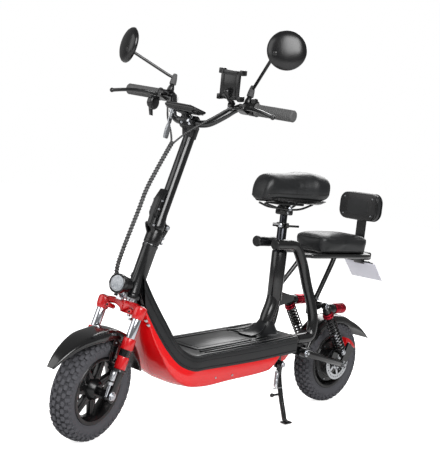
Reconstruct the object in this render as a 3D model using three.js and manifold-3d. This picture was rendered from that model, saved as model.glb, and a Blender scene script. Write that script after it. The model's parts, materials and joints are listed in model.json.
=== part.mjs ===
// Seated electric scooter, millimetres, +X forward, +Y to the rider's left, +Z up.
// The origin lies on the ground, under the middle of the frame's length.
import * as THREE from 'three';
import { mergeVertices } from 'three/addons/utils/BufferGeometryUtils.js';
import Module from 'manifold-3d';

const wasm = await Module();
wasm.setup();

// Angles
const degrees = Math.PI / 180;
const turn = 2 * Math.PI;

// Wheelbase and wheels
const frontAxleX = 530;
const wheelbase = 1050;
const wheelRadius = 150;
const tyreWidth = 64;
const beadRadius = 93;
const beadWidth = 46;
const knobHeight = 4;
const tyreKnobs = 12;
const knobRun = 0.36;
const rimFlangeThickness = 3;
const rimWallThickness = 5;
const fit = 0.3;

// Steering axis, measured where the front axle's level crosses it
const rakeAngle = 18 * degrees;
const forkOffset = 33;
const steerTurn = 15 * degrees;

// Fork
const forkHalfSpacing = 64;
const stanchionRadius = 13.5;
const stanchionSides = 10;
const stanchionForward = 32;
const crownBottom = 222;
const crownTop = 262;
const crownClampRadius = 19.5;
const crownArmHeight = 30;
const crownArmDepth = 26;
const legCollarTop = 166;
const legCollarBottom = 133;
const legCollarRadius = 18.5;
const legRingRadius = 15.5;
const legSleeveTop = 113;
const legSleeveBottom = 77;
const legSleeveRadius = 16.5;
const legBarWidth = 28;
const legBarThickness = 15;
const legBarBelow = 20;
const damperForward = 18;
const damperRadius = 8.5;
const damperRodRadius = 4.5;
const damperJoint = 28;
const legBridgeThickness = 8;
const steererRadius = 14;
const frontAxleRadius = 6;
const axleNutRadius = 11;
const axleNutLength = 9;

// Head tube and stem
const headTubeBottom = 275;
const headTubeTop = 440;
const headTubeRadius = 22;
const headCupRadius = 26;
const headCupHeight = 12;
const bearingWidth = 9;
const collarHeight = 46;
const collarRadius = 24;
const foldPivotHeight = 505;
const foldPivotBack = 34;
const stemBottom = 512;
const stemTop = 812;
const stemRadius = 17.5;
const foldLeverPivotHeight = 492;
const foldLeverForward = 39;
const foldLeverLength = 112;
const foldLeverWidth = 26;

// Handlebar, given in the steering frame
const barHeight = 905;
const barBack = 26;
const barClampHeight = 818;
const barClampForward = 24;
const barHalfWidth = 296;
const barRadius = 11;
const barSides = 8;
const barSteps = 20;
const gripRadius = 17;
const gripLength = 122;

// Deck and body
const neckFrontX = 399;
const neckTopHeight = 471;
const deckFrontX = 235;
const deckRearX = -216;
const deckFrontHeight = 243;
const deckRearHeight = 275;
const deckHalfWidth = 110;
const deckPlate = 5;
const deckCrown = 2.5;
const bodyBottomHeight = 150;
const panelWall = 3.5;

// Seat
const seatTubeX = -202;
const seatTubeRadius = 23.5;
const seatTubeTop = 545;
const seatTubeSides = 10;
const seatTubeSteps = 7;
const seatSleeveRadius = 16;
const seatSleeveTop = 640;
const seatPostRadius = 12.5;
const saddleBottom = 706;
const saddleHeight = 104;
const saddleLength = 292;
const saddleNoseX = -62;
const saddleNoseHalfWidth = 47;
const saddleRearHalfWidth = 104;

// Side loops
const loopRadius = 17;
const loopTopHeight = 571;
const loopTopHalfSpacing = 42;

// Rear suspension
const swingPivotX = -275;
const swingPivotHeight = 215;
const swingPivotHalfSpacing = 96;
const swingArmRadius = 13;
const swingAxleHalfSpacing = 76;
const shockHalfSpacing = 88;
const shockTopX = -368;
const shockTopHeight = 368;
const shockBottomX = -490;
const shockBottomHeight = 200;
const springRadius = 16.5;
const springWire = 3;
const springCurls = 9;

// Rack and rear seat
const rackHeight = 538;
const rackHalfWidth = 66;
const rackRadius = 8;
const rackFrontX = -274;
const rackRearX = -645;
const cushionFrontX = -350;
const cushionLength = 250;
const cushionHalfWidth = 66;
const cushionThickness = 66;

// Kickstand
const kickPivotX = -151;
const kickPivotHeight = 188;
const kickPivotY = 104;
const kickFootX = -148;
const kickFootY = 150;
const kickFootHeight = 8;
const kickRadius = 8.5;

const rearAxleX = frontAxleX - wheelbase;
const overrun = 20;
const mergeDistance = 0.0005;

// Geometry helpers

/** Turns a closed geometry into a solid with shared corners. */
function solidOf(geometry) {
  const bare = new THREE.BufferGeometry();
  bare.setAttribute('position', geometry.getAttribute('position'));
  bare.setIndex(geometry.index);
  const merged = mergeVertices(bare, mergeDistance);
  const corners = merged.index.array;
  const kept = [];
  for (let i = 0; i < corners.length; i += 3) {
    const [a, b, c] = corners.slice(i, i + 3);
    if (a !== b && b !== c && c !== a) kept.push(a, b, c);
  }
  const vertProperties = new Float32Array(merged.getAttribute('position').array);
  return new wasm.Manifold(new wasm.Mesh({ numProp: 3, vertProperties, triVerts: new Uint32Array(kept) }));
}

/** Turns a solid back into a geometry. */
function geometryOf(solid) {
  const mesh = solid.getMesh();
  const geometry = new THREE.BufferGeometry();
  geometry.setAttribute('position', new THREE.BufferAttribute(new Float32Array(mesh.vertProperties), 3));
  geometry.setIndex(new THREE.BufferAttribute(new Uint32Array(mesh.triVerts), 1));
  geometry.computeVertexNormals();
  return geometry;
}

/** Joins geometries into one. */
function join(...pieces) {
  return geometryOf(pieces.map(solidOf).reduce((whole, piece) => whole.add(piece)));
}

/** Cuts tools out of a body. */
function cut(body, ...tools) {
  return geometryOf(tools.map(solidOf).reduce((whole, tool) => whole.subtract(tool), solidOf(body)));
}

/** Keeps what two geometries share. */
function common(a, b) {
  return geometryOf(solidOf(a).intersect(solidOf(b)));
}

/** A moved copy. */
function at(geometry, x, y, z) {
  return geometry.clone().translate(x, y, z);
}

/** A copy mirrored across the scooter's middle plane. */
function mirrored(geometry) {
  const copy = geometry.index ? geometry.clone() : mergeVertices(stripped(geometry), mergeDistance);
  copy.scale(1, -1, 1);
  const corners = copy.index.array;
  for (let i = 0; i < corners.length; i += 3) [corners[i], corners[i + 1]] = [corners[i + 1], corners[i]];
  copy.computeVertexNormals();
  return copy;
}

/** A copy with positions only. */
function stripped(geometry) {
  const bare = new THREE.BufferGeometry();
  bare.setAttribute('position', geometry.getAttribute('position').clone());
  if (geometry.index) bare.setIndex(geometry.index.clone());
  return bare;
}

/** A box about its middle. */
function block(x, y, z) {
  return new THREE.BoxGeometry(x, y, z);
}

/** A round bar between two points; the far end may have its own radius. */
function barBetween(start, end, radius, sides = 16, endRadius = radius) {
  const from = new THREE.Vector3(...start);
  const along = new THREE.Vector3(...end).sub(from);
  const geometry = new THREE.CylinderGeometry(endRadius, radius, along.length(), sides);
  const up = new THREE.Vector3(0, 1, 0);
  geometry.applyQuaternion(new THREE.Quaternion().setFromUnitVectors(up, along.clone().normalize()));
  const middle = from.addScaledVector(along, 0.5);
  return geometry.translate(middle.x, middle.y, middle.z);
}

/** A profile of [radius, height] points turned about +Z. */
function turnedUp(profile, sides = 24) {
  const points = profile.map(([radius, height]) => new THREE.Vector2(radius, height));
  return pointingOut(new THREE.LatheGeometry(points, sides).rotateX(turn / 4));
}

/** A profile of [radius, sideways] points turned about +Y. */
function turnedSide(profile, sides = 24) {
  const points = profile.map(([radius, side]) => new THREE.Vector2(radius, side));
  return pointingOut(new THREE.LatheGeometry(points, sides));
}

/** A washer-like ring about +Z. */
function ringUp(inner, outer, bottom, top, sides = 24) {
  return turnedUp([[inner, bottom], [outer, bottom], [outer, top], [inner, top], [inner, bottom]], sides);
}

/** A washer-like ring about +Y. */
function ringSide(inner, outer, near, far, sides = 24) {
  return turnedSide([[inner, near], [outer, near], [outer, far], [inner, far], [inner, near]], sides);
}

/** A side outline of [x, z] points, drawn anticlockwise seen from the right, given a width along +Y. */
function plateFrom(outline, width, middleY = 0) {
  const shape = new THREE.Shape(outline.map(([x, z]) => new THREE.Vector2(x, z)));
  const geometry = new THREE.ExtrudeGeometry(shape, { depth: width, bevelEnabled: false });
  return geometry.rotateX(turn / 4).translate(0, middleY + width / 2, 0);
}

/** A rounded rectangle outline. */
function roundedOutline(width, height, radius, stepsPerCorner = 2) {
  const points = [];
  const centres = [[1, 1], [-1, 1], [-1, -1], [1, -1]];
  centres.forEach(([sx, sy], corner) => {
    for (let i = 0; i <= stepsPerCorner; i += 1) {
      const angle = (corner + i / stepsPerCorner) * turn / 4;
      points.push([
        sx * (width / 2 - radius) + radius * Math.cos(angle),
        sy * (height / 2 - radius) + radius * Math.sin(angle),
      ]);
    }
  });
  return points;
}

/** A rounded slab lying flat, its middle at the origin. */
function slab(length, width, thickness, radius) {
  const shape = new THREE.Shape(roundedOutline(length, width, radius).map(([x, y]) => new THREE.Vector2(x, y)));
  const geometry = new THREE.ExtrudeGeometry(shape, { depth: thickness, bevelEnabled: false });
  return geometry.translate(0, 0, -thickness / 2);
}

/** A closed skin through rings of equal length, with an end cap at both ends unless it closes on itself. */
function skin(rings, closed = false, endCap = capOf) {
  const count = rings[0].length;
  const positions = rings.flat(2);
  const index = [];
  const spans = closed ? rings.length : rings.length - 1;
  for (let i = 0; i < spans; i += 1) {
    const next = (i + 1) % rings.length;
    for (let j = 0; j < count; j += 1) {
      const k = (j + 1) % count;
      index.push(i * count + j, next * count + j, next * count + k);
      index.push(i * count + j, next * count + k, i * count + k);
    }
  }
  if (!closed) {
    index.push(...endCap(rings[0], 0));
    index.push(...endCap(rings.at(-1), (rings.length - 1) * count).reverse());
  }
  const geometry = new THREE.BufferGeometry();
  geometry.setAttribute('position', new THREE.BufferAttribute(new Float32Array(positions), 3));
  geometry.setIndex(index);
  return pointingOut(geometry);
}

/** Triangles that close a ring, which may have hollows in its outline. */
function capOf(ring, first) {
  const points = ring.map((point) => new THREE.Vector3(...point));
  const normal = new THREE.Vector3();
  points.forEach((point, i) => normal.add(new THREE.Vector3().crossVectors(point, points[(i + 1) % points.length])));
  normal.normalize();
  const side = new THREE.Vector3(1, 0, 0).cross(normal);
  if (side.length() < 0.5) side.set(0, 1, 0).cross(normal);
  side.normalize();
  const rise = new THREE.Vector3().crossVectors(normal, side);
  const flat = points.map((point) => new THREE.Vector2(point.dot(side), point.dot(rise)));
  return THREE.ShapeUtils.triangulateShape(flat, []).flat().map((i) => first + i);
}

/** Triangles that close a ring made of an outer run and an inner run back. */
function stripCap(ring, first) {
  const last = ring.length - 1;
  return Array.from({ length: ring.length / 2 - 1 }, (unused, j) => [
    j, j + 1, last - j - 1, j, last - j - 1, last - j,
  ]).flat().map((i) => first + i);
}

/** Turns a closed geometry's faces outward. */
function pointingOut(geometry) {
  const place = geometry.getAttribute('position');
  const corners = geometry.index.array;
  let volume = 0;
  const [a, b, c] = [0, 1, 2].map(() => new THREE.Vector3());
  for (let i = 0; i < corners.length; i += 3) {
    a.fromBufferAttribute(place, corners[i]);
    b.fromBufferAttribute(place, corners[i + 1]);
    c.fromBufferAttribute(place, corners[i + 2]);
    volume += a.dot(b.cross(c));
  }
  if (volume < 0) {
    for (let i = 0; i < corners.length; i += 3) [corners[i], corners[i + 1]] = [corners[i + 1], corners[i]];
  }
  geometry.computeVertexNormals();
  return geometry;
}

/** A round tube along points; its radius may follow a function of the share of the way. */
function tubeAlong(points, radius, sides = 12, steps = 24) {
  const curve = new THREE.CatmullRomCurve3(points.map((point) => new THREE.Vector3(...point)), false, 'centripetal');
  return sectionAlong(curve, circleOutline(radius, sides), steps);
}

/** A circle outline. */
function circleOutline(radius, sides) {
  return Array.from({ length: sides }, (unused, i) => [
    radius * Math.cos(i / sides * turn),
    radius * Math.sin(i / sides * turn),
  ]);
}

/** An outline swept along a curve. */
function sectionAlong(curve, outline, steps) {
  const shape = new THREE.Shape(outline.map(([x, y]) => new THREE.Vector2(x, y)));
  return new THREE.ExtrudeGeometry(shape, { steps, extrudePath: curve, bevelEnabled: false });
}

/** A coil of wire about +Z with straight ends one wire diameter long. */
class CoilCurve extends THREE.Curve {
  constructor(radius, bottom, top, curls, lead) {
    super();
    Object.assign(this, { radius, bottom, top, curls, lead });
    this.arc = turn * radius * curls;
    this.leadShare = lead / (this.arc + 2 * lead);
  }

  getPoint(share, target = new THREE.Vector3()) {
    const inner = (share - this.leadShare) / (1 - 2 * this.leadShare);
    const held = Math.min(1, Math.max(0, inner));
    const angle = held * this.curls * turn;
    target.set(
      this.radius * Math.cos(angle),
      this.radius * Math.sin(angle),
      this.bottom + (this.top - this.bottom) * held,
    );
    const beyond = (inner - held) * (1 - 2 * this.leadShare) / this.leadShare * this.lead;
    target.x -= beyond * Math.sin(angle);
    target.y += beyond * Math.cos(angle);
    return target;
  }
}

/** A wound wire, and the least gap between its own curls. */
function coil(radius, wire, bottom, top, curls, name) {
  const stepsPerCurl = 8;
  const wireSides = 5;
  const curve = new CoilCurve(radius, bottom, top, curls, 2 * wire);
  const steps = Math.round(curls * stepsPerCurl) + 2;
  curve.arcLengthDivisions = steps * stepsPerCurl;
  const pitch = (top - bottom) / curls;
  let least = Infinity;
  for (let i = 0; i <= stepsPerCurl; i += 1) {
    const here = curve.getPoint(curve.leadShare + i / stepsPerCurl / curls * (1 - 2 * curve.leadShare));
    const next = curve.getPoint(curve.leadShare + (i / stepsPerCurl + 1) / curls * (1 - 2 * curve.leadShare));
    least = Math.min(least, here.distanceTo(next) - 2 * wire);
  }
  console.log(`${name}: pitch ${pitch.toFixed(2)} mm, least gap between curls ${least.toFixed(2)} mm`);
  return sectionAlong(curve, circleOutline(wire, wireSides), steps);
}

/** Values between two ends. */
function between(from, to, share) {
  return from + (to - from) * share;
}

/** A smooth step from 0 to 1. */
function easeShare(share) {
  const held = Math.min(1, Math.max(0, share));
  return held * held * (3 - 2 * held);
}

/** Points on an arc in a plane: [across, up] pairs about a centre. */
function arcPoints(radius, fromAngle, toAngle, steps, centreAcross = 0, centreUp = 0) {
  return Array.from({ length: steps + 1 }, (unused, i) => {
    const angle = between(fromAngle, toAngle, i / steps);
    return [centreAcross + radius * Math.cos(angle), centreUp + radius * Math.sin(angle)];
  });
}

// Scene graph: the parts that turn with the fork hang in a group on the steering axis

const group = new THREE.Group();
group.name = 'seated_scooter';

const steering = new THREE.Group();
steering.position.set(
  frontAxleX - forkOffset * Math.cos(rakeAngle),
  0,
  wheelRadius - forkOffset * Math.sin(rakeAngle),
);
steering.rotation.order = 'ZYX';
steering.rotation.set(0, -rakeAngle, 0);
group.add(steering);

const steered = new THREE.Group();
steered.rotation.z = steerTurn;
steering.add(steered);

/** Adds a named mesh with its own finish. */
function add(parent, name, geometry, color, roughness, metalness = 0) {
  const material = new THREE.MeshStandardMaterial({ color, roughness, metalness });
  const mesh = new THREE.Mesh(geometry, material);
  mesh.name = name;
  parent.add(mesh);
  return mesh;
}

const black = 0x1d1d1f;
const rubberBlack = 0x19191a;
const satinBlack = 0x2a2a2c;
const red = 0xd3161c;
const castRed = 0xc8202a;
const chrome = 0xd9dadc;
const steel = 0xa9abae;
const leatherBlack = 0x26272a;
const white = 0xf2f3f5;

/** Both sides of a pair, the left one as given. */
const sides = [['left', 1], ['right', -1]];

/** The left or the right copy of a geometry drawn on the left. */
function sided(geometry, side) {
  return side > 0 ? geometry : mirrored(geometry);
}

// Wheels

/** The tyre's half section as [radius share of the section height, sideways share of half width]. */
const tyreSectionShares = [
  [0, 0.66], [0.1, 0.72], [0.5, 1], [0.84, 0.88], [1, 0.4],
];

/** A knobbly tyre about +Y: every second rib stands up, and the shoulder ribs stand between them. */
function tyre() {
  const shoulderShare = 0.6;
  const sectionHeight = wheelRadius - knobHeight - beadRadius;
  const half = tyreSectionShares.map(([rise, side]) => [beadRadius + sectionHeight * rise, tyreWidth / 2 * side, rise]);
  const whole = [...half, ...half.map(([radius, side, rise]) => [radius, -side, rise]).reverse()];
  const rings = [];
  for (let i = 0; i < tyreKnobs; i += 1) {
    for (const [offset, raised] of [[0, 1], [knobRun, 1], [0.5, 0], [0.5 + knobRun, 0]]) {
      const angle = (i + offset) / tyreKnobs * turn;
      rings.push(whole.map(([radius, side, rise]) => {
        const onTread = rise > 0.9;
        const onShoulder = rise > shoulderShare && !onTread;
        const lift = (onTread && raised) || (onShoulder && !raised) ? knobHeight * rise : 0;
        const reach = radius + lift;
        return [reach * Math.cos(angle), side, reach * Math.sin(angle)];
      }));
    }
  }
  return skin(rings, true);
}

/** The rim's ring and bead seats: where its inner face lies, and its closed [radius, side] profile. */
function rimProfile() {
  const facetShare = Math.cos(knobRun / tyreKnobs * turn / 2);
  const seat = beadRadius * facetShare - fit;
  const bed = seat - rimWallThickness;
  const inner = bed - rimWallThickness * 2;
  const foot = tyreWidth / 2 * tyreSectionShares[1][1] + fit;
  const lip = foot + rimFlangeThickness;
  const flangeRise = (wheelRadius - knobHeight - beadRadius) * tyreSectionShares[1][0];
  const flange = (beadRadius + flangeRise) * facetShare - fit;
  const half = [
    [seat, foot], [flange, foot], [flange, lip], [bed, lip], [inner, beadWidth / 5],
  ];
  const other = half.map(([radius, side]) => [radius, -side]).reverse();
  return { inner, points: [...half, ...other, half[0]] };
}

/** A cast rim with tapered spokes and a bored hub. */
function spokedRim(boreRadius) {
  const spokes = 7;
  const hubRadius = 27;
  const hubHalfLength = hubHalfGap - fit;
  const spokeInner = 26;
  const spokeOuter = 17;
  const spokeDepth = 16;
  const profile = rimProfile();
  const ring = turnedSide(profile.points, 16);
  const hub = turnedSide([
    [0, -hubHalfLength], [hubRadius * 0.8, -hubHalfLength], [hubRadius, -hubHalfLength * 0.7],
    [hubRadius * 1.25, 0], [hubRadius, hubHalfLength * 0.7], [hubRadius * 0.8, hubHalfLength], [0, hubHalfLength],
  ], 12);
  const reach = profile.inner + rimWallThickness / 2;
  const spoke = plateFrom([
    [spokeInner / 2, 0], [spokeOuter / 2, reach], [-spokeOuter / 2, reach], [-spokeInner / 2, 0],
  ], spokeDepth);
  const groove = plateFrom([
    [spokeInner / 7, hubRadius * 1.4], [spokeOuter / 6, reach * 0.92],
    [-spokeOuter / 6, reach * 0.92], [-spokeInner / 7, hubRadius * 1.4],
  ], spokeDepth);
  const arms = Array.from({ length: spokes }, (unused, i) => {
    const recessed = cut(spoke, at(groove, 0, spokeDepth * 0.8, 0), at(groove, 0, -spokeDepth * 0.8, 0));
    return recessed.rotateY(i / spokes * turn);
  });
  const bore = barBetween([0, -hubHalfLength - overrun, 0], [0, hubHalfLength + overrun, 0], boreRadius, 9);
  return cut(join(ring, hub, ...arms), bore);
}

/** A brake disc with a scalloped edge and rows of holes. */
function brakeDisc(radius, thickness, boreRadius, y) {
  const scallops = 10;
  const waveShare = 0.045;
  const outline = Array.from({ length: scallops * 2 }, (unused, i) => {
    const angle = i / (scallops * 2) * turn;
    const reach = radius * (1 - waveShare * (0.5 + 0.5 * Math.cos(angle * scallops)));
    return [reach * Math.cos(angle), reach * Math.sin(angle)];
  });
  const disc = plateFrom(outline, thickness, y);
  const bore = barBetween([0, y - overrun, 0], [0, y + overrun, 0], boreRadius, 9);
  const windows = 6;
  const window = plateFrom([
    ...arcPoints(radius * 0.72, -0.3, 0.3, 2),
    ...arcPoints(boreRadius + (radius - boreRadius) * 0.3, 0.3, -0.3, 1),
  ], thickness + overrun, y);
  const cuts = Array.from({ length: windows }, (unused, i) => window.clone().rotateY(i / windows * turn));
  return cut(disc, bore, ...cuts);
}

const discThickness = 2;
const frontDiscRadius = 58;
const frontDiscY = -38;
const rearDiscRadius = 60;
const rearDiscY = 53;
const rotorBore = 16;
const wheelSpinClearance = 0.6;
const axleAhead = forkOffset;
const hubHalfGap = 25;

/** The front wheel, its disc and its axle, in the steering frame. */
function addFrontWheel() {
  const place = (geometry) => at(geometry, axleAhead, 0, 0);
  add(steered, 'front_tyre', place(tyre()), rubberBlack, 0.9);
  const bore = frontAxleRadius + wheelSpinClearance;
  const hubEnd = Math.abs(frontDiscY) + discThickness / 2;
  const carrier = ringSide(bore, rotorBore - fit, -hubEnd - discThickness, 0, 9);
  add(steered, 'front_rim', place(join(spokedRim(bore), carrier)), satinBlack, 0.5, 0.3);
  add(steered, 'front_disc', place(brakeDisc(frontDiscRadius, discThickness, rotorBore, frontDiscY)), steel, 0.3, 0.9);
  const legInner = forkHalfSpacing - legBarThickness / 2;
  const legOuter = forkHalfSpacing + legBarThickness / 2;
  const spacerRadius = frontAxleRadius * 1.8;
  const rod = barBetween([0, -legOuter - axleNutLength, 0], [0, legOuter + axleNutLength, 0], frontAxleRadius, 9);
  const nuts = [1, -1].map((side) => (
    barBetween([0, side * (legOuter + fit), 0], [0, side * (legOuter + axleNutLength), 0], axleNutRadius, 6)
  ));
  const spacers = [
    barBetween([0, hubHalfGap, 0], [0, legInner - fit, 0], spacerRadius, 8),
    barBetween([0, -hubEnd - discThickness * 2, 0], [0, -legInner + fit, 0], spacerRadius, 8),
  ];
  add(steered, 'front_axle', place(join(rod, ...nuts, ...spacers)), steel, 0.35, 0.9);
}

// Fork

/** The crown with its steerer and the two plated stanchions, one pressed assembly. */
function addForkCrown() {
  const steererTop = headTubeTop + collarHeight;
  const steerer = barBetween([0, 0, crownBottom + fit], [0, 0, steererTop], steererRadius, 10);
  const hub = turnedUp([
    [0, crownBottom + crownArmHeight / 3], [crownClampRadius, crownBottom + crownArmHeight / 3],
    [headCupRadius, crownTop - crownArmHeight / 4], [headCupRadius, crownTop], [0, crownTop],
  ], 12);
  const lampPad = at(
    block(lampDepth * 0.3, lampRadius * 0.7, crownArmHeight / 3),
    headCupRadius + fit * 4 + lampDepth * 0.15,
    0,
    crownTop + lampPadRise - crownArmHeight / 6,
  );
  const pieces = [steerer, hub, lampPad];
  const armMiddle = between(crownBottom, crownTop, 0.62);
  for (const [, side] of sides) {
    const clampTop = crownTop - crownArmHeight / 8;
    const clamp = at(turnedUp([
      [0, crownBottom], [crownClampRadius * 0.9, crownBottom], [crownClampRadius, crownBottom + crownArmHeight / 6],
      [crownClampRadius, clampTop - crownArmHeight / 6], [crownClampRadius * 0.86, clampTop], [0, clampTop],
    ], 10), stanchionForward, side * forkHalfSpacing, 0);
    const arm = skin(Array.from({ length: 4 }, (unused, i) => {
      const share = i / 3;
      const lift = crownArmHeight * 0.35 * Math.sin(share * turn / 2);
      const deep = between(crownArmDepth * 1.25, crownArmDepth, share);
      const tall = between(crownArmHeight, crownArmHeight * 0.8, share) * (1 - 0.3 * Math.sin(share * turn / 2));
      const centre = [
        between(stanchionForward * 0.35, stanchionForward, share),
        side * between(0, forkHalfSpacing, share),
        armMiddle + lift,
      ];
      return roundedOutline(deep, tall, tall / 4, 1).map(([ahead, up]) => [
        centre[0] + ahead, centre[1], centre[2] + up,
      ]);
    }));
    const boss = barBetween(
      [stanchionForward - crownClampRadius, side * forkHalfSpacing * 0.62, armMiddle - crownArmHeight * 0.3],
      [stanchionForward + crownClampRadius * 0.8, side * forkHalfSpacing * 0.62, armMiddle - crownArmHeight * 0.3],
      crownArmHeight * 0.28,
      6,
    );
    const stanchion = barBetween(
      [stanchionForward, side * forkHalfSpacing, legCollarBottom + legBridgeThickness],
      [stanchionForward, side * forkHalfSpacing, crownBottom + crownArmHeight / 2],
      stanchionRadius,
      stanchionSides,
    );
    pieces.push(clamp, arm, boss, stanchion);
  }
  add(steered, 'fork_crown', join(...pieces), castRed, 0.4, 0.3);
}

/** One lower leg: collar, sleeve, bridge and the flat bar down to the axle. */
function addForkLower(label, side) {
  const slideClearance = 0.4;
  const y = forkHalfSpacing;
  const x = stanchionForward;
  const barTop = legSleeveBottom - legBridgeThickness;
  const outer = at(turnedUp([
    [0, legSleeveBottom - legBridgeThickness / 2], [legSleeveRadius, legSleeveBottom - legBridgeThickness / 2],
    [legSleeveRadius, legSleeveTop], [legRingRadius, legSleeveTop], [legRingRadius, legCollarBottom],
    [legCollarRadius * 0.9, legCollarBottom], [legCollarRadius, between(legCollarBottom, legCollarTop, 0.5)],
    [legCollarRadius, legCollarTop], [0, legCollarTop],
  ], 10), x, y, 0);
  const bore = barBetween(
    [x, y, legCollarBottom - springTravel],
    [x, y, legCollarTop + overrun],
    stanchionRadius + slideClearance,
    stanchionSides,
  );
  const bridgeLength = damperForward + legSleeveRadius + damperRadius * 1.5;
  const bridge = at(
    slab(bridgeLength, legSleeveRadius * 2, legBridgeThickness, damperRadius),
    x + bridgeLength / 2 - legSleeveRadius,
    y,
    legSleeveBottom - legBridgeThickness / 2,
  );
  const barMiddleX = x - legBarWidth / 4;
  const bar = plateFrom([
    [-legBarWidth / 2, barTop], [legBarWidth / 2, barTop],
    [legBarWidth / 2, legBarBelow], [legBarWidth / 2 + axleNutRadius / 2, 0],
    [legBarWidth / 2, -legBarBelow * 0.8], [legBarWidth / 4, -legBarBelow],
    [-legBarWidth / 4, -legBarBelow], [-legBarWidth / 2, -legBarBelow / 2],
  ].map(([ahead, up]) => [barMiddleX + ahead, up]).reverse(), legBarThickness, y);
  const foot = at(
    slab(damperForward + damperRadius, legBarThickness, legBridgeThickness, damperRodRadius),
    x + damperForward / 2 + damperRadius / 2,
    y,
    -legBarBelow / 2,
  );
  const damper = at(turnedUp([
    [0, -legBarBelow / 2], [damperRodRadius, -legBarBelow / 2], [damperRodRadius, damperJoint],
    [damperRadius, damperJoint + damperRodRadius / 2], [damperRadius, barTop + fit], [0, barTop + fit],
  ], 8), x + damperForward, y, 0);
  const axleHole = barBetween([axleAhead, 0, 0], [axleAhead, y + overrun, 0], frontAxleRadius + fit, 9);
  const tabThickness = fenderTabThickness;
  const tab = at(
    block(legSleeveRadius, tabThickness, legBridgeThickness),
    x,
    y - legSleeveRadius - tabThickness / 3,
    between(legSleeveBottom, legSleeveTop, 0.5),
  );
  const leg = cut(join(outer, bridge, bar, foot, damper, tab), bore, axleHole);
  add(steered, `fork_lower_${label}`, sided(leg, side), castRed, 0.35, 0.3);
}

const springTravel = 32;
const fenderTabThickness = 5;
const fenderThickness = 3;
const fenderHalfWidth = 39;
const fenderSkirt = 24;
const fenderTopRadius = 178;
const fenderTipRadius = 212;
const fenderFrontAngle = 8 * degrees;
const fenderRearAngle = 150 * degrees;
const fenderFlareAngle = 62 * degrees;
const fenderBracketThickness = 3;

/** A mudguard shell about +Y: rings of a U section along an arc whose radius may change. */
function mudguard({ fromAngle, toAngle, radiusAt, halfWidth, skirtAt, thickness, steps }) {
  const sectionShares = [[1, 1], [0.95, 0.4], [0.78, 0.1], [0.3, 0], [-0.3, 0], [-0.78, 0.1], [-0.95, 0.4], [-1, 1]];
  const rings = [];
  for (let i = 0; i <= steps; i += 1) {
    const angle = between(fromAngle, toAngle, i / steps);
    const radius = radiusAt(angle);
    const skirt = skirtAt(i / steps);
    const outer = sectionShares.map(([across, drop]) => [halfWidth * across, radius - skirt * drop]);
    const inner = sectionShares.map(([across, drop]) => [
      (halfWidth - thickness) * across, radius - thickness - (skirt - thickness) * drop,
    ]).reverse();
    rings.push([...outer, ...inner].map(([y, reach]) => [reach * Math.cos(angle), y, reach * Math.sin(angle)]));
  }
  return skin(rings, false, stripCap);
}

/** The front mudguard with the two side brackets that bolt it to the lower legs. */
function addFrontFender() {
  const shell = mudguard({
    fromAngle: fenderFrontAngle,
    toAngle: fenderRearAngle,
    radiusAt: (angle) => fenderTopRadius
      + (fenderTipRadius - fenderTopRadius) * Math.max(0, 1 - angle / fenderFlareAngle) ** 1.3 * 1.25,
    halfWidth: fenderHalfWidth,
    skirtAt: (share) => fenderSkirt * (0.35 + 0.65 * Math.min(1, share * 5, (1 - share) * 6)),
    thickness: fenderThickness,
    steps: 9,
  });
  const bracketOutline = [
    [-14, 142], [24, 158], [34, 150], [30, 104], [20, 88], [-6, 88], [-14, 96],
  ].map(([ahead, up]) => [
    stanchionForward - axleAhead + ahead / fenderBracketReach * fenderTabReach,
    up / fenderBracketTop * (fenderTopRadius - fenderSkirt + fenderThickness),
  ]);
  const bracket = plateFrom(bracketOutline.reverse(), fenderBracketThickness, fenderHalfWidth - fenderThickness / 2);
  const lugLength = forkHalfSpacing - legSleeveRadius - fenderHalfWidth - fenderTabThickness * 5 / 6 - fit;
  const lug = barBetween(
    [stanchionForward - axleAhead, fenderHalfWidth - fenderThickness / 2, between(legSleeveBottom, legSleeveTop, 0.5)],
    [stanchionForward - axleAhead, fenderHalfWidth + lugLength, between(legSleeveBottom, legSleeveTop, 0.5)],
    legBridgeThickness / 1.5,
    6,
  );
  const pieces = [shell, bracket, mirrored(bracket), lug, mirrored(lug)];
  add(steered, 'front_fender', at(join(...pieces), axleAhead, 0, 0), black, 0.25, 0);
}

const fenderBracketReach = 34;
const fenderTabReach = 34;
const fenderBracketTop = 158;

const calliperGap = 1.2;
const frontCalliperHeight = 46;

/** A brake calliper straddling a disc at side y, its middle at the origin of x and z. */
function calliper(length, height, y, mountY) {
  const bodyDepth = 18;
  const slot = discThickness + 2 * calliperGap;
  const body = plateFrom(roundedOutline(length, height, height / 4), bodyDepth, y);
  const gap = at(block(length * 1.2, slot, height * 0.8), 0, y, -height * 0.22);
  const piston = barBetween(
    [0, y - Math.sign(mountY) * bodyDepth * 0.4, 0],
    [0, y - Math.sign(mountY) * bodyDepth * 0.75, 0],
    height * 0.32,
    8,
  );
  const outerFace = y + Math.sign(mountY) * bodyDepth * 0.4;
  const ear = barBetween([length * 0.2, outerFace, -height * 0.12], [length * 0.2, mountY, -height * 0.12], height * 0.16, 8);
  const otherEar = barBetween(
    [-length * 0.2, outerFace, -height * 0.12],
    [-length * 0.2, mountY, -height * 0.12],
    height * 0.16,
    8,
  );
  return cut(join(body, piston, ear, otherEar), gap);
}

/** The front brake calliper, bolted to the inside of the right lower leg. */
function addFrontCalliper() {
  const length = 44;
  const height = 30;
  const legInner = forkHalfSpacing - legBarThickness / 2 - fit;
  const body = calliper(length, height, frontDiscY, -legInner);
  const reach = frontDiscRadius - height * 0.12;
  const placed = body.rotateY(-frontCalliperTurn).translate(
    axleAhead + reach * Math.sin(-frontCalliperTurn),
    0,
    reach * Math.cos(-frontCalliperTurn),
  );
  add(steered, 'front_calliper', placed, satinBlack, 0.5, 0.3);
}

const frontCalliperTurn = 12 * degrees;

// Head bearings, stem and fold

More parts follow.
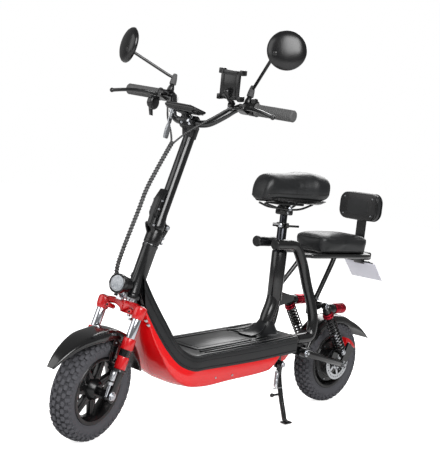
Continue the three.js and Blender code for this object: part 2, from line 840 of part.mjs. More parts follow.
/** The folding base clamped on the steerer: collar, hinge ears at the back and the lever's clevis in front. */
function addStemBase() {
  const bottom = headTubeTop + bearingLip / 4 + fit;
  const top = headTubeTop + collarHeight;
  const earThickness = 7;
  const earGap = 15;
  const collar = turnedUp([
    [0, bottom], [headTubeRadius, bottom], [collarRadius, bottom + earThickness / 2],
    [collarRadius, top - earThickness], [stemRadius + earThickness / 2, top], [0, top],
  ], 12);
  const pieces = [collar];
  const earOutline = [
    [-foldPivotBack - earThickness, foldPivotHeight], [-foldPivotBack, foldPivotHeight + earThickness * 1.3],
    [-foldPivotBack + earThickness * 1.2, foldPivotHeight + earThickness], [-stemRadius - earThickness * 1.1, top - fit],
    [-collarRadius * 0.6, top - fit],
    [-collarRadius * 0.6, bottom + collarHeight / 3], [-collarRadius - earThickness / 2, bottom + collarHeight / 3],
    [-foldPivotBack - earThickness, foldPivotHeight - earThickness * 1.5],
  ];
  for (const [, side] of sides) {
    pieces.push(plateFrom([...earOutline].reverse(), earThickness, side * (earGap + earThickness) / 2));
    pieces.push(barBetween(
      [-collarRadius - earThickness / 2, side * earGap / 6, bottom + collarHeight * (side > 0 ? 0.62 : 0.28)],
      [-collarRadius - earThickness / 2, side * (earGap / 2 + earThickness), bottom + collarHeight * (side > 0 ? 0.62 : 0.28)],
      earThickness * 0.6,
      8,
    ));
    pieces.push(plateFrom([
      [collarRadius * 0.7, top - collarHeight * 0.5], [foldLeverForward, foldLeverPivotHeight - earThickness * 1.6],
      [foldLeverForward + earThickness * 0.9, foldLeverPivotHeight - earThickness * 0.6],
      [foldLeverForward + earThickness * 0.9, foldLeverPivotHeight + earThickness * 0.8],
      [stemRadius + earThickness * 1.3, foldLeverPivotHeight + earThickness * 0.6],
      [stemRadius + earThickness * 1.1, top - fit], [collarRadius * 0.7, top - fit],
    ], earThickness * 0.7, side * (earGap + earThickness) / 2 * 0.9));
  }
  const pinReach = earGap / 2 + earThickness;
  pieces.push(barBetween([-foldPivotBack, -pinReach * 1.1, foldPivotHeight], [-foldPivotBack, pinReach * 1.1, foldPivotHeight], earThickness * 0.55, 8));
  const leverPinReach = (earGap + earThickness) / 2;
  pieces.push(barBetween(
    [foldLeverForward, -leverPinReach, foldLeverPivotHeight],
    [foldLeverForward, leverPinReach, foldLeverPivotHeight],
    earThickness * 0.4,
    6,
  ));
  const steererBore = barBetween([0, 0, bottom - overrun], [0, 0, top + overrun], steererRadius + fit, 10);
  add(steered, 'stem_base', cut(join(...pieces), steererBore), black, 0.4, 0.2);
}

/** The upper stem with its hinge knuckle and the flange that meets the base. */
function addStemTube() {
  const earThickness = 7;
  const earGap = 15;
  const flangeBottom = headTubeTop + collarHeight + fit * 2;
  const knuckleRadius = earThickness * 1.35;
  const tube = barBetween([0, 0, flangeBottom + earThickness], [0, 0, stemTop], stemRadius, 12);
  const flange = turnedUp([
    [0, flangeBottom], [stemRadius + earThickness * 0.6, flangeBottom],
    [stemRadius + earThickness * 0.6, flangeBottom + earThickness * 1.6], [stemRadius, stemBottom + earThickness * 3],
    [0, stemBottom + earThickness * 3],
  ], 12);
  const knuckle = barBetween([-foldPivotBack, -earGap / 2 + fit, foldPivotHeight], [-foldPivotBack, earGap / 2 - fit, foldPivotHeight], knuckleRadius, 9);
  const web = plateFrom([
    [-foldPivotBack, foldPivotHeight + knuckleRadius * 0.9], [-foldPivotBack * 0.8, foldPivotHeight - knuckleRadius * 0.4],
    [-stemRadius * 0.8, flangeBottom + fit], [-stemRadius * 0.8, foldPivotHeight + knuckleRadius * 2.4],
  ].reverse(), earGap - fit * 2);
  const rib = plateFrom([
    [stemRadius * 0.6, foldPivotHeight + earThickness], [stemRadius + earThickness * 0.5, foldPivotHeight + earThickness * 1.5],
    [stemRadius + earThickness * 0.4, stemBottom + foldLeverLength * 0.72], [stemRadius * 0.6, stemBottom + foldLeverLength * 0.8],
  ], earThickness);
  const pinHole = barBetween([-foldPivotBack, -overrun, foldPivotHeight], [-foldPivotBack, overrun, foldPivotHeight], earThickness * 0.55 + fit * 1.5, 8);
  const clampBody = barBetween([barClampForward, -barClampHalf, barClampHeight], [barClampForward, barClampHalf, barClampHeight], barRadius * 1.9, 9);
  const neck = plateFrom([
    [-stemRadius * 0.9, stemTop - stemRadius * 2], [stemRadius, stemTop - stemRadius * 2],
    [barClampForward + barRadius, barClampHeight - barRadius * 1.5], [barClampForward, barClampHeight + barRadius],
    [-stemRadius * 0.9, stemTop + stemRadius * 0.2],
  ], barClampHalf * 1.3);
  const barHole = barBetween([barClampForward, -overrun * 2, barClampHeight], [barClampForward, overrun * 2, barClampHeight], barBore, 9);
  const whole = cut(join(tube, flange, knuckle, web, rib, clampBody, neck, ...displayBed()), pinHole, barHole);
  add(stemGroup, 'stem_tube', whole, black, 0.4, 0.2);
}

/** The bed under the display and the arm that carries it from the bar clamp. */
function displayBed() {
  const top = -displayThickness / 2 - fit;
  const tray = at(block(displayLength * 0.5, displayWidth * 0.28, displayBedThickness), 0, 0, top - displayBedThickness / 2)
    .rotateY(displayTilt)
    .translate(displayForward, 0, displayHeight);
  const trayBottom = displayHeight + top - displayBedThickness / 2;
  const arm = plateFrom([
    [barClampForward, barClampHeight - barRadius], [barClampForward + barRadius, barClampHeight - barRadius],
    [displayForward + displayBedThickness, trayBottom], [displayForward - displayLength * 0.2, trayBottom],
    [barClampForward, barClampHeight + barRadius * 1.5],
  ], barClampHalf * 0.8);
  return [tray, arm];
}

const barClampHalf = 24;
const displayForward = 68;
const displayHeight = 842;
const displayLength = 66;
const displayWidth = 112;
const displayThickness = 20;
const displayBedThickness = 5;
const displayTilt = 10 * degrees;
const stemGroup = steered;

/** The fold lever: a curved plate hugging the front of the stem, hinged in the base's clevis. */
function addFoldLever() {
  const thickness = 5;
  const eye = 6.5;
  const inner = stemRadius + 7;
  const outline = [
    [foldLeverForward - eye, foldLeverPivotHeight], [foldLeverForward, foldLeverPivotHeight - eye],
    [foldLeverForward + eye, foldLeverPivotHeight], [foldLeverForward + eye * 1.3, foldLeverPivotHeight + foldLeverLength * 0.3],
    [foldLeverForward + eye, foldLeverPivotHeight + foldLeverLength * 0.7],
    [inner + thickness * 1.4, foldLeverPivotHeight + foldLeverLength],
    [inner, foldLeverPivotHeight + foldLeverLength * 0.98],
    [foldLeverForward - eye * 0.4, foldLeverPivotHeight + foldLeverLength * 0.6],
    [foldLeverForward - eye * 0.2, foldLeverPivotHeight + eye * 2.6],
  ];
  const core = plateFrom(outline, 15 - fit * 2);
  const cheekOutline = outline.slice(2).map(([ahead, up]) => [ahead, Math.max(up, foldLeverPivotHeight + eye * 3)]);
  const blade = plateFrom([
    [foldLeverForward - eye * 0.2, foldLeverPivotHeight + eye * 3.2],
    ...cheekOutline.slice(1, 6),
  ], foldLeverWidth);
  const hole = barBetween([foldLeverForward, -overrun, foldLeverPivotHeight], [foldLeverForward, overrun, foldLeverPivotHeight], 7 * 0.4 + fit * 2, 6);
  add(steered, 'fold_lever', cut(join(core, blade), hole), satinBlack, 0.5, 0.3);
}

// Cockpit, all in the steering frame

/** The handlebar's centreline from its middle to the left end. */
function barPath() {
  const rise = barHeight - barClampHeight;
  const sweep = barClampForward + barBack;
  const shares = [[0, 0, 0], [0.09, 0, 0], [0.14, 0.04, 0.01], [0.21, 0.18, 0.12], [0.31, 0.5, 0.52], [0.37, 0.8, 0.86],
    [0.4, 0.975, 0.985], [0.42, 1, 1], [0.44, 1, 1], [1, 1, 1]];
  return shares.map(([out, back, up]) => [barClampForward - sweep * back, barHalfWidth * out, barClampHeight + rise * up]);
}

/** The bent handlebar tube at a radius: the tube itself, or the tool that clears it. */
function barTube(radius) {
  const left = barPath();
  const right = left.slice(1).map(([x, y, z]) => [x, -y, z]).reverse();
  return tubeAlong([...right, ...left], radius, barSides, barSteps);
}

/** The handlebar. */
function addHandlebar() {
  add(stemGroup, 'handlebar', barTube(barRadius), black, 0.35, 0.3);
}

/** A rubber grip with an inner flange, ribs and a closed end. */
function addGrip(label, side) {
  const ribs = 2;
  const start = barHalfWidth - gripLength;
  const wall = gripRadius - barRadius;
  const flangeLength = 7;
  const points = [[barBore, start], [gripRadius * 1.2, start], [gripRadius * 1.2, start + flangeLength * 0.6],
    [gripRadius, start + flangeLength]];
  const ribPitch = (gripLength - flangeLength * 2) / ribs;
  for (let i = 0; i < ribs; i += 1) {
    const from = start + flangeLength + i * ribPitch;
    points.push([gripRadius, from + ribPitch * 0.7], [gripRadius - wall / 5, from + ribPitch * 0.78]);
    points.push([gripRadius - wall / 5, from + ribPitch * 0.92], [gripRadius, from + ribPitch]);
  }
  const end = barHalfWidth + wall / 2;
  points.push([gripRadius * 0.94, end], [0, end], [0, barHalfWidth + fit], [barBore, barHalfWidth + fit]);
  points.push([barBore, start]);
  const grip = at(turnedSide(points, 9), -barBack, 0, barHeight);
  add(stemGroup, `grip_${label}`, sided(grip, side), rubberBlack, 0.85);
}

const barBore = (barRadius + fit) / Math.cos(turn / 2 / 9);
const perchY = 142;
const perchWidth = 20;
const leverPivotForward = 34;
const leverPivotDrop = 14;
const leverPivotRadius = 5;
const leverGap = 8;
const podY = 161;
const podWidth = 18;
const mirrorBaseHeight = 26;

/** The brake perch: a clamp round the bar, a reservoir-like body, the lever's fork and the mirror boss. */
function brakePerch() {
  const bore = barBore;
  const clampRadius = barRadius * 1.55;
  const clamp = at(ringSide(bore, clampRadius, perchY - perchWidth / 2, perchY + perchWidth / 2, 9), -barBack, 0, barHeight);
  const pivotX = -barBack + leverPivotForward;
  const pivotZ = barHeight - leverPivotDrop;
  const cheek = (bottom, top) => at(
    slab(leverPivotForward * 0.9, perchWidth * 1.3, top - bottom, leverPivotRadius),
    pivotX - leverPivotForward * 0.28,
    perchY + perchWidth * 0.2,
    (bottom + top) / 2,
  );
  const cheekThickness = leverPivotRadius;
  const lower = cheek(pivotZ - leverGap / 2 - cheekThickness, pivotZ - leverGap / 2);
  const upper = cheek(pivotZ + leverGap / 2, pivotZ + leverGap / 2 + cheekThickness * 1.6);
  const spine = at(
    block(leverPivotRadius, perchWidth, leverGap + cheekThickness * 2),
    -barBack + clampRadius,
    perchY,
    pivotZ,
  );
  const pin = barBetween(
    [pivotX, perchY + perchWidth * 0.4, pivotZ - leverGap / 2 - cheekThickness * 0.5],
    [pivotX, perchY + perchWidth * 0.4, pivotZ + leverGap / 2 + cheekThickness * 0.5],
    leverPivotRadius * 0.5,
    6,
  );
  const adjusterX = pivotX - leverPivotForward * 0.1;
  const adjuster = barBetween(
    [adjusterX, perchY - perchWidth * 0.2, pivotZ],
    [adjusterX + perchWidth * 0.2, perchY - perchWidth * 1.4, pivotZ - perchWidth * 0.2],
    leverPivotRadius * 0.8,
    10,
    leverPivotRadius * 0.6,
  );
  const boss = at(turnedUp([
    [0, 0], [barRadius * 0.95, 0], [barRadius * 0.95, mirrorBaseHeight * 0.3],
    [barRadius * 0.45, mirrorBaseHeight], [0, mirrorBaseHeight],
  ], 8), -barBack + clampRadius * 0.3, perchY - perchWidth * 0.1, barHeight + clampRadius * 0.75);
  const bar = barBetween([-barBack, perchY - overrun * 2, barHeight], [-barBack, perchY + overrun * 2, barHeight], bore, 9);
  return cut(join(clamp, lower, upper, spine, pin, adjuster, boss), bar);
}

/** Where the brake lever turns. */
function leverPivot() {
  return [-barBack + leverPivotForward, perchY + perchWidth * 0.4, barHeight - leverPivotDrop];
}

/** The left control cluster: brake perch, and a switch pod with a well for its button. */
function addLeftCluster() {
  const bore = barBore;
  const podRadius = barRadius * 1.75;
  const pod = at(ringSide(bore, podRadius, podY - podWidth / 2, podY + podWidth / 2 - fit, 9), -barBack, 0, barHeight);
  const housing = at(
    slab(podRadius * 1.5, podWidth - fit * 2, podRadius * 0.9, podRadius * 0.35),
    -barBack,
    podY,
    barHeight + podRadius * 0.95,
  );
  const bridge = at(
    ringSide(bore, barRadius * 1.4, perchY + perchWidth / 2 - fit, podY - podWidth / 2 + fit, 9),
    -barBack, 0, barHeight,
  );
  const well = barBetween(
    [-barBack, podY, barHeight + podRadius * 1.1],
    [-barBack, podY, barHeight + podRadius * 1.5 + overrun],
    buttonRadius + fit,
    8,
  );
  const bar = barBetween([-barBack, podY - overrun * 2, barHeight], [-barBack, podY + overrun * 2, barHeight], bore, 9);
  const whole = join(brakePerch(), bridge, cut(join(pod, housing), bar, well));
  add(stemGroup, 'left_control', whole, black, 0.45);
  const button = at(turnedUp([
    [0, 0], [buttonRadius, 0], [buttonRadius, buttonHeight * 0.7], [buttonRadius * 0.8, buttonHeight], [0, buttonHeight],
  ], 8), -barBack, podY, barHeight + podRadius * 1.1 + buttonTravel + fit);
  add(stemGroup, 'horn_button', button, steel, 0.5);
}

const buttonRadius = 6.5;
const buttonHeight = 9;
const buttonTravel = 2;

const throttleBodyRadius = 21;
const throttlePivotForward = 42;
const throttlePivotDrop = 44;

/** The right control cluster: brake perch and the round throttle body under the bar. */
function addRightCluster() {
  const bore = barBore;
  const podRadius = barRadius * 1.6;
  const pod = at(ringSide(bore, podRadius, podY - podWidth / 2, podY + podWidth / 2 - fit, 9), -barBack, 0, barHeight);
  const bridge = at(
    ringSide(bore, barRadius * 1.4, perchY + perchWidth / 2 - fit, podY - podWidth / 2 + fit, 9),
    -barBack, 0, barHeight,
  );
  const centre = [-barBack + throttlePivotForward, podY, barHeight - throttlePivotDrop];
  const body = at(turnedSide([
    [0, -podWidth / 2], [throttleBodyRadius * 0.85, -podWidth / 2], [throttleBodyRadius, -podWidth / 4],
    [throttleBodyRadius, podWidth * 0.05], [0, podWidth * 0.05],
  ], 10), ...centre);
  const shaft = barBetween(
    [centre[0], podY, centre[2]],
    [centre[0], podY + podWidth * 0.52, centre[2]],
    throttleBodyRadius * 0.22,
    8,
  );
  const bar = barBetween([-barBack, podY - overrun * 2, barHeight], [-barBack, podY + overrun * 2, barHeight], bore, 9);
  const neck = barBetween([-barBack, podY - podWidth / 6, barHeight], [centre[0], podY - podWidth / 6, centre[2]], podWidth * 0.2, 6);
  const whole = join(brakePerch(), bridge, cut(join(pod, body, shaft, neck), bar));
  add(stemGroup, 'right_control', mirrored(whole), black, 0.45);
}

/** The thumb throttle's paddle on its shaft. */
function addThrottlePaddle() {
  const centre = [-barBack + throttlePivotForward, podY, barHeight - throttlePivotDrop];
  const near = podY + podWidth * 0.05 + fit;
  const far = podY + podWidth / 2;
  const disc = at(ringSide(throttleBodyRadius * 0.22 + fit * 2, throttleBodyRadius * 0.8, near, far, 9), centre[0], 0, centre[2]);
  const paddle = plateFrom([
    [-throttleBodyRadius * 0.4, -throttleBodyRadius * 0.3], [throttleBodyRadius * 0.1, -throttleBodyRadius * 0.6],
    [-throttleBodyRadius * 0.9, -throttleBodyRadius * 1.7], [-throttleBodyRadius * 1.3, -throttleBodyRadius * 1.6],
  ].reverse(), far - near, (near + far) / 2);
  const clear = barBetween([centre[0], 0, centre[2]], [centre[0], podY * 2, centre[2]], throttleBodyRadius * 0.22 + fit * 2, 9);
  const whole = cut(join(disc, at(paddle, centre[0], 0, centre[2])), clear);
  add(stemGroup, 'throttle_paddle', mirrored(whole), satinBlack, 0.5);
}

/** A brake lever: a bar that runs out, forward and down from its eye to a ball. */
function addBrakeLever(label, side) {
  const [x, y, z] = leverPivot();
  const thickness = leverGap - fit * 2;
  const shares = [[0, 0, 0], [0.1, 0.08, 0], [0.3, 0.4, 0.16], [0.6, 0.78, 0.5], [1, 1, 1]];
  const path = shares.map(([out, ahead, down]) => [x + leverAhead * ahead, y + leverReach * out, z - leverFall * down]);
  const neck = tubeAlong(path.slice(0, 3), thickness / 2, 6, 3);
  const bladeStart = path[1].map((value, i) => between(value, path[2][i], 0.4));
  const blade = tubeAlong([bladeStart, ...path.slice(2)], leverRadius, 6, 5);
  const eye = barBetween([x, y, z - thickness / 2], [x, y, z + thickness / 2], leverRadius * 1.36, 6);
  const tip = new THREE.SphereGeometry(leverRadius * 1.15, 6, 4).translate(...path[path.length - 1]);
  const hole = barBetween([x, y, z - overrun], [x, y, z + overrun], leverPivotRadius * 0.5 + fit, 6);
  add(stemGroup, `brake_lever_${label}`, sided(cut(join(neck, blade, eye, tip), hole), side), black, 0.35, 0.3);
}

const leverReach = 135;
const leverAhead = 57;
const leverFall = 30;
const leverRadius = 5;

/** The display: a shell with a raised lid, on its tilted bed. */
function addDisplay() {
  const lidThickness = displayThickness / 3;
  const body = skin([
    [0.74, -0.5], [0.96, -0.12], [1, 0.16],
  ].map(([share, height]) => roundedOutline(displayLength * share, displayWidth * share, displayLength / 8, 3)
    .map(([x, y]) => [x, y, displayThickness * height])));
  const lid = at(slab(displayLength * 0.94, displayWidth * 0.8, lidThickness, displayLength / 10), 0, -displayWidth * 0.06, displayThickness * 0.3);
  const lock = barBetween([displayLength * 0.2, keyY, -displayThickness * 0.3], [displayLength * 0.2, keyY, -displayThickness * 0.3 - keyBarrel], keyRadius, 8);
  const tilted = join(body, lid, lock).rotateY(displayTilt).translate(displayForward, 0, displayHeight);
  add(stemGroup, 'display', tilted, black, 0.4);
}

const keyY = -34;
const keyBarrel = 14;
const keyRadius = 8;
const keyLength = 34;
const fobLength = 46;

/** The ignition key with its fob, hanging in line with the lock. */
function addKey() {
  const neck = keyRadius * 0.5;
  const top = -displayThickness * 0.3 - keyBarrel - fit;
  const shaft = barBetween([0, 0, top], [0, 0, top - keyLength * 0.5], neck, 8);
  const head = at(slab(keyLength * 0.5, neck * 0.8, keyLength * 0.5, neck * 0.3), 0, 0, top - keyLength * 0.7);
  const fob = skin([[0.3, 0], [0.75, 0.12], [1, 0.45], [1, 0.85], [0.8, 1]].map(([wide, down]) => (
    roundedOutline(keyLength * 0.62 * wide, neck * 1.8 * wide, neck * 0.5 * wide, 2)
      .map(([x, y]) => [x, y, top - keyLength * 0.9 - fobLength * down])
  )));
  const hung = join(shaft, head, fob).translate(displayLength * 0.2, keyY, 0);
  add(stemGroup, 'ignition_key', hung.rotateY(displayTilt).translate(displayForward, 0, displayHeight), steel, 0.5, 0.3);
}

const mirrorRadius = 56;
const mirrorDepth = 24;
const mirrorStemRadius = 5;
const mirrorReachY = { left: 260.8, right: 282.5 };
const mirrorHeight = { left: 1059.8, right: 1012.6 };
const mirrorForward = 70;
const mirrorTilt = 8.3 * degrees;
const mirrorYaw = 31 * degrees;

/** A mirror on its bent stem: the domed back faces forward and outward, with the stem's end in its lower inner part. */
function addMirror(label, side) {
  const base = new THREE.Vector3(
    -barBack + barRadius * 1.55 * 0.3,
    perchY - perchWidth * 0.1,
    barHeight + barRadius * 1.55 * 0.75 + mirrorBaseHeight + fit,
  );
  const middle = new THREE.Vector3(mirrorForward, mirrorReachY[label], mirrorHeight[label]);
  const socket = new THREE.Vector3(mirrorRadius * 0.36, -mirrorRadius * 0.5, mirrorDepth * 0.3)
    .applyAxisAngle(new THREE.Vector3(0, 1, 0), turn / 4 + mirrorTilt)
    .applyAxisAngle(new THREE.Vector3(0, 0, 1), mirrorYaw)
    .add(middle);
  const bend = base.clone().add(new THREE.Vector3(0, 0, mirrorStemRadius * 3));
  const path = [base, bend, bend.clone().lerp(socket, 0.14), bend.clone().lerp(socket, 0.5), socket];
  const stem = tubeAlong(path.map((point) => point.toArray()), mirrorStemRadius, 6, 6);
  const shell = turnedUp([
    [0, -mirrorDepth * 0.35], [mirrorRadius * 0.93, -mirrorDepth * 0.35], [mirrorRadius, -mirrorDepth * 0.2],
    [mirrorRadius, -mirrorDepth * 0.05], [mirrorRadius * 0.9, mirrorDepth * 0.28], [mirrorRadius * 0.66, mirrorDepth * 0.5],
    [mirrorRadius * 0.36, mirrorDepth * 0.62], [0, mirrorDepth * 0.66],
  ], 12);
  const faced = shell.rotateY(turn / 4 + mirrorTilt).rotateZ(mirrorYaw).translate(...middle.toArray());
  add(stemGroup, `mirror_${label}`, sided(join(stem, faced), side), black, 0.3);
}

const holderWidth = 66;
const holderHeight = 84;
const holderThickness = 9;
const holderTilt = 26 * degrees;
const holderY = 100;
const holderForward = 38;
const holderUp = 946;

/** The phone holder: a back plate with four hooked corners and a clamp round the bar. */
function addPhoneHolder() {
  const clawDepth = 16;
  const clawWidth = 13;
  const plate = new THREE.ExtrudeGeometry(
    new THREE.Shape(roundedOutline(holderHeight, holderWidth, clawWidth * 0.6, 1).map(([x, y]) => new THREE.Vector2(x, y))),
    { depth: holderThickness, bevelEnabled: false },
  ).translate(0, 0, -holderThickness / 2);
  const window = at(slab(holderHeight * 0.5, holderWidth * 0.16, holderThickness * 3, holderWidth * 0.07), 0, holderWidth * 0.2, 0);
  const otherWindow = at(slab(holderHeight * 0.5, holderWidth * 0.16, holderThickness * 3, holderWidth * 0.07), 0, -holderWidth * 0.2, 0);
  const pieces = [plate];
  for (const across of [-1, 1]) {
    for (const up of [-1, 1]) {
      pieces.push(at(
        block(clawWidth * 1.3, clawWidth, holderThickness + clawDepth),
        up * (holderHeight / 2 - clawWidth * 0.4),
        across * (holderWidth / 2 + clawWidth * 0.2),
        clawDepth / 2,
      ));
    }
  }
  const arm = barBetween([-holderHeight * 0.2, 0, 0], [-holderHeight * 0.2, 0, -holderThickness * 2.2], holderThickness * 0.9, 8);
  const panel = cut(join(...pieces, arm), window, otherWindow);
  const stood = panel.rotateY(holderTilt - turn / 4);
  const bar = nearestOnBar(holderY);
  const centre = [holderForward, holderY, holderUp];
  const placed = stood.translate(...centre);
  const clamp = barBetween(
    [bar[0], holderY - clawWidth * 0.45, bar[2]],
    [bar[0], holderY + clawWidth * 0.45, bar[2]],
    barRadius * 1.5,
    9,
  );
  const post = barBetween([bar[0], holderY, bar[2] + barRadius], [centre[0] + holderThickness, holderY, centre[2] - holderHeight * 0.25], holderThickness, 6);
  add(stemGroup, 'phone_holder', cut(join(placed, clamp, post), barTube(barRadius + fit)), satinBlack, 0.6);
}

/** The point of the bent handlebar at a distance y from the middle. */
function nearestOnBar(y) {
  const path = barPath();
  const after = path.findIndex((point) => point[1] >= y);
  const [a, b] = [path[after - 1], path[after]];
  const share = (y - a[1]) / (b[1] - a[1]);
  return a.map((value, i) => between(value, b[i], share));
}

const lampForward = 91;
const lampHeight = 299;
const lampRadius = 28;
const lampDepth = 58;
const lampTilt = 8 * degrees;
const lampPadRise = 4;

/** The headlight: bezel, lens, finned back and the foot that bolts to the crown. */
function addHeadlight() {
  const fins = 2;
  const points = [[0, -lampDepth], [lampRadius * 0.5, -lampDepth], [lampRadius * 0.62, -lampDepth * 0.86]];
  for (let i = 0; i < fins; i += 1) {
    const from = -lampDepth * between(0.84, 0.28, i / fins);
    const pitch = lampDepth * 0.56 / fins;
    const reach = lampRadius * between(0.72, 0.94, i / fins);
    points.push([reach, from], [reach, from + pitch * 0.5], [reach * 0.84, from + pitch * 0.5], [reach * 0.84, from + pitch]);
  }
  points.push([lampRadius, -lampDepth * 0.26], [lampRadius, 0], [lampRadius * 0.9, lampDepth * 0.03]);
  points.push([lampRadius * 0.84, -lampDepth * 0.02], [lampRadius * 0.5, lampDepth * 0.03], [0, lampDepth * 0.05]);
  const bowl = turnedUp(points, 10).rotateY(turn / 4 + lampTilt).translate(lampForward, 0, lampHeight);
  const footTop = lampHeight - lampRadius * 0.6;
  const foot = plateFrom([
    [lampForward * 0.46, footTop], [headCupRadius + fit * 4, crownTop + lampPadRise + fit],
    [headCupRadius + fit * 4 + lampDepth * 0.3, crownTop + lampPadRise + fit], [lampForward * 0.78, footTop],
  ].reverse(), lampRadius * 0.7);
  add(steered, 'headlight', join(bowl, foot), black, 0.35, 0.2);
}

// Frame

/** A point of the straight-ahead steering frame in the scooter's frame. */
function fromSteering(ahead, y, up) {
  return [
    steering.position.x + ahead * Math.cos(rakeAngle) - up * Math.sin(rakeAngle),
    y,
    steering.position.z + ahead * Math.sin(rakeAngle) + up * Math.cos(rakeAngle),
  ];
}

/** Turns a geometry drawn in the steering frame into the scooter's frame, pointing straight ahead. */
function leaned(geometry) {
  return geometry.clone().rotateY(-rakeAngle).translate(steering.position.x, steering.position.y, steering.position.z);
}

/** The two head bearings, pressed into the cups. */
function addBearings() {
  const outer = headTubeRadius - 3;
  const inner = steererRadius + fit * 2.5;
  const seats = { lower: [headTubeBottom - bearingLip, 1], upper: [headTubeTop + bearingLip / 4, -1] };
  for (const [name, [edge, way]] of Object.entries(seats)) {
    const far = edge + way * bearingWidth;
    const ring = ringUp(inner, outer - fit, Math.min(edge, far), Math.max(edge, far), 12);
    add(group, `head_bearing_${name}`, leaned(ring), steel, 0.3, 0.9);
  }
}

const bearingLip = 4;
const headTubeBore = 16;
const railHalfSpacing = 78;
const railWidth = 24;
const railHeight = 30;
const railFrontX = 205;
const earInner = 71;
const earThickness = 10;
const crossMemberX = -170;
const crossLength = 52;
const seatTubeFootX = -175;

/** The deck's top surface height at x. */
function deckTopAt(x) {
  return between(deckFrontHeight, deckRearHeight, (deckFrontX - x) / (deckFrontX - deckRearX));
}

/** The rails' middle height at x: their tops lie just under the deck plate. */
function railHeightAt(x) {
  return deckTopAt(x) + deckCrown - deckPlate - fit - railHeight / 2;
}

/** The head tube with cups, drawn in the steering frame. */
function headTube() {
  const tube = turnedUp([
    [0, headTubeBottom], [headCupRadius, headTubeBottom], [headCupRadius, headTubeBottom + headCupHeight],
    [headTubeRadius, headTubeBottom + headCupHeight * 1.4], [headTubeRadius, headTubeTop], [0, headTubeTop],
  ], 12);
  const bore = barBetween([0, 0, headTubeBottom - overrun], [0, 0, headTubeTop + overrun], headTubeBore, 10);
  const seatRadius = headTubeRadius - 3;
  const lowerSeat = barBetween([0, 0, headTubeBottom - overrun], [0, 0, headTubeBottom - bearingLip + bearingWidth + fit], seatRadius, 12);
  const upperSeat = barBetween([0, 0, headTubeTop + bearingLip / 4 - bearingWidth - fit], [0, 0, headTubeTop + overrun], seatRadius, 12);
  return { tube: leaned(tube), cuts: [bore, lowerSeat, upperSeat].map(leaned) };
}

/** A rectangular bar along [x, y, z] stations. */
function boxRail(stations, width, height, corner) {
  return skin(stations.map(([x, y, z], i) => {
    const before = stations[Math.max(0, i - 1)];
    const after = stations[Math.min(stations.length - 1, i + 1)];
    const run = new THREE.Vector3(...after).sub(new THREE.Vector3(...before)).normalize();
    const across = new THREE.Vector3(0, 1, 0);
    const up = new THREE.Vector3().crossVectors(run, across).normalize();
    if (up.z < 0) up.negate();
    return roundedOutline(width, height, corner, 1).map(([side, rise]) => [
      x + up.x * rise, y + side, z + up.z * rise,
    ]);
  }));
}

/** The seat tube's centreline, from its foot to the collar. */
function seatTubePath() {
  const foot = deckTopAt(seatTubeFootX) - deckPlate * 7;
  return [
    [seatTubeFootX, 0, foot], [seatTubeFootX, 0, between(foot, seatTubeTop, 0.24)],
    [between(seatTubeFootX, seatTubeX, 0.75), 0, between(foot, seatTubeTop, 0.42)],
    [seatTubeX, 0, between(foot, seatTubeTop, 0.56)], [seatTubeX, 0, seatTubeTop],
  ];
}

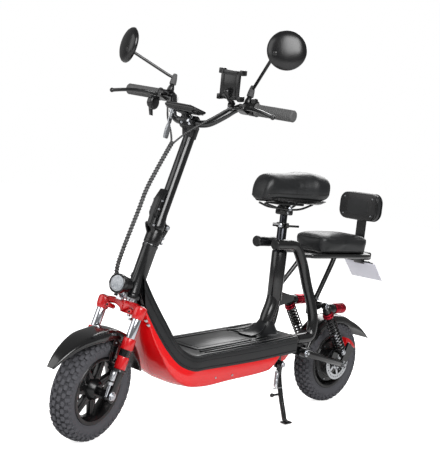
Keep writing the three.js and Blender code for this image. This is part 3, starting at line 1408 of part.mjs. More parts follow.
/** The welded frame: head tube, neck, rails, cross members, seat tube, pivot ears and the stand's bracket. */
function addMainFrame() {
  const head = headTube();
  const neckTop = fromSteering(0, 0, between(headTubeBottom, headTubeTop, 0.3));
  const railZ = railHeightAt;
  const neckShares = [[0, 0], [0.09, 0.2], [0.23, 0.44], [0.39, 0.72], [0.58, 0.91], [0.8, 1], [1, 1]];
  const neck = boxRail(neckShares.map(([back, down]) => [
    between(neckTop[0], railFrontX, back), 0, between(neckTop[2], railZ(railFrontX), down),
  ]), railWidth * 1.6, railHeight * 0.84, railWidth / 5);
  const frontCross = at(block(crossLength, railHalfSpacing * 2, railHeight * 0.9), railFrontX, 0, railZ(railFrontX));
  const rearCross = at(block(crossLength, railHalfSpacing * 2, railHeight * 0.9), crossMemberX, 0, railZ(crossMemberX));
  const pieces = [head.tube, neck, frontCross, rearCross];
  const pivot = [swingPivotX, swingPivotHeight];
  for (const [, side] of sides) {
    const y = side * railHalfSpacing;
    const rail = boxRail([
      [railFrontX + crossLength / 2, y, railZ(railFrontX + crossLength / 2)],
      [crossMemberX - railWidth, y, railZ(crossMemberX)],
    ], railWidth, railHeight, railWidth / 5);
    const ear = plateFrom([
      [crossMemberX + railWidth, railZ(crossMemberX) - railHeight / 2], [crossMemberX + railWidth, railZ(crossMemberX) + railHeight / 2],
      [deckRearX + fit, railZ(crossMemberX) + railHeight / 2], [deckRearX - fit * 2, loopFootHeight + loopRadius * 0.8],
      [loopFootX + fit, loopFootHeight + loopRadius * 0.8], [loopFootX + fit, loopFootHeight - loopRadius - fit * 2],
      [pivot[0] - earThickness * 1.3, pivot[1] + earThickness],
      [pivot[0] - earThickness * 1.6, pivot[1] - earThickness * 0.4], [pivot[0] - earThickness * 0.5, pivot[1] - earThickness * 1.5],
      [pivot[0] + earThickness, pivot[1] - earThickness * 1.4],
    ], earThickness, side * (earInner + earThickness / 2));
    const lug = barBetween(
      [loopFootX + loopSeatLength, side * loopFootY, loopFootHeight],
      [loopFootX + fit, side * loopFootY, loopFootHeight],
      loopRadius,
      9,
    );
    pieces.push(rail, ear, lug);
  }
  const pinReach = swingPivotHalfSpacing + swingArmRadius + earThickness * 0.7;
  const pin = barBetween([swingPivotX, -pinReach, swingPivotHeight], [swingPivotX, pinReach, swingPivotHeight], pivotPinRadius, 9);
  const caps = [1, -1].map((side) => barBetween(
    [swingPivotX, side * (pinReach - earThickness * 0.6), swingPivotHeight],
    [swingPivotX, side * pinReach, swingPivotHeight],
    pivotPinRadius * 1.6,
    6,
  ));
  const tube = tubeAlong(seatTubePath(), seatTubeRadius, seatTubeSides, seatTubeSteps);
  const sleeve = barBetween([seatTubeX, 0, seatTubeTop - seatTubeRadius], [seatTubeX, 0, seatSleeveTop], seatSleeveRadius, 10);
  const shoulder = at(turnedUp([
    [0, -seatTubeRadius], [seatTubeRadius * 1.06, -seatTubeRadius * 0.5], [seatTubeRadius * 1.06, -seatTubeRadius * 0.1],
    [seatSleeveRadius * 1.1, seatTubeRadius * 0.3], [0, seatTubeRadius * 0.3],
  ], 10), seatTubeX, 0, seatTubeTop);
  const collar = at(turnedUp([
    [0, 0], [seatSleeveRadius * 1.3, 0], [seatSleeveRadius * 1.3, collarTall], [0, collarTall],
  ], 10), seatTubeX, 0, seatSleeveTop - collarTall);
  const collarZ = seatSleeveTop - collarTall / 2;
  const knob = barBetween(
    [seatTubeX + seatSleeveRadius, 0, collarZ],
    [seatTubeX + seatSleeveRadius * 2, -seatSleeveRadius, collarZ],
    collarTall * 0.38,
    8,
  );
  const leverX = seatTubeX + seatSleeveRadius * 0.4;
  const blockEnd = quickLeverY - quickPinRadius * 3;
  const clampBlock = at(block(seatSleeveRadius, blockEnd - seatSleeveRadius / 2, collarTall * 0.9), leverX, (blockEnd + seatSleeveRadius / 2) / 2, collarZ);
  const cheekTall = collarTall * 0.16;
  const cheeks = [1, -1].map((way) => at(
    block(quickPinRadius * 2.6, quickLeverY + quickPinRadius * 1.6 - seatSleeveRadius, cheekTall),
    leverX,
    (quickLeverY + quickPinRadius * 1.6 + seatSleeveRadius) / 2,
    collarZ + way * (collarTall / 4 + fit + cheekTall / 2),
  ));
  pieces.push(pin, ...caps, tube, sleeve, shoulder, collar, knob, clampBlock, ...cheeks);
  pieces.push(...kickBracket());
  const postBore = barBetween(
    [seatTubeX, 0, between(deckTopAt(seatTubeFootX), seatTubeTop, 0.52)],
    [seatTubeX, 0, seatSleeveTop + overrun],
    seatPostRadius + slideGap,
    10,
  );
  const leverPin = barBetween(
    [leverX, quickLeverY, collarZ - collarTall / 4 - fit - cheekTall],
    [leverX, quickLeverY, collarZ + collarTall / 4 + fit + cheekTall],
    quickPinRadius,
    6,
  );
  const whole = join(cut(join(...pieces), ...head.cuts, postBore), leverPin);
  add(group, 'main_frame', whole, black, 0.45, 0.3);
}

const loopFootX = -226;
const loopFootY = 93;
const loopFootHeight = 263;
const loopSeatLength = 9;
const pivotPinRadius = 6;
const collarTall = 16;
const slideGap = 0.5;
const quickLeverY = 27;
const quickPinRadius = 2.5;
const kickBracketThickness = 5;
const kickPinRadius = 4;

/** How far out the stand's spring hangs. */
function kickSpringY() {
  return between(kickPivotY, kickFootY, 0.38);
}

/** The stand's bracket: a plate on the left rail with a clevis, its pin and the spring's upper hook. */
function kickBracket() {
  const railZ = railHeightAt(kickPivotX);
  const plate = at(
    block(railWidth * 1.4, kickBracketThickness, railHeight * 1.3),
    kickPivotX + railWidth * 0.7,
    kickPivotY - kickRadius - kickBracketThickness / 2 - fit,
    railZ - railHeight * 0.2,
  );
  const wall = plateFrom([
    [kickPivotX - railWidth * 0.6, kickPivotHeight - railWidth * 0.4], [kickPivotX + railWidth * 0.5, kickPivotHeight - railWidth * 0.55],
    [kickPivotX + railWidth * 1.4, railZ - railHeight * 0.6], [kickPivotX + railWidth * 1.4, railZ + railHeight * 0.4],
    [kickPivotX - railWidth * 0.2, railZ + railHeight * 0.3],
  ], kickBracketThickness, kickPivotY - kickRadius - kickBracketThickness / 2 - fit);
  const arm = at(
    block(railWidth * 1.2, kickPivotY - kickRadius - railHalfSpacing, railHeight * 0.7),
    kickPivotX + railWidth * 0.7,
    (kickPivotY - kickRadius + railHalfSpacing) / 2 - kickBracketThickness / 4,
    railZ - railHeight * 0.1,
  );
  const pin = barBetween(
    [kickPivotX, kickPivotY - kickRadius - kickBracketThickness, kickPivotHeight],
    [kickPivotX, kickPivotY + kickRadius + kickBracketThickness, kickPivotHeight],
    kickPinRadius,
    8,
  );
  const head = barBetween(
    [kickPivotX, kickPivotY + kickRadius + fit * 2, kickPivotHeight],
    [kickPivotX, kickPivotY + kickRadius + kickBracketThickness, kickPivotHeight],
    kickPinRadius * 1.7,
    6,
  );
  const hookZ = kickSpringTop + kickSpringWire * 2 + fit;
  const hook = barBetween(
    [kickPivotX + railWidth * 0.8, kickPivotY - kickRadius - kickBracketThickness / 2 - fit, hookZ + railWidth],
    [kickSpringX, kickSpringY(), hookZ],
    kickSpringWire,
    6,
  );
  const hookEnd = barBetween(
    [kickSpringX - kickSpringRadius - kickSpringWire, kickSpringY(), hookZ],
    [kickSpringX + kickSpringRadius + kickSpringWire, kickSpringY(), hookZ],
    kickSpringWire,
    6,
  );
  return [plate, wall, arm, pin, head, hook, hookEnd];
}

/** The centreline of a side loop on the left. */
function loopPath() {
  const shares = [[0, 0, 0], [0.28, 0.02, 0], [0.528, 0.06, 0.01], [0.742, 0.16, 0.18], [0.871, 0.45, 0.44],
    [0.955, 0.75, 0.64], [0.995, 0.95, 0.84], [0.93, 1, 0.975]];
  const foot = [[0.3, 1, 0.998], [0.12, 1, 1], [0, 1, 1]];
  const place = (from) => ([back, out, down]) => [
    between(from, loopRearX, back),
    between(loopTopHalfSpacing, loopFootY, out),
    between(loopTopHeight, loopFootHeight, down),
  ];
  return [...shares.map(place(loopCapX)), ...foot.map(place(loopFootX))];
}

const loopSides = 8;
const loopSteps = 15;
const loopCapX = -132;
const loopRearX = -310;
const loopBracketThickness = 6;
const shockEyeWidth = 16;
const shockBoltRadius = 5;

/** A side loop: bent tube, front cap and the rear bracket with the shock's top bolt. */
function addLoop(label, side) {
  const tube = tubeAlong(loopPath(), loopRadius, loopSides, loopSteps);
  const cap = at(turnedUp([
    [0, 0], [loopRadius * 1.06, 0], [loopRadius * 1.06, loopRadius * 0.5], [loopRadius * 0.9, loopRadius * 0.66],
    [0, loopRadius * 0.66],
  ], 9).rotateY(turn / 4), loopCapX - loopRadius * 0.3, loopTopHalfSpacing, loopTopHeight);
  const inner = shockHalfSpacing - springRadius - springWire - fit * 2 - loopBracketThickness;
  const plateMiddle = inner + loopBracketThickness / 2;
  const spacer = barBetween(
    [shockTopX, plateMiddle, shockTopHeight],
    [shockTopX, shockHalfSpacing - shockEyeWidth / 2 - fit, shockTopHeight],
    shockBoltRadius * 1.6,
    8,
  );
  const onLoop = between(loopCapX, loopRearX, 0.95);
  const plate = plateFrom([
    [onLoop, shockTopHeight - loopRadius * 1.6], [onLoop + loopRadius * 0.3, shockTopHeight + loopRadius * 1.6],
    [shockTopX + loopRadius, shockTopHeight + loopRadius * 0.8], [shockTopX - loopRadius * 0.5, shockTopHeight + loopRadius * 0.55],
    [shockTopX - loopRadius * 0.7, shockTopHeight - loopRadius * 0.3], [shockTopX, shockTopHeight - loopRadius * 0.75],
  ], loopBracketThickness, plateMiddle);
  const outerEnd = shockHalfSpacing + shockEyeWidth / 2 + loopBracketThickness;
  const bolt = barBetween([shockTopX, plateMiddle, shockTopHeight], [shockTopX, outerEnd, shockTopHeight], shockBoltRadius, 8);
  const head = barBetween(
    [shockTopX, shockHalfSpacing + shockEyeWidth / 2 + fit, shockTopHeight],
    [shockTopX, outerEnd, shockTopHeight],
    shockBoltRadius * 1.7,
    6,
  );
  add(group, `side_loop_${label}`, sided(join(tube, cap, plate, spacer, bolt, head), side), black, 0.35, 0.2);
}

// Deck and body

/**
 * The body's left side, front to back. Each row holds the upper and lower edge of the deck shell, the
 * panel's crease and the panel's belly edge, as shares of the length, the half width and the height.
 */
const bodyShares = [
  [[1, 0.273, 1], [0.976, 0.318, 0.695], [0.972, 0.327, 0.66], [0.998, 0.127, 0.732]],
  [[0.946, 0.345, 0.822], [0.914, 0.455, 0.489], [0.93, 0.482, 0.436], [0.967, 0.136, 0.536]],
  [[0.881, 0.545, 0.598], [0.865, 0.682, 0.324], [0.893, 0.673, 0.274], [0.925, 0.145, 0.327]],
  [[0.824, 0.864, 0.38], [0.813, 0.864, 0.212], [0.849, 0.818, 0.125], [0.881, 0.155, 0.156]],
  [[0.733, 0.982, 0.29], [0.74, 1, 0.159], [0.779, 0.973, 0.025], [0.829, 0.218, 0.04]],
  [[0.652, 1, 0.299], [0.663, 1, 0.162], [0.668, 1, 0.003], [0.685, 0.564, -0.031]],
  [[0.481, 1, 0.318], [0.481, 1, 0.174], [0.481, 1, 0.031], [0.481, 0.655, 0.006]],
  [[0.302, 1, 0.34], [0.302, 1, 0.19], [0.302, 1, 0.056], [0.302, 0.655, 0.031]],
  [[0.169, 1, 0.36], [0.169, 1, 0.209], [0.218, 1, 0.075], [0.218, 0.655, 0.05]],
  [[0.127, 1, 0.368], [0.127, 1, 0.215], [0.195, 1, 0.087], [0.195, 0.655, 0.062]],
  [[0, 1, 0.389], [0, 1, 0.234]],
];

/** A body share as a point. */
function bodyPoint([along, out, up]) {
  return new THREE.Vector3(
    between(deckRearX, neckFrontX, along),
    deckHalfWidth * out,
    between(bodyBottomHeight, neckTopHeight, up),
  );
}

/** A sheet of even thickness behind a grid of points, as one closed shell. */
function sheetFrom(rows, thickness, way) {
  const clampTo = (value, last) => Math.min(last, Math.max(0, value));
  const inner = rows.map((row, i) => row.map((point, j) => {
    const alongRun = rows[clampTo(i + 1, rows.length - 1)][j].clone().sub(rows[clampTo(i - 1, rows.length - 1)][j]);
    const acrossRun = row[clampTo(j + 1, row.length - 1)].clone().sub(row[clampTo(j - 1, row.length - 1)]);
    return point.clone().addScaledVector(alongRun.cross(acrossRun).normalize(), thickness * way);
  }));
  return skin(rows.map((row, i) => [...row, ...inner[i].reverse()].map((point) => point.toArray())), false, stripCap);
}

/** The deck shell: ribbed side bands running up beside the head tube, the deck plate and the seat tube's hump. */
function addDeckShell() {
  const ribShares = [[0, 0], [0.32, 0], [0.38, 1], [0.62, 1], [0.68, 0]];
  const rows = bodyShares.map((row, i) => {
    const [upper, lower] = row.slice(0, 2).map(bodyPoint);
    const ribDepth = i < 3 ? 0 : bandGroove;
    const band = ribShares.map(([up, inward]) => {
      const point = lower.clone().lerp(upper, up);
      point.y -= inward * ribDepth;
      return point;
    });
    const plateEdge = upper.clone().add(new THREE.Vector3(0, -deckPlate, deckCrown));
    const left = [...band, plateEdge];
    const right = left.map((point) => new THREE.Vector3(point.x, -point.y, point.z)).reverse();
    return [...left, ...right];
  });
  const shell = sheetFrom(rows, deckPlate, 1);
  const humpBase = deckTopAt(seatTubeFootX) - deckPlate / 4;
  const humpRise = seatTubeRadius * 1.5;
  const hump = skin([[1, 0], [0.96, 0.35], [0.82, 0.75], [0.62, 0.96], [0.5, 1]].map(([wide, up]) => (
    roundedOutline(humpLength * between(0.42, 1, wide), humpHalfWidth * 2 * wide, humpHalfWidth * 0.6 * wide, 2).map(([x, y]) => [
      seatTubeFootX + humpLength * 0.14 + x, y, humpBase + humpRise * up,
    ])
  )));
  const headClear = leaned(barBetween([0, 0, crownBottom], [0, 0, headTubeTop + overrun], headCupRadius + 1.5, 12));
  const tubeClear = tubeAlong(seatTubePath(), seatTubeRadius + fit, seatTubeSides, seatTubeSteps);
  const behind = at(block(overrun * 2, deckHalfWidth * 2, overrun * 4), deckRearX - overrun, 0, deckRearHeight);
  add(group, 'deck_shell', cut(join(shell, hump), headClear, tubeClear, behind), satinBlack, 0.5, 0.2);
}

const bandGroove = 1.6;
const humpLength = 96;
const humpHalfWidth = 44;

/** A red side panel: a moulded half shell from beside the head tube down and under the deck. */
function addBodyPanel(label, side) {
  const seam = fit;
  const edgeGap = 5.8;
  const rows = bodyShares.filter((row) => row.length > 2).map((row) => {
    const [upper, lower, crease, belly] = row.map(bodyPoint);
    const edge = lower.clone().add(crease.clone().sub(lower).normalize().multiplyScalar(edgeGap));
    const swell = edge.clone().lerp(crease, 0.55);
    swell.y += panelSwell * (upper.y / deckHalfWidth);
    const middle = crease.clone().lerp(belly, 0.5);
    middle.z -= panelSwell * 0.4;
    const centre = new THREE.Vector3(belly.x, seam, belly.z);
    return [edge, swell, crease, middle, belly, centre];
  });
  const shell = sheetFrom(rows, panelWall, -1);
  const headClear = leaned(barBetween([0, 0, 0], [0, 0, headTubeBottom + headCupHeight * 2], headCupRadius + 3, 12));
  const recess = teardropRecess(rows);
  const clipped = cut(shell, headClear, ...recess);
  add(group, `body_panel_${label}`, sided(clipped, side), red, 0.22);
}

const panelSwell = 2;

/** The vent slots in the panel's nose, sloping down the side. */
function teardropRecess(rows) {
  const slots = 3;
  return Array.from({ length: slots }, (unused, i) => {
    const row = rows[3];
    const from = row[0].clone().lerp(row[2], between(0.25, 0.75, i / (slots - 1)));
    const slotLength = deckHalfWidth * between(0.5, 0.3, i / (slots - 1));
    const slot = slab(slotLength, panelWall * 6, panelWall, panelWall * 0.45);
    return at(slot, from.x - slotLength, from.y, from.z - panelWall * 2 * i);
  });
}

/** The battery and the motor controller between the rails. */
function addPowerPack() {
  const halfWidth = railHalfSpacing - railWidth / 2 - fit;
  const front = railFrontX - crossLength / 2 - fit;
  const rear = crossMemberX + crossLength / 2 + fit;
  const top = deckTopAt(front) - deckPlate;
  const bottom = bodyBottomHeight + panelWall + packClearance;
  const split = between(rear, front, 0.24);
  const height = top - bottom;
  const middle = (top + bottom) / 2;
  const battery = slab(front - split - fit, halfWidth * 2, height, height / 8);
  const strap = height / 3;
  const straps = [0.25, 0.75].map((share) => at(
    block(strap, halfWidth * 2, height * 1.04), (share - 0.5) * (front - split), 0, 0,
  ));
  add(group, 'battery_pack', at(join(battery, ...straps), (front + split + fit) / 2, 0, middle), 0x2f4a8a, 0.6);
  const box = slab(split - rear, halfWidth * 2, height * 0.7, height / 10);
  const fins = 7;
  const finPitch = halfWidth * 2 / fins;
  const grooves = Array.from({ length: fins - 1 }, (unused, i) => at(
    block(overrun * 6, finPitch * 0.4, height * 0.2), 0, -halfWidth + finPitch * (i + 1), height * 0.35,
  ));
  add(group, 'motor_controller', at(cut(box, ...grooves), (split + rear) / 2, 0, middle), steel, 0.4, 0.8);
}

const packClearance = 26;

// Seat

/** The seat post with the saddle's cradle. */
function addSeatPost() {
  const top = saddleBottom - cradleHeight;
  const post = barBetween([seatTubeX, 0, seatPostBottom], [seatTubeX, 0, top + cradleHeight / 2], seatPostRadius, 10);
  const head = at(turnedUp([
    [0, 0], [seatPostRadius, 0], [seatPostRadius * 1.5, cradleHeight * 0.3], [seatPostRadius * 1.5, cradleHeight * 0.7],
    [seatPostRadius, cradleHeight * 0.8], [0, cradleHeight * 0.8],
  ], 9), seatTubeX, 0, top);
  const cross = barBetween(
    [seatTubeX, -cradleHalfWidth, top + cradleHeight * 0.5],
    [seatTubeX, cradleHalfWidth, top + cradleHeight * 0.5],
    cradleHeight * 0.24,
    8,
  );
  const rails = sides.map(([, side]) => tubeAlong([
    [seatTubeX + cradleRailLength * 0.75, side * cradleHalfWidth * 0.5, saddleBottom - railTubeRadius - fit],
    [seatTubeX + cradleRailLength * 0.35, side * cradleHalfWidth * 0.9, top + cradleHeight * 0.5],
    [seatTubeX - cradleRailLength * 0.35, side * cradleHalfWidth * 0.9, top + cradleHeight * 0.5],
    [seatTubeX - cradleRailLength * 0.7, side * cradleHalfWidth * 1.3, saddleBottom - railTubeRadius - fit],
  ], railTubeRadius, 6, 5));
  const pan = at(slab(cradleRailLength * 0.9, cradleHalfWidth * 2.2, cradlePanThickness, cradleHalfWidth * 0.5), seatTubeX, 0, saddleBottom - fit - cradlePanThickness / 2);
  const tower = at(block(seatPostRadius * 2.4, cradleHalfWidth * 1.2, cradleHeight * 0.6), seatTubeX, 0, saddleBottom - cradleHeight * 0.3 - fit);
  add(group, 'seat_post', join(post, head, cross, ...rails, pan, tower), chrome, 0.2, 0.9);
}

const seatPostBottom = 452;
const cradleHeight = 34;
const cradleHalfWidth = 24;
const cradleRailLength = 150;
const railTubeRadius = 4;
const cradlePanThickness = 4;

/** The saddle: wide crowned rear, drawn-in sides, a narrow nose and a centre channel. */
function addSaddle() {
  const outlineShares = [
    [0, 0.34, 0.3, 0.72], [0.03, 0.52, 0.12, 0.8], [0.12, 0.66, 0.03, 0.86], [0.26, 0.72, 0, 0.85], [0.42, 0.8, 0, 0.82],
    [0.56, 0.98, 0, 0.85], [0.7, 1.36, 0, 0.93], [0.82, 1.62, 0.02, 0.99], [0.91, 1.66, 0.06, 1], [0.97, 1.42, 0.16, 0.95],
    [1, 0.9, 0.34, 0.86],
  ];
  const around = 22;
  const widest = 1.66;
  const noseShare = 0.72;
  const rings = outlineShares.map(([back, wide, bottomShare, topShare]) => {
    const half = wide < noseShare
      ? saddleNoseHalfWidth * wide / noseShare
      : between(saddleNoseHalfWidth, saddleRearHalfWidth, (wide - noseShare) / (widest - noseShare));
    return Array.from({ length: around }, (unused, i) => {
      const angle = i / around * turn;
      const across = Math.cos(angle);
      const up = Math.sin(angle);
      const squared = Math.sign(across) * Math.abs(across) ** 0.62;
      const drawn = up < 0 ? 1 - 0.14 * Math.abs(up) : 1;
      const bottom = saddleHeight * bottomShare;
      const top = saddleHeight * topShare;
      const seatLine = between(bottom, top, 0.42);
      const rise = up > 0 ? (top - seatLine) * Math.abs(up) ** 0.7 : -(seatLine - bottom) * Math.abs(up) ** 0.5;
      const channel = saddleChannel * Math.exp(-((across / 0.14) ** 2)) * (up > 0 ? 1 : 0) * Math.sin(Math.min(1, back * 2.2) * turn / 4);
      const piping = saddleChannel * 0.6 * Math.exp(-(((Math.abs(across) - 0.86) / 0.07) ** 2)) * (up > 0 ? 1 : 0);
      return [
        saddleNoseX - saddleLength * back,
        half * squared * drawn,
        saddleBottom + seatLine + rise - channel - piping,
      ];
    });
  });
  add(group, 'saddle', skin(rings), leatherBlack, 0.7);
}

const saddleChannel = 5;

/** The quick-release lever beside the seat collar. */
function addSeatLever() {
  const collarZ = seatSleeveTop - collarTall / 2;
  const pivotX = seatTubeX + seatSleeveRadius * 0.4;
  const leverThickness = collarTall * 0.5;
  const eye = barBetween(
    [pivotX, quickLeverY, collarZ - leverThickness / 2],
    [pivotX, quickLeverY, collarZ + leverThickness / 2],
    quickPinRadius * 2.6,
    8,
  );
  const blade = skin([0, 0.4, 0.75, 1].map((share) => {
    const x = pivotX - quickLeverLength * share;
    const y = quickLeverY + quickPinRadius * (1 + 2.2 * share * share);
    const half = quickPinRadius * between(1.3, 0.9, share);
    const tall = leverThickness / 2 * between(0.95, 1, share);
    return [[x, y - half, collarZ - tall], [x, y + half, collarZ - tall], [x, y + half, collarZ + tall], [x, y - half, collarZ + tall]];
  }));
  const hole = barBetween(
    [pivotX, quickLeverY, collarZ - collarTall * 2],
    [pivotX, quickLeverY, collarZ + collarTall * 2],
    quickPinRadius + fit,
    8,
  );
  add(group, 'seat_clamp_lever', cut(join(eye, blade), hole), black, 0.4, 0.2);
}

const quickLeverLength = 48;

// Rack and rear seat

/** The rack: a U of tube, cross bars, two stays down to the side loops and the flat post of the backrest. */
function addRack() {
  const rear = rackRearX + rackRadius;
  const corner = rackHalfWidth * 0.5;
  const railPoints = (side) => [
    [rackFrontX + rackRadius * 2, side * rackHalfWidth * 0.82, rackHeight],
    [rackFrontX - rackRadius * 3, side * rackHalfWidth, rackHeight],
    [between(rackFrontX, rear, 0.5), side * rackHalfWidth, rackHeight],
    [rear + corner, side * rackHalfWidth, rackHeight],
    [rear + corner * 0.3, side * (rackHalfWidth - corner * 0.3), rackHeight],
  ];
  const right = railPoints(-1).reverse();
  const rail = tubeAlong([...railPoints(1), [rear, corner, rackHeight], [rear, -corner, rackHeight], ...right], rackRadius, 6, 17);
  const stays = sides.map(([, side]) => tubeAlong([
    [stayTopX, side * rackHalfWidth, rackHeight],
    [between(stayTopX, stayFootX, 0.2), side * between(rackHalfWidth, stayFootY, 0.2), between(rackHeight, stayFootHeight, 0.22)],
    [stayFootX, side * stayFootY, stayFootHeight],
  ], rackRadius, 6, 3));
  const pan = at(
    slab(cushionLength * 0.9, rackHalfWidth * 2, rackPlate, rackHalfWidth / 4),
    cushionFrontX - cushionLength / 2,
    0,
    rackHeight + rackRadius - rackPlate / 2,
  );
  const bars = [0.12, 0.5, 0.88].map((share) => barBetween(
    [cushionFrontX - cushionLength * share, -rackHalfWidth, rackHeight],
    [cushionFrontX - cushionLength * share, rackHalfWidth, rackHeight],
    rackRadius * 0.7,
    8,
  ));
  const postX = backrestX - backrestThickness / 2 - postThickness / 2 - fit;
  const postFoot = rear;
  const post = plateFrom([
    [postFoot + postThickness, rackHeight - rackRadius * 0.5], [postFoot + postThickness, rackHeight + rackRadius * 2],
    [postX + postThickness / 2, backrestBottom - postThickness * 3], [postX + postThickness / 2, backrestBottom + backrestHeight * 0.62],
    [postX - postThickness / 2, backrestBottom + backrestHeight * 0.62], [postX - postThickness / 2, backrestBottom - postThickness * 3],
    [postFoot, rackHeight + rackRadius * 2], [postFoot, rackHeight - rackRadius * 0.5],
  ], postWidth);
  const wing = at(block(postThickness, backrestHalfWidth * 1.5, backrestHeight * 0.22), postX, 0, backrestBottom + backrestHeight * 0.5);
  const lampTab = at(block(tailTabLength, postWidth * 0.8, rackRadius), rackRearX - tailTabLength / 2 + rackRadius, 0, rackHeight);
  const loops = sides.map(([, side]) => sided(tubeAlong(loopPath(), loopRadius + fit, loopSides, loopSteps), side));
  add(group, 'rack_frame', cut(join(rail, ...stays, pan, ...bars, post, wing, lampTab), ...loops), black, 0.35, 0.2);
}

const rackPlate = 3;
const stayTopX = -417;
const stayFootX = -307;
const stayFootY = 90;
const stayFootHeight = 392;
const backrestX = -614;
const backrestThickness = 36;
const backrestHalfWidth = 98;
const backrestHeight = 115;
const backrestBottom = 656;
const postThickness = 6;
const postWidth = 39;
const tailTabLength = 26;

/** A pad: a crowned block with drawn-in sides, cross channels and rounded corners, its back at height zero. */
function pad(length, width, thickness, crown, channels) {
  const around = 20;
  const levels = [[0.9, 0], [0.975, 0.06], [0.965, 0.3], [1, 0.6], [0.985, 0.8], [0.88, 0.94], [0.62, 1], [0.28, 1]];
  const corner = Math.min(length, width) * 0.3;
  const rings = levels.map(([scale, up]) => Array.from({ length: around }, (unused, i) => {
    const outline = roundedOutline(length, width, corner, around / 4 - 1)[i];
    const x = outline[0] * scale;
    const y = outline[1] * scale;
    const domed = crown * (1 - (x * 2 / length) ** 2) * (1 - (y * 2 / width) ** 2);
    const channel = channels.reduce((deep, share) => (
      deep + padChannel * Math.exp(-(((x / length - share) * length / (padChannel * 2.4)) ** 2))
    ), 0);
    return [x, y, up < 0.9 ? thickness * up : thickness * up + domed - channel * (up > 0.95 ? 1 : 0.4)];
  }));
  return skin(rings);
}

const padChannel = 3.5;

/** The rear cushion on the rack and the backrest pad on its post. */
function addRearSeat() {
  const cushionBottom = rackHeight + rackRadius + fit;
  const crown = cushionThickness * 0.18;
  const cushion = pad(cushionLength, cushionHalfWidth * 2, cushionThickness - crown, crown, [-0.2, 0.2]);
  add(group, 'rear_cushion', at(cushion, cushionFrontX - cushionLength / 2, 0, cushionBottom), leatherBlack, 0.7);
  const backCrown = backrestThickness * 0.2;
  const back = pad(backrestHeight, backrestHalfWidth * 2, backrestThickness - backCrown, backCrown, [0]);
  const upright = back.rotateY(turn / 4).translate(backrestX - backrestThickness / 2, 0, backrestBottom + backrestHeight / 2);
  add(group, 'backrest_pad', upright, leatherBlack, 0.7);
}

/** The tail lamp on the rack's rear tab. */
function addTailLamp() {
  const front = rackRearX - rackRadius - fit;
  const lamp = skin([[0, 0.7], [0.15, 1], [0.6, 1], [0.85, 0.86], [1, 0.6]].map(([back, wide]) => (
    roundedOutline(tailLampHeight * wide, tailLampWidth * wide, tailLampHeight * 0.25 * wide, 3)
      .map(([z, y]) => [front - tailLampLength * back, y, tailLampZ + z])
  )));
  const gap = at(
    block(tailTabLength + overrun, postWidth * 0.8 + fit * 2, rackRadius + fit * 2),
    front - (tailTabLength + overrun) / 2 + overrun,
    0,
    rackHeight,
  );
  add(group, 'tail_lamp', cut(lamp, gap), 0xb8151b, 0.25);
}

const tailLampLength = 42;
const tailLampWidth = 52;
const tailLampHeight = 30;
const tailLampZ = 532;

/** The plate's bracket: an arm under the rack's rear and a sloping carrier. */
function addPlateBracket() {
  const top = rackHeight - rackRadius - fit;
  const arm = plateFrom([
    [plateTopX + postThickness, top], [plateTopX + postThickness * 4, top], [plateTopX + postThickness * 4, top - postThickness],
    [plateTopX + postThickness * 1.4, plateTopHeight - postThickness], [plateTopX - postThickness, plateTopHeight - postThickness * 1.4],
    [plateTopX - postThickness * 0.4, plateTopHeight + postThickness * 0.5],
  ].reverse(), postWidth);
  const run = [plateBottomX - plateTopX, plateBottomHeight - plateTopHeight];
  const reach = Math.hypot(...run);
  const along = [run[0] / reach, run[1] / reach];
  const off = [along[1] * plateCarrierThickness, -along[0] * plateCarrierThickness];
  const carrier = plateFrom([
    [plateTopX, plateTopHeight], [plateBottomX, plateBottomHeight],
    [plateBottomX - off[0], plateBottomHeight - off[1]], [plateTopX - off[0], plateTopHeight - off[1]],
  ], plateHalfWidth * 1.8);
  add(group, 'plate_bracket', join(arm, carrier), black, 0.5);
}

const plateTopX = -654;
const plateTopHeight = 510;
const plateBottomX = -710;
const plateBottomHeight = 449;
const plateHalfWidth = 66;
const plateCarrierThickness = 3;

// Kickstand

/** The stand's leg, set down, with its foot and the stop pin. */
function addKickstand() {
  const knee = [kickPivotX, kickPivotY, kickPivotHeight - kickRadius * 4];
  const leg = tubeAlong([
    [kickPivotX, kickPivotY, kickPivotHeight - kickRadius], knee,
    [between(kickPivotX, kickFootX, 0.5), between(kickPivotY, kickFootY, 0.42), between(kickPivotHeight, kickFootHeight, 0.56)],
    [kickFootX, kickFootY, kickFootHeight + kickRadius],
  ], kickRadius, 8, 8);
  const eye = barBetween(
    [kickPivotX, kickPivotY - kickRadius, kickPivotHeight],
    [kickPivotX, kickPivotY + kickRadius, kickPivotHeight],
    kickRadius * 1.35,
    9,
  );
  const foot = at(slab(kickRadius * 4.4, kickRadius * 3, kickFootHeight * 0.8, kickRadius), kickFootX - kickRadius, kickFootY, kickFootHeight * 0.6);
  const footNeck = barBetween(
    [kickFootX, kickFootY, kickFootHeight * 0.5],
    [kickFootX, kickFootY, kickFootHeight + kickRadius * 1.5],
    kickRadius,
    8,
  );
  const stopZ = between(kickPivotHeight, kickFootHeight, 0.53);
  const stopY = kickSpringY();
  const stop = barBetween([kickPivotX, stopY, stopZ], [kickPivotX + kickStopReach, stopY, stopZ], kickRadius * 0.45, 6);
  const knob = new THREE.SphereGeometry(kickRadius * 0.9, 6, 4).translate(kickPivotX + kickStopReach, stopY, stopZ);
  const anchorZ = kickSpringBottom - kickSpringWire * 2 - fit;
  const anchor = barBetween(
    [kickPivotX, stopY, anchorZ],
    [kickSpringX + kickSpringRadius + kickSpringWire, stopY, anchorZ],
    kickSpringWire,
    6,
  );
  const hole = barBetween([kickPivotX, 0, kickPivotHeight], [kickPivotX, kickPivotY * 2, kickPivotHeight], kickPinRadius + slideGap, 8);
  add(group, 'kickstand_leg', cut(join(leg, eye, foot, footNeck, stop, knob, anchor), hole), black, 0.4, 0.2);
}

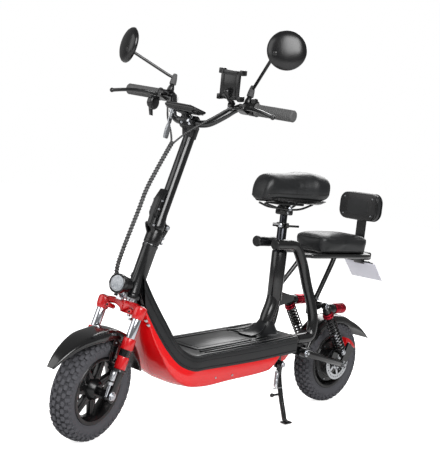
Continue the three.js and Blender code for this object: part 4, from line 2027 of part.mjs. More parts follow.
const kickStopReach = 44;
const kickSpringX = -120;
const kickSpringRadius = 6;
const kickSpringWire = 1.6;
const kickSpringCurls = 7;
const kickSpringTop = 172;
const kickSpringBottom = 118;

/** The stand's return spring. */
function addKickSpring() {
  const spring = coil(kickSpringRadius, kickSpringWire, kickSpringBottom, kickSpringTop, kickSpringCurls, 'kickstand spring');
  add(group, 'kickstand_spring', at(spring, kickSpringX, kickSpringY(), 0), steel, 0.35, 0.9);
}

// Rear suspension and wheel

/** The swing arm: bored bosses, tapered arms, a cross tube, shock lugs, dropouts and the axle. */
function addSwingArm() {
  const axle = [rearAxleX, swingAxleHalfSpacing, wheelRadius];
  const boss = [swingPivotX, swingPivotHalfSpacing, swingPivotHeight];
  const armAt = (share) => boss.map((value, i) => between(value, axle[i], share));
  const crossShare = 0.22;
  const cross = armAt(crossShare);
  const pieces = [barBetween([cross[0], -cross[1], cross[2]], cross, swingArmRadius * 0.9, 10)];
  for (const [, side] of sides) {
    const flip = ([x, y, z]) => [x, side * y, z];
    pieces.push(barBetween(flip(boss), flip(armAt(0.97)), swingArmRadius, 10, swingArmRadius * 0.84));
    pieces.push(barBetween(
      flip([boss[0], boss[1] - swingArmRadius * 0.86, boss[2]]),
      flip([boss[0], boss[1] + swingArmRadius * 0.86, boss[2]]),
      swingArmRadius * 1.15,
      9,
    ));
    const dropout = plateFrom([
      [axle[0] + swingArmRadius * 2.4, axle[2] + swingArmRadius * 1.4], [axle[0] - swingArmRadius * 0.4, axle[2] + swingArmRadius * 1.1],
      [axle[0] - swingArmRadius * 1.3, axle[2] + swingArmRadius * 0.3], [axle[0] - swingArmRadius * 1.1, axle[2] - swingArmRadius * 0.8],
      [axle[0] + swingArmRadius * 0.3, axle[2] - swingArmRadius * 1.1], [axle[0] + swingArmRadius * 2, axle[2] - swingArmRadius * 0.4],
    ], dropoutThickness, side * axle[1]);
    const lugInner = shockHalfSpacing - springRadius - springWire - fit * 2 - loopBracketThickness;
    const spacer = barBetween(
      [shockBottomX, side * (lugInner + fit), shockBottomHeight],
      [shockBottomX, side * (shockHalfSpacing - shockEyeWidth / 2 - fit), shockBottomHeight],
      shockBoltRadius * 1.6,
      8,
    );
    const lug = plateFrom([
      [shockBottomX - swingArmRadius * 1.1, shockBottomHeight], [shockBottomX - swingArmRadius * 0.4, shockBottomHeight - swingArmRadius * 3.4],
      [shockBottomX + swingArmRadius * 2.2, shockBottomHeight - swingArmRadius * 2.9], [shockBottomX + swingArmRadius * 0.9, shockBottomHeight + swingArmRadius * 0.5],
      [shockBottomX, shockBottomHeight + swingArmRadius * 0.9],
    ], loopBracketThickness, side * (lugInner + loopBracketThickness / 2));
    const boltEnd = shockHalfSpacing + shockEyeWidth / 2 + loopBracketThickness;
    const bolt = barBetween(
      [shockBottomX, side * (lugInner + fit), shockBottomHeight],
      [shockBottomX, side * boltEnd, shockBottomHeight],
      shockBoltRadius * 0.6,
      8,
    );
    const head = barBetween(
      [shockBottomX, side * (boltEnd - loopBracketThickness + fit * 2), shockBottomHeight],
      [shockBottomX, side * boltEnd, shockBottomHeight],
      shockBoltRadius * 1.7,
      6,
    );
    const nut = barBetween(
      [axle[0], side * axle[1], axle[2]],
      [axle[0], side * (axle[1] + dropoutThickness / 2 + axleNutLength), axle[2]],
      axleNutRadius,
      6,
    );
    pieces.push(dropout, lug, spacer, bolt, head, nut);
  }
  pieces.push(barBetween([axle[0], -axle[1], axle[2]], axle, rearAxleRadius, 9));
  pieces.push(barBetween(
    [axle[0], rearDiscY + discThickness / 2 + slideGap, axle[2]],
    [axle[0], axle[1], axle[2]],
    rearAxleRadius * 1.5,
    8,
  ));
  pieces.push(barBetween(
    [axle[0], -motorHalfWidth - slideGap, axle[2]],
    [axle[0], -axle[1], axle[2]],
    rearAxleRadius * 1.5,
    8,
  ));
  const mountX = axle[0] + rearDiscRadius * Math.sin(rearCalliperTurn) * 1.05;
  pieces.push(plateFrom([
    [axle[0] + swingArmRadius, axle[2] + swingArmRadius * 0.4], [axle[0] - swingArmRadius * 1.2, axle[2]],
    [mountX - rearCalliperHeight * 0.55, axle[2] + rearDiscRadius * 0.9], [mountX + rearCalliperHeight * 0.5, axle[2] + rearDiscRadius * 1.28],
  ].reverse(), dropoutThickness, axle[1]));
  const pivotHole = barBetween(
    [swingPivotX, -boss[1] * 2, swingPivotHeight],
    [swingPivotX, boss[1] * 2, swingPivotHeight],
    pivotPinRadius + slideGap,
    9,
  );
  add(group, 'swing_arm', cut(join(...pieces), pivotHole), castRed, 0.4, 0.3);
}

const dropoutThickness = 8;
const rearAxleRadius = 8;
const motorHalfWidth = 34;
const rearCalliperTurn = -36 * degrees;
const rearCalliperLength = 46;
const rearCalliperHeight = 34;

/** The rear calliper on the swing arm's plate. */
function addRearCalliper() {
  const mountY = swingAxleHalfSpacing - dropoutThickness / 2 - fit;
  const body = calliper(rearCalliperLength, rearCalliperHeight, rearDiscY, mountY);
  const reach = rearDiscRadius - rearCalliperHeight * 0.04;
  add(group, 'rear_calliper', body.rotateY(rearCalliperTurn).translate(
    rearAxleX + reach * Math.sin(rearCalliperTurn),
    0,
    wheelRadius + reach * Math.cos(rearCalliperTurn),
  ), red, 0.35, 0.2);
}

/** The rear wheel: tyre, hub motor with finned covers, and the disc. */
function addRearWheel() {
  const place = (geometry) => at(geometry, rearAxleX, 0, wheelRadius);
  add(group, 'rear_tyre', place(tyre()), rubberBlack, 0.9);
  const profile = rimProfile();
  const ring = turnedSide(profile.points, 16);
  const bore = rearAxleRadius + wheelSpinClearance;
  const drumRadius = profile.inner + rimWallThickness / 2;
  const rimSide = tyreWidth / 2 * tyreSectionShares[1][1] + fit;
  const half = [
    [0, motorHalfWidth], [rotorBore * 1.4, motorHalfWidth], [drumRadius * 0.4, motorHalfWidth * 0.9],
    [drumRadius * 0.82, rimSide * 0.96], [drumRadius * 0.9, rimSide * 0.7], [drumRadius, rimSide * 0.4],
  ];
  const drum = turnedSide([...half.map(([radius, y]) => [radius, -y]), ...half.reverse()], 16);
  const hubEnd = rearDiscY + discThickness / 2;
  const carrier = ringSide(bore, rotorBore - fit, 0, hubEnd, 9);
  const axle = barBetween([0, -overrun * 4, 0], [0, overrun * 4, 0], bore, 9);
  add(group, 'hub_motor', place(cut(join(ring, drum, carrier), axle)), satinBlack, 0.45, 0.3);
  add(group, 'rear_disc', place(brakeDisc(rearDiscRadius, discThickness, rotorBore, rearDiscY)), steel, 0.3, 0.9);
}

/** The rear mudguard with its front bracket on the cross tube and its side stays. */
function addRearFender() {
  const shell = mudguard({
    fromAngle: rearFenderFront,
    toAngle: rearFenderRear,
    radiusAt: (angle) => rearFenderRadius
      + (rearFenderTipRadius - rearFenderRadius) * (Math.max(0, angle - rearFenderFlare) / (rearFenderRear - rearFenderFlare)) ** 1.4,
    halfWidth: fenderHalfWidth,
    skirtAt: (share) => fenderSkirt * (0.35 + 0.65 * Math.min(1, share * 6, (1 - share) * 4)),
    thickness: fenderThickness,
    steps: 9,
  });
  const crossX = between(swingPivotX, rearAxleX, 0.22) - rearAxleX - swingArmRadius * 0.9 - fit;
  const crossZ = between(swingPivotHeight, wheelRadius, 0.22) - wheelRadius;
  const foot = [rearFenderRadius * Math.cos(rearFenderFront), rearFenderRadius * Math.sin(rearFenderFront)];
  const bracket = plateFrom([
    [crossX, crossZ + swingArmRadius * 0.5], [foot[0] + fenderThickness * 2, crossZ + swingArmRadius * 1.6],
    [foot[0] - fenderThickness / 2, foot[1] + swingArmRadius * 2.2], [foot[0] - fenderThickness / 2, foot[1] + fenderThickness],
    [foot[0] + fenderThickness, foot[1]], [crossX, crossZ - swingArmRadius * 0.5],
  ], fenderHalfWidth * 1.2);
  add(group, 'rear_fender', at(join(shell, bracket), rearAxleX, 0, wheelRadius), black, 0.25);
}

const rearFenderFront = 16 * degrees;
const rearFenderRear = 158 * degrees;
const rearFenderFlare = 118 * degrees;
const rearFenderRadius = 169;
const rearFenderTipRadius = 207;

/** One shock, drawn along +Z from its lower eye and then laid on its line: body, rod and spring. */
function addShock(label, side) {
  const run = [shockTopX - shockBottomX, shockTopHeight - shockBottomHeight];
  const length = Math.hypot(...run);
  const lean = Math.atan2(run[0], run[1]);
  const collarTop = length - shockCollarDrop;
  const bodyBottom = length * 0.42;
  const seatBottom = shockSeatRise;
  const place = (geometry) => sided(
    geometry.rotateY(lean).translate(shockBottomX, shockHalfSpacing, shockBottomHeight),
    side,
  );
  const eye = (z) => barBetween([0, -shockEyeWidth / 2, z], [0, shockEyeWidth / 2, z], shockEyeRadius, 9);
  const eyeHole = (z, radius) => barBetween([0, -shockEyeWidth, z], [0, shockEyeWidth, z], radius, 8);
  const collarThickness = shockEyeRadius * 0.7;
  const body = turnedUp([
    [0, bodyBottom], [shockBodyRadius * 0.8, bodyBottom], [shockBodyRadius * 0.8, collarTop - collarThickness],
    [springRadius + springWire, collarTop - collarThickness], [springRadius + springWire, collarTop],
    [springRadius, collarTop + collarThickness * 0.3], [springRadius, collarTop + collarThickness],
    [shockBodyRadius, collarTop + collarThickness * 1.4], [shockBodyRadius, length - shockEyeRadius * 1.15],
    [shockEyeWidth / 2, length - shockEyeRadius * 0.8], [shockEyeWidth / 2, length - shockEyeRadius * 0.2],
    [0, length - shockEyeRadius * 0.2],
  ], 10);
  const reservoir = at(turnedUp([
    [0, 0], [shockTankRadius * 0.7, 0], [shockTankRadius, shockTankRadius * 0.3], [shockTankRadius, shockTankLength - shockTankRadius * 0.3],
    [shockTankRadius * 0.7, shockTankLength], [0, shockTankLength],
  ], 9).rotateY(-turn / 4), -shockBodyRadius, 0, 0).rotateY(-lean);
  const tankTurned = at(reservoir, 0, 0, length - shockEyeRadius * 1.1);
  const guide = barBetween([0, 0, bodyBottom - overrun], [0, 0, bodyBottom + length * 0.2], shockRodRadius + slideGap, 8);
  add(group, `shock_body_${label}`, place(cut(join(body, eye(length), tankTurned), guide, eyeHole(length, shockBoltRadius + slideGap))), red, 0.3, 0.2);
  const rod = barBetween([0, 0, shockEyeRadius * 0.5], [0, 0, bodyBottom + length * 0.08], shockRodRadius, 8);
  const seat = turnedUp([
    [0, shockEyeRadius * 0.2], [shockEyeWidth / 2, shockEyeRadius * 0.2], [shockEyeWidth / 2, shockEyeRadius * 0.8],
    [shockBodyRadius * 0.8, shockEyeRadius * 1.15], [springRadius + springWire, seatBottom - collarThickness * 0.4],
    [springRadius + springWire, seatBottom], [shockBodyRadius * 0.7, seatBottom], [shockBodyRadius * 0.7, seatBottom + collarThickness * 0.4],
    [0, seatBottom + collarThickness * 0.4],
  ], 10);
  add(group, `shock_rod_${label}`, place(cut(join(rod, seat, eye(0)), eyeHole(0, shockBoltRadius * 0.6 + lowerEyePlay))), steel, 0.3, 0.9);
  const coilBottom = seatBottom + springWire + fit;
  const coilTop = collarTop - collarThickness - springWire - fit;
  const spring = coil(springRadius, springWire, coilBottom, coilTop, springCurls, `${label} shock spring`);
  add(group, `shock_coil_${label}`, place(spring), black, 0.4, 0.3);
}

const shockCollarDrop = 34;
const shockSeatRise = 22;
const shockEyeRadius = 11;
const shockBodyRadius = 13;
const shockTankRadius = 18;
const shockTankLength = 84;
const shockRodRadius = 6;
const lowerEyePlay = 1.6;

// Cables

/** The wrapped cable bundle from the bars to the neck, given in the steering frame when straight ahead. */
function addCables() {
  const points = [
    [60, -8, 738], [79, -2, 699], [94, -3, 637], [106, -4, 574], [108, -4, 508], [106, -8, 449], [92, -20, 392],
    [66, -36, 340], [38, -40, 300], [29, -37, 280], [27, -36, 267.6],
  ];
  const toLeft = [
    [66, -6, 726], [58, 22, 770], [48, 58, 812], [32, 88, 850], [18, 101, 874], [9.6, 108, 885.8], [8.66, 113.6, 886.95],
  ];
  const toRight = [
    [66, -8, 726], [56, -16, 742], [46, -34, 768], [42, -66, 812], [28, -92, 852], [9.6, -108, 885.8],
    [8.66, -113.6, 886.95],
  ];
  const bundle = join(
    tubeAlong(points, cableRadius, 6, 18),
    tubeAlong(toLeft, cableRadius * 0.45, 5, 9),
    tubeAlong(toRight, cableRadius * 0.45, 5, 9),
  );
  add(steered, 'cable_bundle', bundle, black, 0.6);
}

const cableRadius = 7;

// The whole scooter

addFrontWheel();
addForkCrown();
for (const [label, side] of sides) addForkLower(label, side);
addFrontFender();
addFrontCalliper();
addHeadlight();
addStemBase();
addStemTube();
addFoldLever();
addHandlebar();
for (const [label, side] of sides) {
  addGrip(label, side);
  addBrakeLever(label, side);
  addMirror(label, side);
}
addLeftCluster();
addRightCluster();
addThrottlePaddle();
addDisplay();
addKey();
addPhoneHolder();
addCables();
addBearings();
addMainFrame();
for (const [label, side] of sides) {
  addLoop(label, side);
  addBodyPanel(label, side);
}
addDeckShell();
addPowerPack();
addSeatPost();
addSaddle();
addSeatLever();
addRack();
addRearSeat();
addTailLamp();
addPlateBracket();
addKickstand();
addKickSpring();
addSwingArm();
addRearCalliper();
addRearWheel();
addRearFender();
for (const [label, side] of sides) addShock(label, side);

export default group;
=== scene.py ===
"""Looks of a seated electric scooter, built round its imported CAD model.

Lengths in this file are in millimetres unless a name ends in _m. The scooter points along +X, its
left side along +Y and up is +Z. Parts that turn with the fork are drawn in the steering frame, whose
Z runs up the steering axis.
"""

import json
import logging
from dataclasses import dataclass
from enum import Enum
from math import atan2, copysign, cos, pi, radians, sin
from typing import Sequence

import bmesh
import bpy
from mathutils import Matrix, Vector
from mathutils.bvhtree import BVHTree


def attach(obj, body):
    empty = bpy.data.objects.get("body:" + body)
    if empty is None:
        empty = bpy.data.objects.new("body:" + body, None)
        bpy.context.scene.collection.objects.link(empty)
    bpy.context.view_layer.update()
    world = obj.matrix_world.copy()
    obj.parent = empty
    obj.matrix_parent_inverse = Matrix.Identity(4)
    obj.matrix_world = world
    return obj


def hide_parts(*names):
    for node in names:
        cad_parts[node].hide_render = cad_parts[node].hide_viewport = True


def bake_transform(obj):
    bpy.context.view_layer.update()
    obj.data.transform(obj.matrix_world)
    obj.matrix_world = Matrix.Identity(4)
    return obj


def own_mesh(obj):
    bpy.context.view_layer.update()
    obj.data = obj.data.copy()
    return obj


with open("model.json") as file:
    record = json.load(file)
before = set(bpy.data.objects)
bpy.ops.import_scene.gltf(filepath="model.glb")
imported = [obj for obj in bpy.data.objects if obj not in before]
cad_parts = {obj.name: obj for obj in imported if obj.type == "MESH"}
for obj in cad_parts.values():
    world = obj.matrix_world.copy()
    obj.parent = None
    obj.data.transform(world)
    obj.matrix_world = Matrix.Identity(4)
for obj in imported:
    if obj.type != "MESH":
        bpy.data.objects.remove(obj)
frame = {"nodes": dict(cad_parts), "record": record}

logging.basicConfig(level=logging.INFO, format="%(message)s")
LOG = logging.getLogger("scooter")

MM = 0.001
TURN = 2 * pi
BODY_OF = {
    node: body for body, nodes in frame["record"]["behaviour"]["bodies"].items() for node in nodes
}
HOME = Matrix.Identity(4)
SIDES = (("left", 1), ("right", -1))
BOTH = (1, -1)
Place = Sequence[float]
Profile = Sequence[tuple[float, float]]
Line = Sequence[Place]
Rows = Sequence[Line]
Rings = list[list[Vector]]
CLOTH_FRAMES = 20


def shift(x: float, y: float, z: float) -> Matrix:
    """A move along the three axes."""
    return Matrix.Translation((x, y, z))


def spun(degrees: float, axis: str) -> Matrix:
    """A turn about an axis."""
    return Matrix.Rotation(radians(degrees), 4, axis)


def round_y(radius: float, angle: float, y: float = 0.0) -> Vector:
    """A point at a radius and an angle round the Y axis."""
    return Vector((radius * cos(angle), y, radius * sin(angle)))


def round_z(radius: float, angle: float, z: float) -> Vector:
    """A point at a radius and an angle round the Z axis."""
    return Vector((radius * cos(angle), radius * sin(angle), z))


def along(start: Place, end: Place) -> Matrix:
    """A place at start whose Z points to end."""
    run = Vector(end) - Vector(start)
    return Matrix.Translation(
        Vector(start)) @ Vector((0, 0, 1)).rotation_difference(run).to_matrix().to_4x4()


# The steering frame, straight ahead and turned as in the photograph, and the wheels' axes.
RAKE_DEG = -18
REST_TURN_DEG = 15
STRAIGHT = shift(498.615, 0, 139.802) @ spun(RAKE_DEG, "Y")
STEERED = STRAIGHT @ spun(REST_TURN_DEG, "Z")
ACROSS = along((0, 0, 0), (0, 1, 0))
DISPLAY_TILT_DEG = 10
DISPLAY = STEERED @ (shift(68, 0, 842) @ spun(DISPLAY_TILT_DEG, "Y"))
FRONT_HUB = STEERED @ shift(33, 0, 0)
REAR_HUB = shift(-520, 0, 150)


def linear(hex_colour: str) -> tuple[float, float, float, float]:
    """An sRGB hex colour as linear red, green, blue and an alpha of one."""
    values = [int(hex_colour[i:i + 2], 16) / 255 for i in (1, 3, 5)]
    return tuple(v / 12.92 if v <= 0.04045 else ((v + 0.055) / 1.055) ** 2.4 for v in values) + (1.0,)


def blend(low: float, high: float, share: float) -> float:
    """The value at a share of the way from low to high."""
    return low + (high - low) * share


def add_node(
        tree: bpy.types.NodeTree, kind: str, settings: dict | None = None,
        links: dict | None = None) -> bpy.types.Node:
    """Adds a shader node.

    Args:
        tree: The node tree.
        kind: The node's type name.
        settings: Attributes by name, and input values by socket name.
        links: Output sockets by the name of the input that they feed.
    Returns:
        The new node.
    """
    node = tree.nodes.new(kind)
    for name, value in (settings or {}).items():
        if hasattr(node, name):
            setattr(node, name, value)
        else:
            node.inputs[name].default_value = value
    for name, socket in (links or {}).items():
        tree.links.new(socket, node.inputs[name])
    return node


class Grain(Enum):
    """The fine relief of a surface."""

    SMOOTH = "smooth"
    FINE = "fine"
    PEBBLE = "pebble"
    BRUSHED = "brushed"


@dataclass(frozen=True)
class Finish:
    """A real material with the way its surface was made.

    Args:
        name: The material's name.
        colour: Its main colour.
        tint: The colour that it drifts to.
        roughness: Its roughness.
        metallic: One for bare metal.
        coat: The weight of a clear coat.
        grain: Its relief.
        grain_mm: The size of the relief.
        relief_mm: The depth of the relief.
        drift_mm: The size of the colour's drift.
        sheen: The weight of a soft sheen.
        gloss: The strength of its mirror reflection, a half for a plain dielectric.
    """

    name: str
    colour: str
    tint: str
    roughness: float
    metallic: float = 0.0
    coat: float = 0.0
    grain: Grain = Grain.FINE
    grain_mm: float = 1.0
    relief_mm: float = 0.05
    drift_mm: float = 60.0
    sheen: float = 0.0
    gloss: float = 0.5

    def material(self) -> bpy.types.Material:
        """The finish as a node material, made once."""
        made = bpy.data.materials.get(self.name)
        if made:
            return made
        made = bpy.data.materials.new(self.name)
        made.use_nodes = True
        tree = made.node_tree
        shader = tree.nodes["Principled BSDF"]
        here = add_node(tree, "ShaderNodeTexCoord").outputs["Object"]
        drift = add_node(
            tree, "ShaderNodeTexNoise", {"Scale": 1 / (self.drift_mm * MM), "Detail": 3.0},
            {"Vector": here}).outputs["Fac"]
        mixed = add_node(tree, "ShaderNodeMix", {"data_type": "RGBA"}, {"Factor": drift})
        mixed.inputs["A"].default_value = linear(self.colour)
        mixed.inputs["B"].default_value = linear(self.tint)
        tree.links.new(mixed.outputs["Result"], shader.inputs["Base Color"])
        rough = add_node(
            tree, "ShaderNodeMapRange", {"To Min": self.roughness * 0.85,
             "To Max": min(1.0, self.roughness * 1.15)}, {"Value": drift})
        tree.links.new(rough.outputs["Result"], shader.inputs["Roughness"])
        shader.inputs["Metallic"].default_value = self.metallic
        shader.inputs["Coat Weight"].default_value = self.coat
        shader.inputs["Coat Roughness"].default_value = 0.06
        shader.inputs["Sheen Weight"].default_value = self.sheen
        shader.inputs["Specular IOR Level"].default_value = self.gloss
        height = self.relief(tree, here)
        if height:
            bump = add_node(
                tree, "ShaderNodeBump", {"Strength": 0.6, "Distance": self.relief_mm * MM},
                {"Height": height})
            tree.links.new(bump.outputs["Normal"], shader.inputs["Normal"])
        return made

    def relief(self, tree: bpy.types.NodeTree, here: bpy.types.NodeSocket) -> bpy.types.NodeSocket | None:
        """Adds the pattern of the relief.

        Args:
            tree: The node tree.
            here: The object's coordinates.
        Returns:
            The height, or nothing for a smooth surface.
        """
        size = 1 / (self.grain_mm * MM)
        if self.grain is Grain.FINE:
            noise = add_node(tree, "ShaderNodeTexNoise", {"Scale": size, "Detail": 2.0}, {"Vector": here})
            return noise.outputs["Fac"]
        if self.grain is Grain.PEBBLE:
            cells = add_node(
                tree, "ShaderNodeTexVoronoi", {"Scale": size, "feature": "SMOOTH_F1"}, {"Vector": here})
            return cells.outputs["Distance"]
        if self.grain is Grain.BRUSHED:
            long = add_node(tree, "ShaderNodeMapping", {"Scale": (1.0, 1.0, 0.04)}, {"Vector": here})
            noise = add_node(tree, "ShaderNodeTexNoise", {"Scale": size}, {"Vector": long.outputs["Vector"]})
            return noise.outputs["Fac"]
        return None


# Powder coat on steel tube: an even satin black with the faintest orange peel.
POWDER = Finish("powder_coated_steel", "#0b0b0c", "#101112", 0.2, coat=0.2, grain_mm=3.0, relief_mm=0.04)
# Satin paint on castings, a little rougher than the tubes' coat.
CASTING = Finish(
    "painted_cast_aluminium", "#0b0b0c", "#111112", 0.25, grain_mm=1.6, relief_mm=0.12, gloss=0.4)
# Textured deck paint: rough enough to grip a shoe.
DECK_COAT = Finish(
    "textured_deck_paint", "#131415", "#1a1b1d", 0.33, grain_mm=1.4, relief_mm=0.14, gloss=0.35)
# Moulded ABS: fine spark-eroded grain.
ABS = Finish("moulded_abs", "#0a0a0b", "#0f0f10", 0.26, grain_mm=0.8, relief_mm=0.05)
# Glossy moulded polypropylene of the mudguards.
GLOSS_BLACK = Finish("polished_polypropylene", "#070708", "#0b0b0c", 0.18, coat=0.4, grain=Grain.SMOOTH)
# Red enamel under clear lacquer on the body panels.
RED_ENAMEL = Finish(
    "lacquered_red_enamel", "#d60a10", "#c4070d", 0.2, coat=0.4, grain=Grain.SMOOTH, drift_mm=220.0)
# Red paint on the cast fork and calliper, with a softer gloss than the panels.
RED_CASTING = Finish(
    "red_painted_casting", "#c40a12", "#ad070d", 0.24, coat=0.3, grain_mm=2.2, relief_mm=0.05)
# Red anodised aluminium of the shock collars and tanks.
RED_ANODISED = Finish(
    "red_anodised_aluminium", "#a8182c", "#8d1022", 0.24, metallic=0.85, grain=Grain.BRUSHED, grain_mm=0.7)
# Hard chrome of the fork's upper tubes and dampers, and of the shocks' rods.
HARD_CHROME = Finish("hard_chrome", "#c9cbd0", "#b9bbc1", 0.14, metallic=1.0, grain=Grain.SMOOTH)
# Black chrome of the seat post: dark, but still a mirror.
BLACK_CHROME = Finish("black_chrome", "#3a3b3f", "#2e2f33", 0.14, metallic=1.0, grain=Grain.SMOOTH)
# Zinc plated bolts and nuts.
ZINC = Finish("zinc_plated_steel", "#c9cbcf", "#b4b7bb", 0.28, metallic=1.0, grain_mm=1.2, relief_mm=0.02)
# Ground stainless steel of the brake discs and the head bearings.
STEEL = Finish(
    "ground_stainless_steel", "#c7c9cc", "#b8babd", 0.3, metallic=1.0, grain_mm=2.0, relief_mm=0.02)
# Tyre tread compound: dull black that greys a little.
TYRE_RUBBER = Finish(
    "tyre_rubber", "#0a0a0b", "#121213", 0.42, grain_mm=1.8, relief_mm=0.15, drift_mm=30.0, gloss=0.05)
# Moulded rubber of the grips, the mirrors' boots and the cables' sheaths.
RUBBER = Finish("grip_rubber", "#0e0e0f", "#141415", 0.5, grain_mm=1.0, relief_mm=0.1, gloss=0.3)
# Pebbled PVC leather of the saddle, grain about 2 mm across, drawn a little coarser than life.
SEAT_LEATHER = Finish(
    "pebbled_pvc_leather", "#101112", "#17181a", 0.4, grain=Grain.PEBBLE, grain_mm=2.6, relief_mm=0.22,
    drift_mm=45.0, sheen=0.04, gloss=0.4)
# The welted edge of the seats, smoother than the cover.
WELT = Finish("welted_pvc_edge", "#0b0c0d", "#111213", 0.4, grain_mm=1.0)
# Spiral wrap of polyethylene round the cables.
SPIRAL_WRAP = Finish("polyethylene_spiral_wrap", "#0e0f10", "#151617", 0.3, grain=Grain.SMOOTH, coat=0.2)
# Clear polycarbonate lens of the headlight over its bright reflectors.
LAMP_LENS = Finish(
    "clear_polycarbonate_lens", "#9da1a6", "#6f7479", 0.12, coat=1.0, grain=Grain.PEBBLE, grain_mm=7.0,
    relief_mm=0.9, drift_mm=6.0)
# Red acrylic of the tail lamp.
RED_ACRYLIC = Finish(
    "red_acrylic_lens", "#8f0d14", "#6d080e", 0.15, coat=1.0, grain=Grain.PEBBLE, grain_mm=5.0,
    relief_mm=0.4)
# Bare white painted sheet for the plate.
WHITE_SHEET = Finish(
    "white_painted_sheet", "#e6e6ef", "#dddde8", 0.35, coat=0.3, grain_mm=4.0, relief_mm=0.02)
# Silvered mirror glass.
MIRROR_GLASS = Finish("silvered_mirror_glass", "#eef0f2", "#e6e9ec", 0.03, metallic=1.0, grain=Grain.SMOOTH)
# Screen glass of the display.
SCREEN_GLASS = Finish("dark_screen_glass", "#0b0d12", "#12161f", 0.08, coat=1.0, grain=Grain.SMOOTH)
# Blue shrink wrap round the battery.
SHRINK_WRAP = Finish("blue_pvc_shrink_wrap", "#2f4a8a", "#27407a", 0.4, grain_mm=8.0, relief_mm=0.3)
# Grey zinc alloy of the key.
ZINC_ALLOY = Finish("cast_zinc_alloy", "#8d8f92", "#7c7e81", 0.42, metallic=0.7, grain_mm=1.0)


def curve_through(points: Line, fine: int = 8) -> list[Vector]:
    """Points on a smooth curve through given points.

    Args:
        points: The points that the curve passes.
        fine: How many points stand for each stretch.
    Returns:
        The curve's points, with both ends.
    """
    given = [Vector(point) for point in points]
    held = [2 * given[0] - given[1], *given, 2 * given[-1] - given[-2]]
    curve = []
    for a, b, c, d in zip(held, held[1:], held[2:], held[3:]):
        knots = [0.0]
        for u, v in ((a, b), (b, c), (c, d)):
            knots.append(knots[-1] + max(1e-6, (v - u).length ** 0.5))
        t0, t1, t2, t3 = knots
        for step in range(fine):
            t = blend(t1, t2, step / fine)
            one = a.lerp(b, (t - t0) / (t1 - t0))
            two = b.lerp(c, (t - t1) / (t2 - t1))
            three = c.lerp(d, (t - t2) / (t3 - t2))
            four = one.lerp(two, (t - t0) / (t2 - t0))
            five = two.lerp(three, (t - t1) / (t3 - t1))
            curve.append(four.lerp(five, (t - t1) / (t2 - t1)))
    curve.append(given[-1])
    return curve


def frames_along(path: Sequence[Vector]) -> list[Matrix]:
    """Places along a path, each with its Z along the path and turned as little as possible."""
    ways = [(b - a).normalized() for a, b in zip(path, path[1:])]
    tangents = [ways[0], *[(a + b).normalized() for a, b in zip(ways, ways[1:])], ways[-1]]
    turn = Vector((0, 0, 1)).rotation_difference(tangents[0])
    places = []
    before = tangents[0]
    for point, tangent in zip(path, tangents):
        turn = before.rotation_difference(tangent) @ turn
        before = tangent
        places.append(Matrix.Translation(point) @ turn.to_matrix().to_4x4())
    return places


def mirrored(side: int) -> Matrix:
    """The left side as it is, or turned over to the right."""
    return HOME if side > 0 else Matrix.Scale(-1, 4, (0, 1, 0))


def rounded(width: float, height: float, radius: float, corner: int = 4) -> list[tuple[float, float]]:
    """A rounded rectangle round the origin, anticlockwise, with so many steps in each corner."""
    held = min(radius, width / 2, height / 2)
    points = []
    for quarter, (x, y) in enumerate(((1, 1), (-1, 1), (-1, -1), (1, -1))):
        for step in range(corner + 1):
            angle = TURN / 4 * (quarter + step / corner)
            points.append(
                (x * (width / 2 - held) + held * cos(angle), y * (height / 2 - held) + held * sin(angle)))
    return points


def both_sides(half: Profile, shared: bool = False) -> list[tuple[float, float]]:
    """A ring's profile from its one side, where shared says that the last point lies in the middle."""
    return [*half, *((radius, -side) for radius, side in reversed(half[:-1] if shared else half))]


def grid_through(rows: Rows) -> bmesh.types.BMesh:
    """A mesh of quads through rows that have as many points each."""
    shape = bmesh.new()
    bmesh.ops.create_grid(shape, x_segments=len(rows[0]) - 1, y_segments=len(rows) - 1, size=1)
    order = sorted(shape.verts, key=lambda v: (round(v.co.y, 5), round(v.co.x, 5)))
    for vert, point in zip(order, [point for row in rows for point in row]):
        vert.co = Vector(point)
    return shape


def moved_verts(grown: dict) -> list[bmesh.types.BMVert]:
    """The points among what an extrusion has made."""
    return [part for part in grown["geom"] if isinstance(part, bmesh.types.BMVert)]


